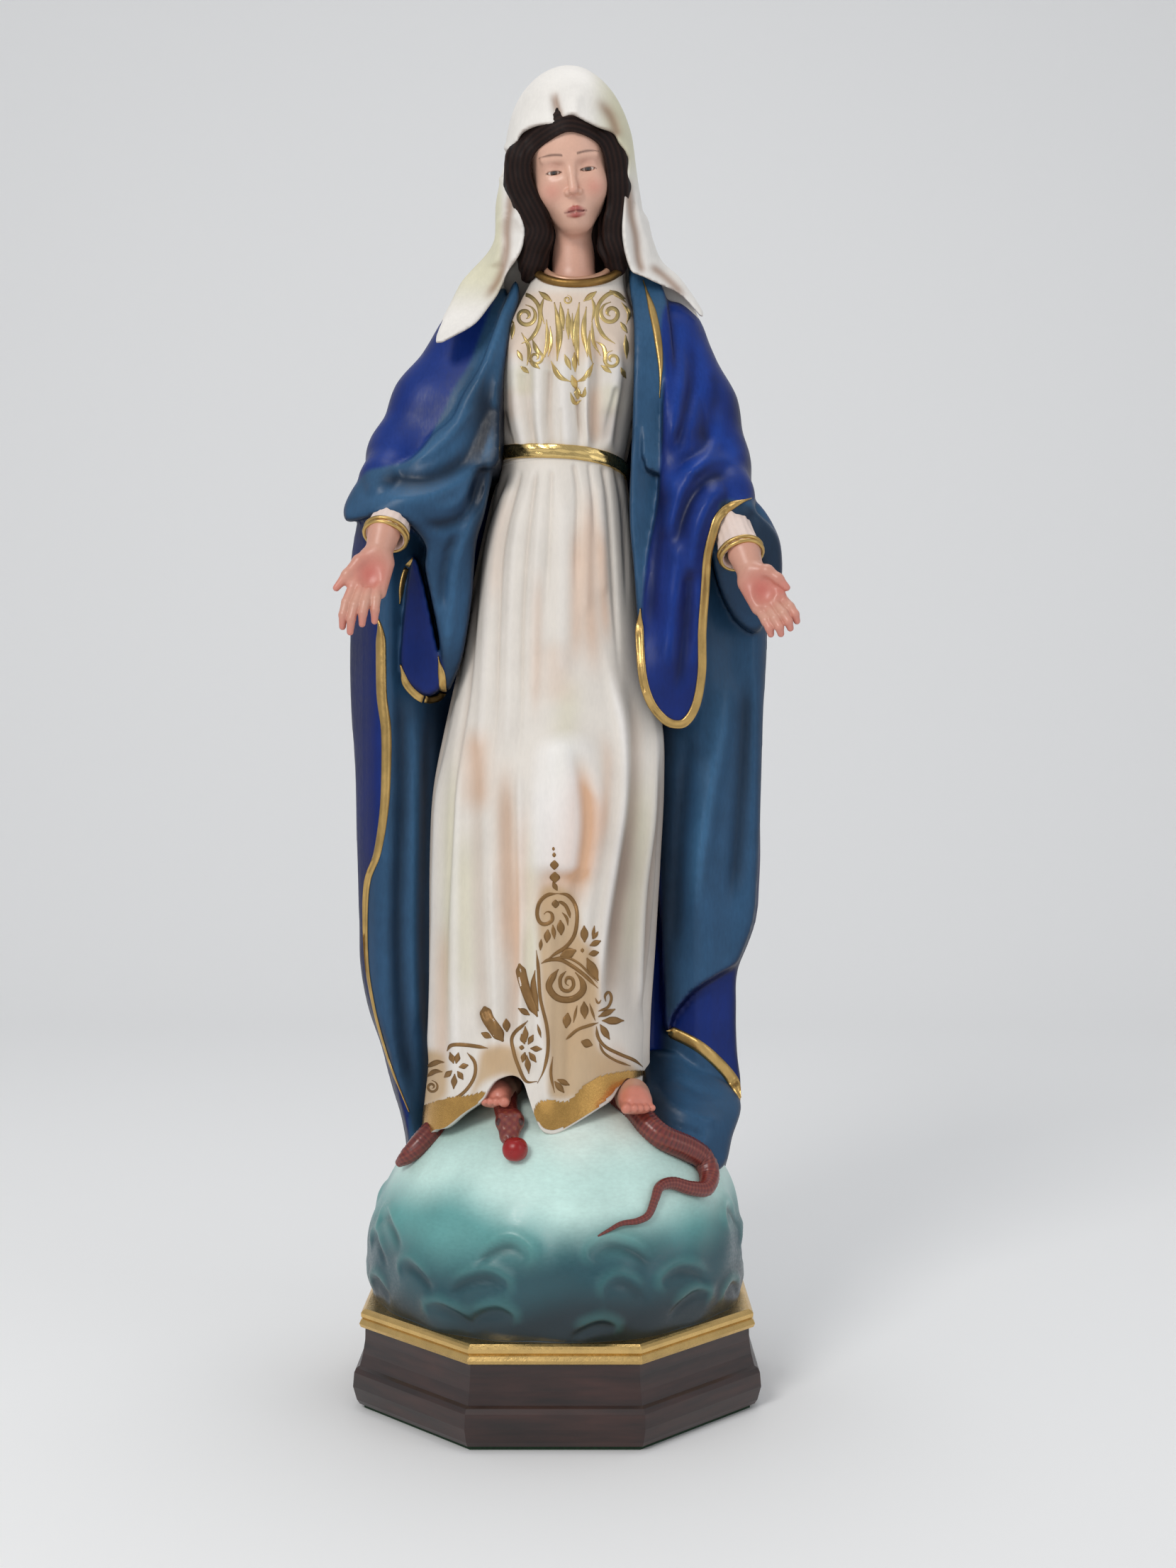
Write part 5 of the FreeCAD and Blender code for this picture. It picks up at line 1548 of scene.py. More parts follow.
def ring(points, radii, segments=14, closed=True):
    """Round bar along a 3-D line: grid of points and quads."""
    line = np.asarray(points, float)
    ahead = np.roll(line, -1, axis=0) - np.roll(line, 1, axis=0)
    if not closed:
        ahead = np.gradient(line, axis=0)
    ahead /= np.linalg.norm(ahead, axis=1, keepdims=True)
    up = np.tile([0.12, -0.3, 0.94], (len(line), 1))
    side = np.cross(ahead, up)
    side /= np.linalg.norm(side, axis=1, keepdims=True)
    up = np.cross(side, ahead)
    angle = np.linspace(0, 2 * math.pi, segments, endpoint=False)
    radii = np.broadcast_to(np.asarray(radii, float), (len(line),))[:, None, None]
    around = np.cos(angle)[None, :, None] * side[:, None] + np.sin(angle)[None, :, None] * up[:, None]
    grid = line[:, None] + around * radii
    rows, columns = len(line), segments
    i = np.arange(rows if closed else rows - 1)[:, None]
    j = np.arange(columns)[None]
    a, b = i * columns + j, i * columns + (j + 1) % columns
    c = ((i + 1) % rows) * columns + (j + 1) % columns
    d = ((i + 1) % rows) * columns + j
    quads = np.stack([a, b, c, d], -1).reshape(-1, 4)
    points = grid.reshape(-1, 3)
    if not closed:
        ends = np.vstack([line[:1], line[-1:]])
        total = len(points)
        points = np.vstack([points, ends])
        j = np.arange(0, columns, 2)
        first = np.stack([j, np.full_like(j, total), (j + 2) % columns, (j + 1) % columns], -1)
        last = (rows - 1) * columns
        tip = np.full_like(j, total + 1)
        other = np.stack([last + j, last + (j + 1) % columns, last + (j + 2) % columns, tip], -1)
        quads = np.vstack([quads, first, other])
    return points, quads


def collar(gold, pink):
    """Rolled double neckline: a dark gold ring outside and below a flesh-gold one."""
    turn = np.linspace(-math.pi, math.pi, 120, endpoint=False)
    level = neckline(turn)
    base, normal = gown_point(turn, level)
    for name, coat, inward, rise, thick in (
        ("collar_outer_roll", gold, -0.4, 0.3, 1.9),
        ("collar_inner_roll", pink, 3.4, 2.9, 1.55),
    ):
        line = base - normal * inward
        line[:, 2] += rise
        points, quads = ring(line, thick, 14)
        piece(name, points, outward(points, quads), coat, "gilding", ["collar"])


CUFF_LEFT = ((-70.5, -35, 398), (-75.4, -50, 379))
CUFF_RIGHT = ((76.4, -35, 390), (81.4, -50, 370.5))


CUFF_SHAPE = [  # distance along the cuff, radius: up the outside and back inside the mouth
    (-6, 7.6), (0, 8.4), (5, 8.0), (10, 8.1), (15, 8.7), (19, 9.0), (20.4, 8.7), (20.6, 8.0),
    (19, 7.4), (12, 7.0),
]


def cuff(side, ends, cloth, gold):
    """White cuff with soft gathers, open at the hand, and a double gold band near its end."""
    start, end = np.array(ends[0], float), np.array(ends[1], float)
    way = (end - start) / np.linalg.norm(end - start)
    across = np.cross(way, [0.0, 1.0, 0.0])
    across /= np.linalg.norm(across)
    front = np.cross(across, way)
    angle = np.linspace(0, 2 * math.pi, 96, endpoint=False)
    wide = np.cos(angle)[:, None] * across * 1.05
    deep = np.sin(angle)[:, None] * front * 0.95
    rows = []
    for along, radius in CUFF_SHAPE:
        gather = 0.22 * np.cos(9 * angle + 0.4 * along) * (along < 18) + 0.12 * np.cos(17 * angle)
        r = radius + gather
        middle = start + way * along
        rows.append(middle + r[:, None] * (wide + deep))
    grid = np.array(rows)
    quads = grid_faces(len(rows), 96, closed=True)
    points = grid.reshape(-1, 3)
    normal = point_normals(points, quads)
    middle = start + way * 6
    if ((points[96 * 2 : 96 * 3] - middle) * normal[96 * 2 : 96 * 3]).sum() < 0:
        quads = quads[:, ::-1]
    paint = np.tile(srgb(226, 206, 196), (len(points), 1))
    name = side + "_cuff"
    piece(name + "_gathers", points, quads, cloth, "cuffs", [name], paint)
    shells = []
    for along, radius, thick in ((17.6, 9.0, 1.0), (20.0, 8.9, 1.0)):
        centre = start + way * along
        line = centre + radius * (wide + deep)
        shells.append(ring(line, thick, 8))
    points = np.vstack([shells[0][0], shells[1][0]])
    quads = np.vstack([shells[0][1], shells[1][1] + len(shells[0][0])])
    piece(name + "_gold_rings", points, quads, gold, "gilding", [name + "_band"])


# ---------------------------------------------------------------- hands

HAND_LEFT = {  # wrist and palm lines, then each finger and the thumb from root to tip
    "wrist": ((-75, -48, 384), (-76.6, -52, 375)),
    "palm": ((-77.6, -53, 371), (-81.5, -57.5, 359)),
    "across": (4.2, 6.0),
    "fingers": [
        [(-87.2, -58.5, 359), (-89.4, -61.5, 352.5), (-90.6, -62.8, 347), (-91.0, -62.0, 342)],
        [(-83.6, -59.5, 358), (-85.6, -63, 351), (-87.0, -64.2, 345), (-87.6, -63.2, 339.6)],
        [(-80.0, -59.5, 358.5), (-81.2, -63, 352), (-82.0, -64.6, 347.5), (-82.4, -63.8, 343)],
        [(-76.6, -58, 360), (-76.9, -61.2, 354), (-77.1, -62.6, 349), (-77.3, -62, 344.4)],
    ],
    "thumb": [
        (-78, -53.5, 374.5), (-84.5, -56.5, 370.5), (-89.5, -58.5, 364.5), (-94.0, -59.5, 358.8),
    ],
}
HAND_RIGHT = {
    "wrist": ((81.4, -48, 375), (83.8, -52, 366.5)),
    "palm": ((85.2, -53.5, 363), (91, -58, 353)),
    "across": (3.8, 5.2),
    "fingers": [
        [(96.6, -58, 354.5), (99.6, -61.5, 350.5), (101.6, -62.8, 347.2), (102.6, -62.0, 344.4)],
        [(93.8, -59.5, 352), (96.6, -63.5, 347.5), (98.6, -64.8, 344), (99.6, -63.8, 341.2)],
        [(90.6, -59.5, 350), (93.0, -63.5, 345.3), (94.8, -64.8, 341.6), (95.6, -63.8, 338.8)],
        [(87.4, -58, 349), (89.4, -61.5, 344.6), (90.9, -62.8, 341.4), (91.5, -62, 338.8)],
    ],
    "thumb": [(84.5, -54.5, 367), (90.2, -58, 366), (94.8, -60, 362.6), (98.4, -61, 358.8)],
}


def hand(side, joints, skin):
    """Open hand held low with the palm forward and the fingers a little apart."""
    centre = np.mean(joints["palm"], axis=0)
    low, high = centre - [21, 16, 30], centre + [21, 14, 28]

    def distance(x, y, z):
        a, b = joints["wrist"]
        total = limb(x, y, z, a, b, 7.2, 5.6)
        a, b = (np.array(p, float) for p in joints["palm"])
        top, bottom = joints["across"]
        way = (b - a) / np.linalg.norm(b - a)
        side_way = np.cross(way, [0.0, 1.0, 0.0])
        side_way /= np.linalg.norm(side_way)
        palm = None
        for share in (-1.0, -0.35, 0.35, 1.0):
            p, q = a + side_way * top * share, b + side_way * bottom * share
            bar = limb(x, y, z, p, q, 3.7, 3.0)
            palm = bar if palm is None else smin(palm, bar, 2.4)
        total = smin(total, palm, 4.0)
        for finger in joints["fingers"]:
            shape = path_limb(x, y, z, finger, [2.15, 2.15, 1.95, 1.45], 0.6)
            total = smin(total, shape, 0.8)
        thumb = path_limb(x, y, z, joints["thumb"], [3.5, 2.9, 2.3, 1.5], 1.4)
        total = smin(total, thumb, 1.8)
        hollow = (a * 0.45 + b * 0.55) + np.array([0, -5.0, 0])
        return smax(total, -ball(x, y, z, hollow, (4.4, 2.6, 5.2)), 2.0)

    points, quads = carve(low, high, 0.42, distance)
    points, quads = largest_shells(points, quads, 300)
    quads = outward(points, quads)
    paint = np.tile(SKIN, (len(points), 1))
    tips = [f[-1] for f in joints["fingers"]] + [joints["thumb"][-1]]
    near = np.min([np.linalg.norm(points - t, axis=1) for t in tips], axis=0)
    paint = blend_paint(paint, SKIN_PINK, np.clip(1 - near / 8, 0, 1) * 0.8)
    # Painted shade: deeper red round the palm's hollow.
    palm = np.linalg.norm(points - np.mean(joints["palm"], axis=0), axis=1)
    paint = blend_paint(paint, srgb(196, 92, 84), np.clip(1.15 - palm / 11, 0, 1) * 0.8)
    name = side + "_hand"
    piece(name + "_skin", points, quads, skin, "skin", [name], paint)


# ---------------------------------------------------------------- feet

FEET = {"right_foot": (-26, -31, 139.5), "left_foot": (33.5, -33, 137)}


# reach, radius
TOES = [(-18.4, 2.5), (-18.0, 1.95), (-16.9, 1.8), (-15.4, 1.7), (-13.6, 1.6)]


def foot(name, centre, skin):
    """Bare foot: an arched wedge with five toes in a row."""
    cx, cy, cz = centre
    turn = -0.12 if cx < 0 else 0.12
    low, high = (cx - 14, cy - 26, cz - 14), (cx + 14, cy + 22, cz + 13)
    inner = 1 if cx < 0 else -1

    def distance(x, y, z):
        u = (x - cx) * math.cos(turn) + (y - cy) * math.sin(turn)
        v = -(x - cx) * math.sin(turn) + (y - cy) * math.cos(turn)
        w = z - cz + 0.16 * v
        total = limb(u, v, w, (0, 14, 1), (0, -6, -1.6), 8.0, 6.6)
        total = smin(total, limb(u, v, w, (0, 2, 0), (inner * 2.6, -12, -3.4), 6.0, 4.0), 4.0)
        total = smin(total, limb(u, v, w, (0, 2, 0), (-inner * 3.4, -10, -3.8), 6.0, 3.4), 4.0)
        for k, (reach, radius) in enumerate(TOES):
            across = inner * (5.6 - 2.85 * k - (0.7 if k else 0))
            toe = limb(u, v, w, (across * 0.85, -11, -4.0), (across, reach, -5.2), radius, radius * 0.92)
            total = smin(total, toe, 0.6)
        sole = -(w + 8.2)
        return smax(total, sole, 1.5)

    points, quads = carve(low, high, 0.5, distance)
    points, quads = largest_shells(points, quads, 300)
    quads = outward(points, quads)
    paint = np.tile(srgb(212, 160, 136), (len(points), 1))
    paint = blend_paint(paint, srgb(206, 118, 100), smooth_step((cy - 4 - points[:, 1]) / 8) * 0.8)
    piece(name + "_skin", points, quads, skin, "skin", [name], paint)


# ---------------------------------------------------------------- serpent and apple

SERPENT = [  # chart x0 and z0 of the body's middle, and its radius, from the left foot to the tail
    (24, 134, 4.4), (30, 129.5, 5.0), (36.2, 124.3, 5.2), (42, 117.3, 5.3), (49, 111.5, 5.4),
    (59.5, 106.8, 5.5), (66.5, 102.1, 5.6), (69.5, 95.1, 5.2), (67.7, 88.7, 4.2), (60.7, 88.7, 3.3),
    (52.5, 91, 3.0), (46.7, 89.3, 2.7), (44.4, 83.4, 2.3), (41.5, 76.4, 1.8), (36.2, 73.5, 1.5),
    (29.2, 72.4, 1.2), (23.4, 69.4, 0.9), (18.1, 66.5, 0.4),
]
SERPENT_COIL = [
    (-50, -19, 124.5), (-56.5, -26, 119.5), (-62, -30, 114.2), (-66.5, -31, 110),
    (-69.8, -29.5, 107), (-71.0, -29, 106),
]
SERPENT_NECK = [
    (-23, -26, 139), (-23, -34, 136), (-22.6, -40, 133.4), (-21.4, -46, 130.4), (-20.4, -51, 127.6),
]
HEAD_PLACE, HEAD_LEAN = ((-20.2, -52.0, 127.2), math.radians(56))
APPLE_PLACE, APPLE_RADIUS = ((-17.5, -62.6, 119.6), 5.5)


def on_globe(x0, z0, stand):
    """Point on the line of sight through a chart point, standing some way off the plain globe."""
    start = EYE - GLOBE_CENTRE
    way = np.array([x0, 0.0, z0]) - EYE
    size = np.array([GLOBE_RADIUS, GLOBE_RADIUS, GLOBE_RISE]) + stand
    a, b, c = (way / size) @ (way / size), (way / size) @ (start / size), (start / size) @ (start / size) - 1
    return EYE + way * (-b - math.sqrt(max(b * b - a * c, 0.0))) / a


def scaled_bar(points, radii):
    """Snake body: a tapering bar whose skin is dimpled in slanting rows of scales."""
    line3 = curve(points, 0.55)
    share = np.linspace(0, len(points) - 1, len(line3))
    thick = np.interp(share, np.arange(len(points)), radii)
    segments = 30
    solid, quads = ring(line3, 1.0, segments, closed=False)
    body = solid[:-2].reshape(len(line3), segments, 3)
    angle = np.linspace(0, 2 * math.pi, segments, endpoint=False)[None]
    along = np.concatenate([[0], np.cumsum(np.linalg.norm(np.diff(line3, axis=0), axis=1))])[:, None]
    scales = np.cos(5 * angle + along * 1.9) * np.cos(5 * angle - along * 1.9)
    r = thick[:, None] * (1 + 0.055 * scales)
    body = line3[:, None] + (body - line3[:, None]) * r[..., None]
    solid = np.vstack([body.reshape(-1, 3), solid[-2:]])
    # Share of painted shade: most in the dimples between the scales.
    dark = np.append((0.5 - 0.5 * scales).ravel(), [0.5, 0.5])
    return solid, quads, dark


def serpent_paint(points, dark):
    # On the body, painted shade in the dimples between the scales and painted highlight on their crowns; on
    # the head, its pattern and eyes.
    paint = np.tile(SCALE, (len(points), 1))
    paint = blend_paint(paint, srgb(146, 84, 54), smooth_step((0.45 - dark) * 1.6) * 0.7)
    return blend_paint(paint, SCALE_DARK, smooth_step((dark - 0.45) * 1.8) * 0.85)


def serpent(skin):
    body = [on_globe(x0, z0, radius * 0.75) for x0, z0, radius in SERPENT]
    for name, points, radii, node in (
        ("serpent_body_scales", body, [radius for _, _, radius in SERPENT], "serpent_tail"),
        ("serpent_coil_scales", SERPENT_COIL, [4.4, 4.7, 4.9, 4.7, 3.6, 1.6], "serpent_coil"),
    ):
        solid, quads, dark = scaled_bar(points, radii)
        piece(name, solid, outward(solid, quads), skin, "serpent", [node], serpent_paint(solid, dark))
    solid, quads, dark = scaled_bar(SERPENT_NECK, [4.8, 5.2, 5.2, 5.0, 5.0])
    head_points, head_quads = serpent_head()
    quads = np.vstack([outward(solid, quads), head_quads + len(solid)])
    dark = np.append(dark, head_dark(head_points))
    solid = np.vstack([solid, head_points])
    piece("serpent_head_scales", solid, quads, skin, "serpent", ["serpent_head"], serpent_paint(solid, dark))


def head_frame(x, y, z):
    """Snake head's own axes: u across, v down along the snout, w out of the brow."""
    lean = HEAD_LEAN
    v0, w0 = -(y - HEAD_PLACE[1]), z - HEAD_PLACE[2]
    v = v0 * math.sin(lean) - w0 * math.cos(lean)
    w = v0 * math.cos(lean) + w0 * math.sin(lean)
    return x - HEAD_PLACE[0], v, w


def serpent_head():
    low = np.array(HEAD_PLACE) - [11, 12, 15]
    high = np.array(HEAD_PLACE) + [11, 12, 13]

    def distance(x, y, z):
        u, v, w = head_frame(x, y, z)
        total = ball(u, v, w, (0, -3.0, 0), (6.4, 7.0, 4.8))
        total = smin(total, ball(u, v, w, (0, 4.5, -0.6), (4.4, 5.4, 3.5)), 2.5)
        brow = np.minimum(
            limb(u, v, w, (-3.6, -3.4, 3.2), (-2.6, 3.0, 2.4), 1.5, 0.9),
            limb(u, v, w, (3.6, -3.4, 3.2), (2.6, 3.0, 2.4), 1.5, 0.9),
        )
        total = smin(total, brow, 0.9)
        for side in (-1, 1):
            total = np.minimum(total, ball(u, v, w, (side * 4.4, -0.6, 2.1), (1.35, 1.5, 1.35)))
            total = smax(total, -ball(u, v, w, (side * 1.5, 8.6, 1.6), (0.6, 0.8, 0.9)), 0.3)
        mouth = limb(u, v, w, (-4.4, 5.0, -1.7), (4.4, 5.0, -1.7), 0.8, 0.8)
        return smax(total, -mouth, 0.6)

    points, quads = carve(low, high, 0.4, distance)
    points, quads = largest_shells(points, quads, 200)
    return points, outward(points, quads)


def head_dark(points):
    u, v, w = head_frame(*points.T)
    eye = np.minimum(
        np.linalg.norm(np.stack([u - 4.4, v + 0.6, w - 2.1], -1), axis=1),
        np.linalg.norm(np.stack([u + 4.4, v + 0.6, w - 2.1], -1), axis=1),
    )
    dark = 0.35 + 0.35 * np.cos(v * 1.6) * np.cos(u * 1.5)
    return np.where(eye < 1.8, 1.0, dark)


def apple(red):
    """Apple held in the jaws: a ball dimpled at both ends."""
    rows, columns = 40, 64
    lat = np.linspace(0.02, math.pi - 0.02, rows)[:, None]
    lon = np.linspace(0, 2 * math.pi, columns, endpoint=False)[None]
    stalk_dimple = 0.3 * np.exp(-((lat / 0.42) ** 2))
    base_dimple = 0.15 * np.exp(-(((math.pi - lat) / 0.4) ** 2))
    radius = APPLE_RADIUS * (1 - stalk_dimple - base_dimple)
    radius = radius * (1 + 0.012 * np.cos(5 * lon) * np.sin(lat))
    unit = np.stack([np.sin(lat) * np.cos(lon), np.sin(lat) * np.sin(lon), np.cos(lat) + 0 * lon], -1)
    points = (np.array(APPLE_PLACE) + unit * radius[..., None]).reshape(-1, 3)
    up = np.array([0, 0, 1])
    ends = [APPLE_PLACE + up * radius[0, 0], APPLE_PLACE - up * radius[-1, 0]]
    points = np.vstack([points, ends])
    faces = grid_faces(rows, columns, closed=True)[:, ::-1].tolist()
    last = (rows - 1) * columns
    top = rows * columns
    faces += [[k, (k + 1) % columns, top] for k in range(columns)]
    faces += [[last + (k + 1) % columns, last + k, top + 1] for k in range(columns)]
    thing = piece_mixed("apple_skin", points, faces, red)
    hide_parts("apple")
# ---------------------------------------------------------------- veil

VEIL_RINGS = [  # height, left, right, front, back
    (472, -61, 72, -26, 38), (485, -56, 67, -26, 36), (495, -51, 62.5, -26, 33.5),
    (503, -45, 55.5, -27, 31), (511, -38, 47.5, -29, 28), (520, -29.5, 42.6, -32, 25),
    (528, -28.8, 39.6, -35, 22), (538, -28.4, 37.8, -39, 20), (548, -26.2, 36.3, -43, 18),
    (558, -24.2, 34.6, -45.5, 16), (568, -22.8, 33.0, -46, 14), (578, -19.8, 29.2, -44, 10.5),
    (586.6, -15, 24, -39.5, 5.5), (592, -10.5, 19.5, -35, 0), (596.2, -4.5, 14.5, -29.5, -7),
    (598.6, 1, 9, -24.5, -14),
]
VEIL_OPENING = [
    (-30, 567), (-22.4, 566.8), (-18.8, 571), (-16.5, 575.1), (-9.1, 578.5), (0, 579.0),
    (3.1, 582.2), (6.5, 583.3), (10.9, 581.1), (18.4, 577.5), (25.1, 575.0), (27.6, 570.5),
    (31.4, 564.3), (31.4, 560), (30.6, 551.7), (29.9, 542.8), (29.2, 531.7), (29.9, 522.7),
    (31.8, 515.3), (33, 508), (24, 494), (4, 488), (-16, 494), (-25, 506), (-18, 519),
    (-15.8, 525.7), (-15.4, 530.9), (-16.9, 539.1), (-17.7, 546.5), (-20.3, 552.5), (-24, 555),
    (-32, 557), (-33, 562),
]
VEIL_SHOULDER_LEFT = [
    (-15.5, 530), (-15.8, 525.7), (-18, 519), (-24, 508), (-26, 505), (-27.8, 501), (-31.3, 496),
    (-38.3, 487.2), (-48, 481.4), (-55.4, 478), (-56.2, 482), (-47, 502.7), (-41.8, 510.1),
    (-34, 518), (-29.5, 526), (-28, 536), (-20, 538),
]
VEIL_LEFT_DEPTH = [
    (-16, 528, -27), (-19, 518, -25), (-25, 508, -24), (-28, 500, -26), (-36, 490, -31),
    (-48, 483, -34), (-55, 480, -33), (-51, 494, -24), (-42, 508, -16), (-33, 516, -15),
    (-29, 530, -18), (-22, 536, -28),
]
VEIL_SHOULDER_RIGHT = [
    (29.5, 534), (30.2, 522.7), (31.8, 515.3), (32.8, 511.5), (39.2, 508.8), (43.6, 506.6),
    (56, 500.6), (65.6, 490.4), (66.4, 493.2), (56.4, 508), (47.8, 516), (43.6, 526), (40.5, 537),
    (33, 540),
]
VEIL_RIGHT_DEPTH = [
    (30.5, 530, -28), (31, 518, -26), (33, 512, -25), (40, 508.5, -24), (50, 503.5, -19),
    (65, 491, -10), (62, 500, -6), (50, 512, -8), (44, 525, -12), (39, 535, -18),
]
VEIL_CREASES = [
    (
        [(31.8, 556), (33.2, 539.1), (35.5, 528), (36.9, 516.8), (39.6, 509)], 1.5, -1.6,
        (0.15, 0.1), 0.3,
    ),
    ([(35, 552), (37, 540), (40.4, 528), (44, 516)], 1.6, 0.9, (0.2, 0.2), 0.0),
    ([(41, 515), (50, 508), (60, 498)], 1.5, -0.9, (0.2, 0.3), 0.0),
    (
        [(-21.4, 551.7), (-22.1, 542.8), (-23.6, 531.7), (-24, 520.5), (-27.5, 508), (-35, 497)],
        1.5, -1.5, (0.15, 0.15), 0.0,
    ),
    ([(-26, 528), (-30, 516), (-38, 504), (-47, 492)], 1.8, 1.0, (0.2, 0.2), 0.3),
    ([(-24, 512), (-30, 501), (-40, 490.5), (-52, 483.5)], 1.5, 0.8, (0.2, 0.2), 0.0),
    ([(1.3, 580.5), (0, 585), (-1.4, 590.5), (-1.5, 596)], 1.5, -2.0, (0.05, 0.4), 0.5),
    ([(7.5, 584), (8.5, 590), (8, 596)], 2.6, 0.8, (0.1, 0.4), 0.0),
    ([(28, 571), (24, 583), (16, 592)], 2.0, -0.7, (0.2, 0.4), 0.0),
    ([(-20, 569), (-16, 578), (-9, 587)], 1.8, 0.7, (0.1, 0.4), 0.3),
    ([(33.4, 563), (31.5, 573), (26, 583)], 1.8, 0.6, (0.1, 0.4), 0.0),
]


def veil_hem(x):
    """Height of the veil's lower edge behind the shoulders."""
    return 479 + 5 * np.cos(x / 19.0) + 9 * smooth_step((np.abs(x - 6) - 25) / 35)


HOOD_THICK = 3.5
FLAP_THICK = 5.0


def veil_solid():
    opening = chart.region(VEIL_OPENING)
    left_face, left_depth = chart.region(VEIL_SHOULDER_LEFT), chart.surface(VEIL_LEFT_DEPTH)
    right_face, right_depth = chart.region(VEIL_SHOULDER_RIGHT), chart.surface(VEIL_RIGHT_DEPTH)
    relief = chart.blank()
    for points, width, height, fade, lean in VEIL_CREASES:
        chart.stroke(relief, points, width, height, fade, lean)
    rim = np.exp(-(((opening - 1.6) / 1.4) ** 2)) * 0.9
    left_depth, right_depth = left_depth - relief, right_depth - relief

    def distance(x, y, z, xs, zs):
        left, right, front, back = (v[None] for v in profile(VEIL_RINGS, zs))
        cx, cy = (left + right) / 2, (front + back) / 2
        wide, deep = (right - left) / 2, (back - front) / 2
        reach = ((np.abs(x - cx) / wide) ** 2.15 + (np.abs(y - cy) / deep) ** 2.15) ** (1 / 2.15)
        lift = chart.slice(relief + rim, y, xs, zs) * smooth_step((2 - y) / 12)
        turn = np.arctan2(x - cx, y - cy + 1e-6)
        waves = np.cos(7 * turn + 0.6) + 0.5 * np.cos(12 * turn + z / 25)
        lift = lift + 1.3 * waves * smooth_step((y - 2) / 12) * smooth_step((560 - z) / 60)
        hood = (reach - 1) * np.minimum(wide, deep) - lift
        top = (z - 597.5) + 0.02 * ((x - 5) ** 2 + (y + 18) ** 2)
        hood = smax(hood, top, 6.0)
        cut = chart.slice(opening, y, xs, zs)
        hood = smax(hood, veil_hem(x) - z, 1.5)
        keep_back = np.minimum(508 - z + 0 * x, 0 * x - y - 4.0)
        hood = smax(hood, keep_back, 2.0)
        total = hood
        for face, depth in ((left_face, left_depth), (right_face, right_depth)):
            face_here, depth_here = chart.slice(face, y, xs, zs), chart.slice(depth, y, xs, zs)
            flap = prism(face_here, y, depth_here, depth_here + FLAP_THICK, 2.0)
            total = smin(total, flap, 2.0)
        within_hood = (reach - 1) * np.minimum(wide, deep) + HOOD_THICK
        near = smax(cut, 0 * x + y + 15.0, 2.0)
        deeper = smax(smax(cut, 0 * x + y - 3.0, 2.0), within_hood, 2.0)
        hollow = smin(near, deeper, 1.0)
        total = smax(total, -hollow, 1.2)
        inside = ball(x, y, z, (6, -14, 552), (22, 24, 33))
        inside = smax(inside, within_hood, 2.0)
        return smax(total, -inside, 2.0)

    return carve_slices((-66, -52, 468), (78, 44, 603), 0.95, distance)


def veil(paint_coat):
    points, quads = veil_solid()
    points, quads = largest_shells(points, quads, 400)
    points = relax(points, quads, 1, 0.35)
    quads = outward(points, quads)
    normal = point_normals(points, quads)
    x0, z0 = sight(points)
    paint = np.tile(srgb(232, 228, 222), (len(points), 1))
    right_top = smooth_step((x0 - 12) / 16) * smooth_step((z0 - 545) / 25)
    paint = blend_paint(paint, OLIVE, right_top * 0.7)
    left_strip = smooth_step((-24 - x0) / 4) * smooth_step((560 - z0) / 15) * smooth_step((z0 - 490) / 20)
    paint = blend_paint(paint, OLIVE, left_strip * 0.65)
    # Painted shade along the creases in front.
    crease = chart.blank()
    for line, width, height, fade, _ in VEIL_CREASES:
        if height < 0:
            chart.stroke(crease, line, width * 1.3, 0.75, fade)
    front = smooth_step((-points[:, 1] + 2) / 10)
    paint = blend_paint(paint, srgb(150, 112, 84), chart.sample(crease, x0, z0) * front)
    # Painted shade on the faces turned downwards.
    under = np.clip(-normal[:, 2] - 0.2, 0, 1)
    paint = blend_paint(paint, srgb(176, 150, 130), under * 0.6)
    piece("veil_folds", points, quads, paint_coat, "veil", ["veil"], paint)


# ---------------------------------------------------------------- head, neck and hair

HEAD_ORIGIN = np.array([5.3, -21.0, 550.8])
NOD, LEAN = (math.radians(18), math.radians(-7))


def head_axes():
    """Columns are the head's own X, Y and Z in the statue's frame."""
    nod = Matrix.Rotation(NOD, 3, "X")
    lean = Matrix.Rotation(LEAN, 3, "Y")
    return np.array(lean @ nod)


HEAD_TURN = head_axes()


def to_head(x, y, z):
    dx, dy, dz = x - HEAD_ORIGIN[0], y - HEAD_ORIGIN[1], z - HEAD_ORIGIN[2]
    return [dx * HEAD_TURN[0, k] + dy * HEAD_TURN[1, k] + dz * HEAD_TURN[2, k] for k in range(3)]


def from_head(u, v, w):
    return HEAD_ORIGIN + HEAD_TURN @ np.array([u, v, w], float)


EYE_SPACING, EYE_DEPTH, EYE_LEVEL, EYE_RADIUS = (7.6, -15.3, 0.0, 3.5)


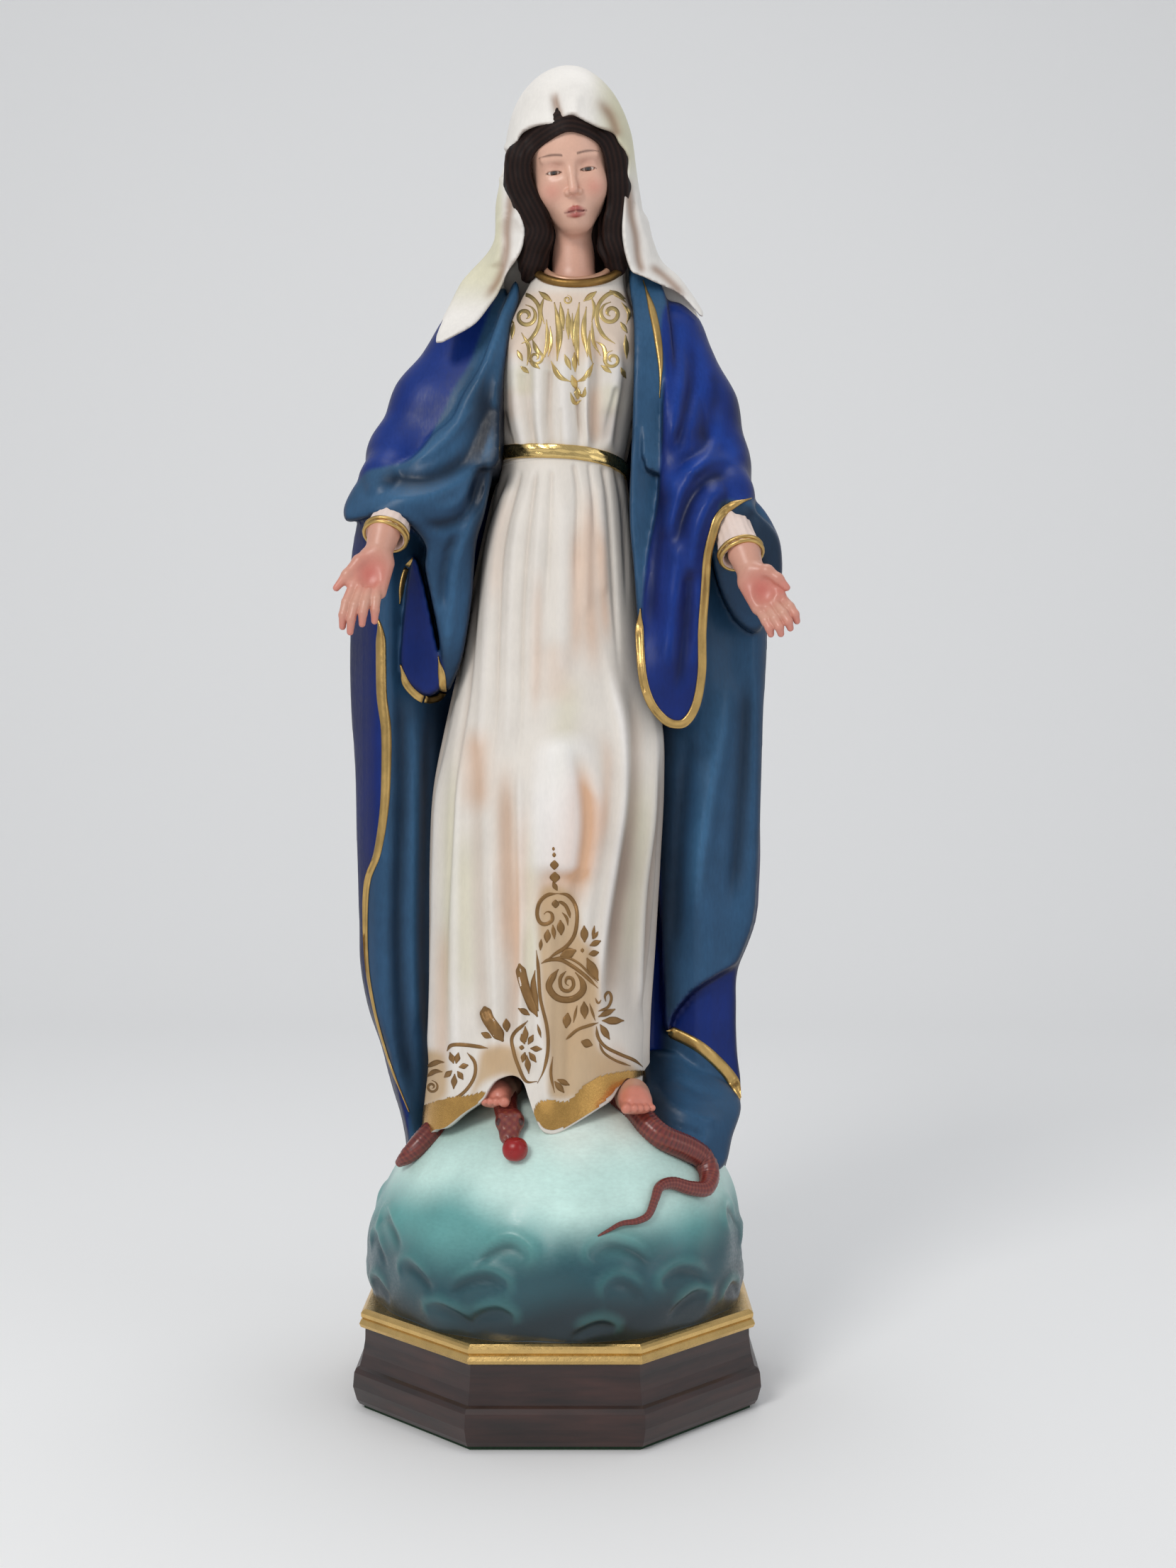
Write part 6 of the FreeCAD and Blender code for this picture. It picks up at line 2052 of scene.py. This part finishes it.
def head_distance(x, y, z):
    u, v, w = to_head(x, y, z)
    side = np.abs(u)
    total = ball(u, v, w, (0, 4, 6), (19, 23.5, 23))
    total = smin(total, ball(u, v, w, (0, -6, -5), (15.8, 15.4, 21.5)), 6.0)
    total = smin(total, ball(u, v, w, (0, -8, 11), (14.5, 13.2, 12)), 5.0)
    total = smin(total, ball(side, v, w, (8.6, -13.2, -8), (6.0, 6.2, 6.4)), 5.0)
    total = smin(total, ball(u, v, w, (0, -12.4, -22.6), (6.6, 6.6, 5.0)), 5.5)
    total = smax(total, -ball(side, v, w, (7.4, -22.4, 0.4), (5.0, 3.6, 3.3)), 2.6)
    total = smin(total, limb(side, v, w, (2.6, -19.9, 4.7), (11.5, -16.9, 4.9), 0.9, 0.7), 2.6)
    total = smin(total, ball(u, v, w, (0, -15.2, -16.6), (7.0, 6.4, 6.0)), 4.0)
    ridge = path_limb(u, v, w, [(0, -18.6, 4.2), (0, -21.4, -1.5), (0, -24.6, -8.6)], [1.6, 1.55, 2.15], 1.5)
    total = smin(total, ridge, 1.9)
    total = smin(total, ball(side, v, w, (2.5, -21.6, -9.6), (1.6, 2.2, 1.6)), 1.2)
    total = smax(total, -ball(side, v, w, (1.4, -23.0, -11.2), (0.75, 1.1, 0.7)), 0.5)
    total = smax(total, -limb(u, v, w, (0, -22.4, -12.2), (0, -22.1, -15.2), 0.5, 0.7), 1.0)
    upper = limb(side, v, w, (4.2, -19.6, -17.2), (0.7, -21.9, -16.5), 0.55, 0.95)
    lower = limb(side, v, w, (3.2, -19.9, -18.9), (0, -21.5, -19.2), 0.75, 1.1)
    total = smin(total, upper, 0.8)
    total = smin(total, lower, 0.9)
    total = smax(total, -limb(side, v, w, (4.6, -19.8, -17.9), (0, -22.9, -17.8), 0.25, 0.3), 0.45)
    total = smax(total, -ball(u, v, w, (0, -22.6, -21.6), (3.4, 1.5, 1.0)), 1.2)
    lid = ball(side, v, w, (EYE_SPACING, EYE_DEPTH, EYE_LEVEL), (4.2, 4.05, 3.9))
    total = smin(total, lid, 1.2)
    gap = ball(side, v, w, (EYE_SPACING, EYE_DEPTH - 3.6, EYE_LEVEL - 0.9), (3.3, 3.4, 0.85))
    total = smax(total, -gap, 0.3)
    neck = limb(x, y, z, (7.2, -8.5, 489), (6.6, -12.5, 543), 10.2, 9.2)
    total = smin(total, neck, 5.0)
    total = smin(total, ball(x, y, z, (8, -7.5, 495), (17.5, 15.5, 10)), 6.0)
    return smax(total, 487 - z, 1.0)


def head(skin):
    points, quads = carve((-16, -54, 485), (28, 10, 586), 0.45, head_distance)
    points, quads = largest_shells(points, quads, 400)
    quads = outward(points, quads)
    u, v, w = to_head(*points.T)
    side = np.abs(u)
    paint = np.tile(srgb(222, 176, 154), (len(points), 1))
    cheek = np.exp(-(((side - 9.4) / 4.2) ** 2) - ((w + 8.5) / 4.2) ** 2) * (v < -6)
    paint = blend_paint(paint, srgb(212, 128, 112), cheek * 0.5)
    nose = np.exp(-((side / 2.6) ** 2) - ((w + 9.4) / 2.4) ** 2) * (v < -18)
    paint = blend_paint(paint, srgb(212, 136, 118), nose * 0.35)
    upper = limb(side, v, w, (4.2, -19.6, -17.2), (0.7, -21.9, -16.5), 0.55, 0.95)
    lower = limb(side, v, w, (3.2, -19.9, -18.9), (0, -21.5, -19.2), 0.75, 1.1)
    lips = np.minimum(upper, lower)
    paint = blend_paint(paint, LIP, smooth_step(0.75 - lips) * (v < -15))
    mouth = limb(side, v, w, (4.6, -19.8, -17.9), (0, -22.9, -17.8), 0.3, 0.3)
    paint = blend_paint(paint, srgb(110, 40, 40), smooth_step(0.9 - mouth * 1.6) * (v < -15) * 0.8)
    arch = 5.7 + 0.9 * np.cos((side - 8.2) / 4.0)
    thick = 0.62 * smooth_step((13.6 - side) / 6)
    brow = smooth_step(1 - np.abs(w - arch) / (thick + 0.25)) * (side > 3.2) * (side < 13.4) * (v < -8)
    paint = blend_paint(paint, BROW, brow * 0.8)
    lash_line = EYE_LEVEL - 0.25 - 0.055 * (side - EYE_SPACING) ** 2
    near = np.abs(side - EYE_SPACING) < 3.7
    lash = smooth_step(1 - np.abs(w - lash_line) / 0.55) * near * (v < -14)
    paint = blend_paint(paint, srgb(58, 34, 28), lash * 0.85)
    lid = np.exp(-(((side - EYE_SPACING) / 4.4) ** 2) - ((w - 2.2) / 1.8) ** 2) * (v < -12)
    paint = blend_paint(paint, srgb(186, 132, 116), lid * 0.45)
    shade = smooth_step((-22 - w) / 8)
    paint = blend_paint(paint, srgb(206, 150, 130), shade * 0.35)
    piece("head_and_neck_skin", points, quads, skin, "skin", ["head"], paint)


def eyes(shine):
    """Glossy eyeballs looking down, with a dark iris behind the lids."""
    for side, name in ((-1, "right_eye"), (1, "left_eye")):
        centre = from_head(side * EYE_SPACING, EYE_DEPTH, EYE_LEVEL)
        gaze = HEAD_TURN @ np.array([0.0, -0.96, -0.27])
        gaze /= np.linalg.norm(gaze)
        rows, columns = 26, 40
        lat = np.linspace(0.03, math.pi - 0.03, rows)[:, None]
        lon = np.linspace(0, 2 * math.pi, columns, endpoint=False)[None]
        across = np.cross(gaze, [0, 0, 1.0])
        across /= np.linalg.norm(across)
        up = np.cross(across, gaze)
        unit = (
            np.cos(lat)[..., None] * gaze
            + (np.sin(lat) * np.cos(lon))[..., None] * across
            + (np.sin(lat) * np.sin(lon))[..., None] * up
        )
        points = (centre + unit * EYE_RADIUS).reshape(-1, 3)
        off = np.repeat(lat, columns, axis=1).ravel()
        paint = np.tile(srgb(226, 214, 204), (len(points), 1))
        paint = blend_paint(paint, srgb(74, 46, 32), smooth_step((0.52 - off) / 0.08))
        paint = blend_paint(paint, srgb(14, 10, 10), smooth_step((0.24 - off) / 0.06))
        faces = grid_faces(rows, columns, closed=True).tolist()
        faces += [list(range(columns))[::-1], [(rows - 1) * columns + k for k in range(columns)]]
        thing = piece_mixed(name + "_ball", points, faces, shine, paint)
        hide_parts(name)


HAIR_FACE = [  # the face's edge against the hair, with the parting at the top
    (-12.6, 560), (-10.6, 566), (-4, 571.5), (3.5, 575.5), (9, 575), (15, 572.5), (19.6, 568),
    (21.8, 557.7), (22.1, 542.8), (20.4, 534.6), (20.4, 525.7), (23.6, 515), (24, 500), (-8, 500),
    (-6.1, 517), (-2.6, 525.7), (-2.2, 533.4), (-8.0, 545.5), (-11.6, 553),
]
LOCK_LEFT = [
    (-8.5, -32, 561), (-15, -31, 552), (-15.5, -28, 543), (-11.5, -25, 531), (-9, -22, 520),
    (-11, -17, 511), (-12, -12, 505),
]
LOCK_RIGHT = [
    (21, -33, 564), (24.5, -29, 553), (25.5, -26, 541), (24.5, -23, 528), (24.5, -20, 517),
    (26, -16, 509),
]


def hair_solid():
    face = chart.region(HAIR_FACE)
    strands = np.sin(face * 2 * math.pi / 2.3) + 0.6 * np.sin(face * 2 * math.pi / 1.1 + 1.0)

    def distance(x, y, z, xs, zs):
        u, v, w = to_head(x, y, z)
        cap = ball(u, v, w, (0, 3, 6.5), (20.8, 27.0, 26.4))
        left = path_limb(x, y, z, LOCK_LEFT, [7.0, 7.6, 7.6, 7.6, 7.2, 6.2, 4.5], 3.0)
        right = path_limb(x, y, z, LOCK_RIGHT, [6.0, 6.4, 6.4, 6.2, 6.0, 5.0], 3.0)
        total = smin(cap, np.minimum(left, right), 4.0)
        groove = chart.slice(strands, y, xs, zs) * 0.22
        wave = 0.4 * np.sin(z / 5.2 + x / 9)
        total = total - groove - wave
        total = smin(total, ball(x, y, z, (6, -2, 535), (23, 17, 30)), 3.0)
        opening = chart.slice(face, y, xs, zs)
        gone = smax(opening, 0 * x + y + 21.0, 2.0)
        total = smax(total, -gone, 1.2)
        return smax(total, 503 - z, 2.0)

    return carve_slices((-32, -52, 496), (40, 22, 590), 0.65, distance)


def hair(coat):
    points, quads = hair_solid()
    points, quads = largest_shells(points, quads, 400)
    quads = outward(points, quads)
    x0, z0 = sight(points)
    face = chart.region(HAIR_FACE)
    # The same strand pattern as the relief: painted highlight on the raised strands and painted shade in the
    # grooves between them.
    line = np.sin(chart.sample(face, x0, z0) * 2 * math.pi / 2.3)
    paint = np.tile(srgb(30, 19, 17), (len(points), 1))
    paint = blend_paint(paint, srgb(56, 36, 29), np.clip(line, 0, 1) * 0.4)
    paint = blend_paint(paint, srgb(14, 9, 9), np.clip(-line, 0, 1) * 0.5)
    piece("hair_locks", points, quads, coat, "hair", ["hair"], paint)
# ---------------------------------------------------------------- painted gold on the gown

# Each stroke of the ornament is (width, points on the chart).
HEM_STROKES = [
    (1.6, (-2.3, 246), (-2.3, 244.2)), (2.2, (-2, 243.4), (-2, 241.2)),
    (4.2, (-1.9, 239.8), (-1.9, 235.6)), (5.0, (-1.7, 234.5), (-1.7, 229.5)),
    (2.4, (-2.7, 229.8), (-0.6, 225.9)),
    (
        1.7, (-0.6, 224.5), (4.2, 223.7), (7.7, 219.3), (8.6, 213.2), (7.3, 205.3), (3.4, 200),
        (-1.9, 196.5), (-6.3, 193),
    ),
    (
        1.7, (-0.6, 224.5), (-5.4, 223.7), (-8.9, 220.2), (-9.9, 214.9), (-8.4, 211), (-5.4, 210.4),
        (-2.9, 212.3), (-3.2, 215.4), (-5.4, 216.2), (-6.7, 214.9),
    ),
    (3.8, (-1.4, 221.6), (-1.4, 217.8)),
    (1.6, (-0.1, 221), (2.9, 219.3), (4.7, 215.8), (5.3, 213.2)),
    (1.3, (1.6, 215.8), (3.8, 213.2), (4.3, 209.7)), (3.6, (0.8, 212.3), (1.2, 205.3)),
    (2.0, (-2.7, 210.1), (-1.9, 203.5)), (3.2, (-4.9, 207.9), (-5.4, 201.8)),
    (1.8, (-8, 203.5), (-8.4, 198.3)), (2.0, (11, 199.3), (11, 197.3)),
    (3.6, (11.8, 209.7), (12, 202)), (1.6, (16.5, 209.7), (15.6, 203.5)),
    (1.8, (18.3, 207), (16, 203.5)), (2.8, (19.6, 202.7), (14.3, 200.5)),
    (3.0, (18.7, 197.4), (13.9, 196.5)), (5.0, (8.2, 198.3), (0.8, 195.7)),
    (4.6, (13, 194.8), (18.3, 184.3)),
    (
        1.7, (-8, 192.2), (-4.5, 193.9), (0.8, 193.9), (6, 191.3), (10.8, 187.8), (15.6, 183.4),
        (18.3, 180.8),
    ),
    (1.1, (-2.7, 194.8), (4.3, 194.8), (9.5, 192.2), (13.9, 187.8), (18.1, 183.4)),
    (
        3.0, (-0.1, 189.6), (-2.7, 186), (-4.5, 181.7), (-1.9, 177.3), (2.5, 175.5), (7.8, 176.4),
        (11.3, 179.9), (10.8, 184.3), (7.8, 188.2),
    ),
    (
        1.6, (3.4, 188.7), (0.8, 185.6), (1.2, 180.8), (4.3, 179.5), (6.9, 181.7), (6.4, 185.2),
        (3.8, 185.6), (3.2, 183), (4.7, 182.1),
    ),
    (
        1.5, (-10.2, 198.3), (-9.3, 189.6), (-8.4, 176.4), (-5.4, 163.3), (-4.9, 152.8),
        (-6.7, 143.2), (-9.7, 137),
    ),
    (4.6, (-18, 192.2), (-16.7, 186), (-14.1, 177.3), (-9.7, 167.7)),
    (2.8, (-10.8, 189.1), (-11.5, 181.7), (-9.3, 170.3)), (2.8, (-18.5, 171.6), (-13.2, 168.5)),
    (
        1.6, (-14.1, 165.9), (-21.1, 158.9), (-20.7, 151.9), (-18.5, 144.9), (-15, 137.9),
        (-9.7, 137.9),
    ),
    (1.4, (-9.7, 164.2), (-8, 158)),
    (5.6, (-34.2, 172.5), (-32.5, 166.8), (-29, 161.6), (-25.5, 156.3)),
    (3.8, (-24.2, 166.8), (-23.8, 160.7)), (3.0, (-35.6, 160.2), (-30.8, 158.1)),
    (1.7, (-51.3, 151.9), (-49.1, 154.6), (-42.1, 154.6), (-32.5, 153.2)),
    (
        1.5, (-42.1, 151.1), (-38.6, 146.7), (-38.6, 140.6), (-42.1, 134.4), (-47.4, 130.1),
        (-51.3, 130.5),
    ),
    (2.4, (-61.4, 144.1), (-56.1, 146.7), (-52.6, 146.7)),
    (2.2, (-60.9, 139.7), (-57, 142.5), (-53.5, 142.3)),
    (1.3, (18.3, 170.3), (22.7, 172.1), (24.4, 176.4), (23.1, 179.1), (21.3, 177.3), (21.8, 174.7)),
    (1.1, (17, 176.4), (18.3, 173.8), (19.6, 175.5)), (2.8, (18.3, 167.7), (26.1, 171.2)),
    (3.6, (20, 165.9), (30.1, 165.9)), (3.2, (19.1, 164.2), (23.5, 157.2)),
    (1.5, (17.4, 163.3), (18.3, 158), (21.8, 153.7), (28.8, 150.2), (34.9, 147.6), (39.3, 144.1)),
    (1.1, (18.7, 155.4), (20.9, 151.1), (26.1, 147.6), (33.1, 145)),
    (3.8, (11.7, 174.7), (12.1, 166.8)), (1.2, (8.6, 172.9), (6.9, 165)),
    (1.2, (14.3, 173.8), (16.9, 165.9)),
    (1.4, (3.4, 157.2), (8.6, 161.6), (13, 163.3), (18.3, 165)), (4.0, (4.3, 169.5), (3.4, 162.5)),
    (4.2, (10.4, 156.3), (15.6, 154.6)), (1.3, (-2.7, 149.3), (-3.6, 141.4), (-1.9, 132.7)),
    (2.8, (-1.9, 137.9), (2.5, 132.7)), (2.6, (-0.6, 138.8), (5.1, 136.2)),
]
# Flowers: middle, then the tip of each petal.
HEM_FLOWERS = [
    (
        (-15, 153.2), (-15.4, 163.3), (-11.5, 159.4), (-7.6, 152.8), (-10.2, 146.7), (-13.7, 141.4),
        (-16.7, 146.7), (-18.1, 153.7), (-17.2, 159.8),
    ),
    (
        (-47.6, 144.1), (-50, 151.3), (-46.1, 151.2), (-41.5, 145.4), (-43.9, 138.7),
        (-48.3, 134.4), (-52.6, 139.7),
    ),
]
SPIRALS = [  # middle x, middle z, radius, way round
    (-58.3, 135.3, 3.0, 1), (-15.2, 490.6, 5.3, 1), (24.1, 491.9, 5.3, -1), (24.8, 470.6, 4.2, -1),
    (-10.5, 471.5, 3.6, 1), (4.1, 498.2, 2.2, 1),
]
CHEST_STROKES = [
    (1.8, (-21, 497), (-15, 500.5), (-9.5, 496), (-8.6, 488), (-12, 481), (-17, 478)),
    (1.8, (31, 497), (25, 501.5), (19, 497), (17.6, 489), (20.5, 482), (26, 478)),
    (2.6, (-9, 502), (-3, 497.5)), (2.6, (17.5, 502), (11.5, 497.5)),
    (3.0, (-1.9, 497), (0.4, 484), (-0.6, 470)), (2.4, (0.8, 497), (2.4, 484)),
    (3.0, (9.6, 497), (8.0, 483), (9.4, 468)), (2.4, (12.8, 495), (11.6, 484), (13.4, 472)),
    (2.4, (4.4, 494), (4.6, 480)), (2.0, (-17, 483), (-13.5, 476), (-14.5, 468)),
    (2.2, (-12, 480), (-9.6, 474.5), (-6, 472)), (2.2, (-13.5, 470), (-8.6, 466.5)),
    (2.0, (-5.5, 489), (-5.2, 478), (-7.5, 470)), (2.4, (-3.5, 470), (0.4, 463), (5.5, 460.5)),
    (2.4, (16, 469), (12.6, 462.5), (8.4, 460.5)), (2.4, (2.8, 473), (5.6, 466)),
    (2.6, (7.2, 474), (7.6, 465)), (3.0, (6.0, 463.5), (8.4, 456.5)),
    (3.4, (8.6, 458), (9.0, 452.4)), (1.6, (15.4, 489), (16.0, 479), (19.5, 472.5)),
    (2.4, (23.5, 502.6), (30.8, 498.6)), (2.4, (30.8, 482), (31.4, 471)),
    (2.0, (17.2, 479), (21.0, 476), (22, 466)), (2.2, (28.5, 488), (31.6, 483)),
    (2.0, (-20.5, 488), (-21.5, 480)), (1.6, (-6.5, 500), (-8.2, 493), (-6.4, 487)),
    (1.6, (15, 500), (16.6, 494), (15.2, 488)), (1.6, (-3.8, 486), (-3.4, 478), (-5, 472)),
    (1.6, (6.4, 492), (6.2, 484), (6.8, 477)), (1.6, (14.4, 484), (13.8, 476), (15.6, 469)),
    (2.2, (-19, 475), (-16.6, 470)), (2.2, (-17.5, 467.5), (-13.6, 464.5)),
    (2.2, (19.6, 468), (24.4, 464.6)), (2.2, (28.6, 467), (31, 462)),
    (1.6, (29, 497), (32.4, 492), (31.2, 487)), (1.6, (-19.6, 494), (-22, 490), (-20.2, 486.5)),
    (1.8, (5.4, 455.5), (7.4, 450.5), (10.6, 452)), (1.8, (12.4, 458), (11.6, 454), (8.8, 455)),
]
GOLD_LOBES = [
    [
        (-66, 123.9), (-51.7, 130), (-40.4, 131.5), (-33.4, 133.2), (-38.5, 126.5), (-45.6, 121),
        (-52.6, 114.6), (-60, 113.6), (-67, 112),
    ],
    [
        (-11.4, 122.2), (-9.7, 127.5), (-4.5, 129.6), (4.3, 128.6), (13, 137), (21.8, 141),
        (35.8, 143), (40, 141.6), (28.8, 136.6), (20, 127.8), (9.5, 120), (-0.1, 116),
        (-6.3, 116.6),
    ],
]


def gown_tree(grids):
    """Search tree over the gown's outer faces."""
    points, faces, start = [], [], 0
    for grid in grids.values():
        rows, columns = grid.shape[:2]
        points.append(grid.reshape(-1, 3))
        faces.append(grid_faces(rows, columns, closed=True) + start)
        start += rows * columns
    return BVHTree.FromPolygons((np.vstack(points) * MM).tolist(), np.vstack(faces).tolist())


def spiral(x, z, radius, way):
    """Points of a scroll that winds in from its outer end."""
    turns = np.linspace(0, 2.9 * math.pi, 15)
    reach = radius * (1 - 0.78 * turns / turns[-1])
    return [(x + way * r * math.sin(a), z + r * math.cos(a)) for a, r in zip(turns, reach)]


PAINT_RISE = 0.08  # how far the middle of a brushed gold stroke stands above its edges
PAINT_LIFT = 0.18  # and its edges above the gown


def gown_ornament(grids, hem_gold, chest_gold):
    """Brushed scrolls, leaves and flowers at the hem, and a lighter group on the chest."""
    tree = gown_tree(grids)
    low, high = [], []
    for strokes, groups in ((HEM_STROKES, low), (CHEST_STROKES, high)):
        for width, *points in strokes:
            tail = (0.4, 0.4) if len(points) < 4 else (0.12, 0.2)
            groups.append(ribbon_rows(tree, points, width, PAINT_RISE, 0.8, tail, PAINT_LIFT, 4))
    for x, z, radius, way in SPIRALS:
        groups = low if z < 300 else high
        line = spiral(x, z, radius, way)
        rows = ribbon_rows(tree, line, 0.34 * radius, PAINT_RISE, 0.7, (0.3, 0.1), PAINT_LIFT, 4)
        groups.append(rows)
    for middle, *tips in HEM_FLOWERS:
        for tip in tips:
            near = np.array(middle) + 0.28 * (np.array(tip) - middle)
            petal = ribbon_rows(tree, [near, tip], 3.0, PAINT_RISE, 0.7, (0.5, 0.5), PAINT_LIFT, 4)
            low.append(petal)
    for name, groups, gold in (("hem_ornament", low, hem_gold), ("chest_ornament", high, chest_gold)):
        points, faces = ribbon_mesh([g for g in groups if len(g) > 1], 0.35)
        piece(name, points, faces, gold, "gown", [])


def hem_lobes(grid, gold):
    """Gilt on the two folds of the hem that turn out over the globe."""
    rows, columns = grid.shape[:2]
    points = grid.reshape(-1, 3)
    quads = grid_faces(rows, columns, closed=True)
    normal = point_normals(points, quads)
    outside = np.sign((normal * (points - points.mean(0)))[:, :2].sum())
    x0, z0 = sight(points[quads].mean(1))
    chosen = np.zeros(len(quads), bool)
    for outline in GOLD_LOBES:
        field = chart.region(outline)
        chosen |= (chart.sample(field, x0, z0) < 0) & (points[quads].mean(1)[:, 1] < 0)
    front = quads[chosen]
    used = np.unique(front)
    renumber = np.zeros(len(points), int)
    renumber[used] = np.arange(len(used))
    shell = points[used] + outside * normal[used] * 0.3
    piece("hem_gilding", shell, renumber[front], gold, "gown", [])


# ---------------------------------------------------------------- pieces kept from the CAD


def dress(material, *nodes):
    """Gives the CAD's own nodes a material in place of their preview colour."""
    for node in nodes:
        thing = bpy.data.objects.get(node)
        if thing is None:
            continue
        thing.data.materials.clear()
        thing.data.materials.append(material)


def cad_materials():
    dress(lacquered_wood(), "plinth_foot")
    dress(gilt("moulding_gold", srgb(222, 186, 120), (0.24, 0.36), 0.12), "gilt_moulding")
    dress(plain("green_felt", srgb(38, 62, 44), 0.95, 0.0, 900.0, 0.3, 0.5), "felt_pad")
    wood = plain("pine_board", srgb(176, 134, 88), 0.7, 0.0, 180.0, 0.2, 0.2)
    dress(wood, "base_board", "corner_blocks")
    steel = plain("zinc_steel", srgb(150, 152, 156), 0.35, 1.0, 700.0, 0.12, 0.1)
    dress(steel, "board_screws", "lower_washer", "lower_nut", "upper_washer", "upper_nut")
    wire = plain("armature_steel", srgb(92, 88, 84), 0.5, 1.0, 500.0, 0.2, 0.2)
    dress(wire, "armature_rod", "right_arm_wire", "left_arm_wire")


# ---------------------------------------------------------------- scene

camera()
studio()
floor()

gold_leaf = gilt("gilding", GOLD, (0.28, 0.45), 0.25)
gown_paint_coat = painted("gown_paint", (0.5, 0.68), 0.05, (1, 1, 0.3), 0.12, 0.04)
mantle_paint_coat = painted("mantle_paint", (0.36, 0.5), 0.08, (1, 1, 0.3), 0.1, 0.12, 0.2)
globe_paint_coat = painted("globe_paint", (0.3, 0.5), 0.25, (0.5, 0.5, 1.0), 0.2, 0.08)

cad_materials()
globe(globe_paint_coat)
gown_grids = gown(gown_paint_coat)
hem_gold = gilt("hem_gold", srgb(142, 107, 64), (0.42, 0.58), 0.2, 0.55)
chest_gold = gilt("chest_gold", srgb(214, 188, 126), (0.3, 0.45), 0.3, 0.85)
gown_ornament(gown_grids, hem_gold, chest_gold)
hem_lobes(gown_grids["skirt"], gilt("hem_leaf", srgb(205, 160, 92), (0.2, 0.32), 0.12, 0.95))
mantle_tree = mantle(mantle_paint_coat)
mantle_edges(mantle_tree, gold_leaf)
cloth_coat = painted("white_cloth_paint", (0.45, 0.65), 0.05, (1, 1, 0.3), 0.12, 0.05)
skin_coat = painted("flesh_paint", (0.34, 0.5), 0.2, (1, 1, 1), 0.08, 0.04)
hair_coat = painted("hair_paint", (0.5, 0.65), 0.0, (1, 1, 0.2), 0.3, 0.12, 0.15)
scale_coat = painted("serpent_paint", (0.28, 0.45), 0.35, (1, 1, 1), 0.2, 0.12)
eye_coat = painted("eye_paint", (0.1, 0.18), 0.8, (1, 1, 1), 0.02, 0.02)
apple_red = plain("apple_red", srgb(150, 18, 20), 0.3, 0.0, 220.0, 0.12, 0.1)
belt(gilt("belt_gold", srgb(226, 196, 130), (0.15, 0.3), 0.12))
dark_gold = gilt("collar_gold", srgb(150, 116, 66), (0.35, 0.5), 0.3)
flesh_gold = gilt("collar_flesh_gold", srgb(206, 160, 132), (0.3, 0.45), 0.15, 0.35)
collar(dark_gold, flesh_gold)
for side, ends in (("right", CUFF_LEFT), ("left", CUFF_RIGHT)):
    cuff(side, ends, cloth_coat, gold_leaf)
hand("right", HAND_LEFT, skin_coat)
hand("left", HAND_RIGHT, skin_coat)
for name, centre in FEET.items():
    foot(name, centre, skin_coat)
serpent(scale_coat)
apple(apple_red)
veil(cloth_coat)
head(skin_coat)
eyes(eye_coat)
hair(hair_coat)
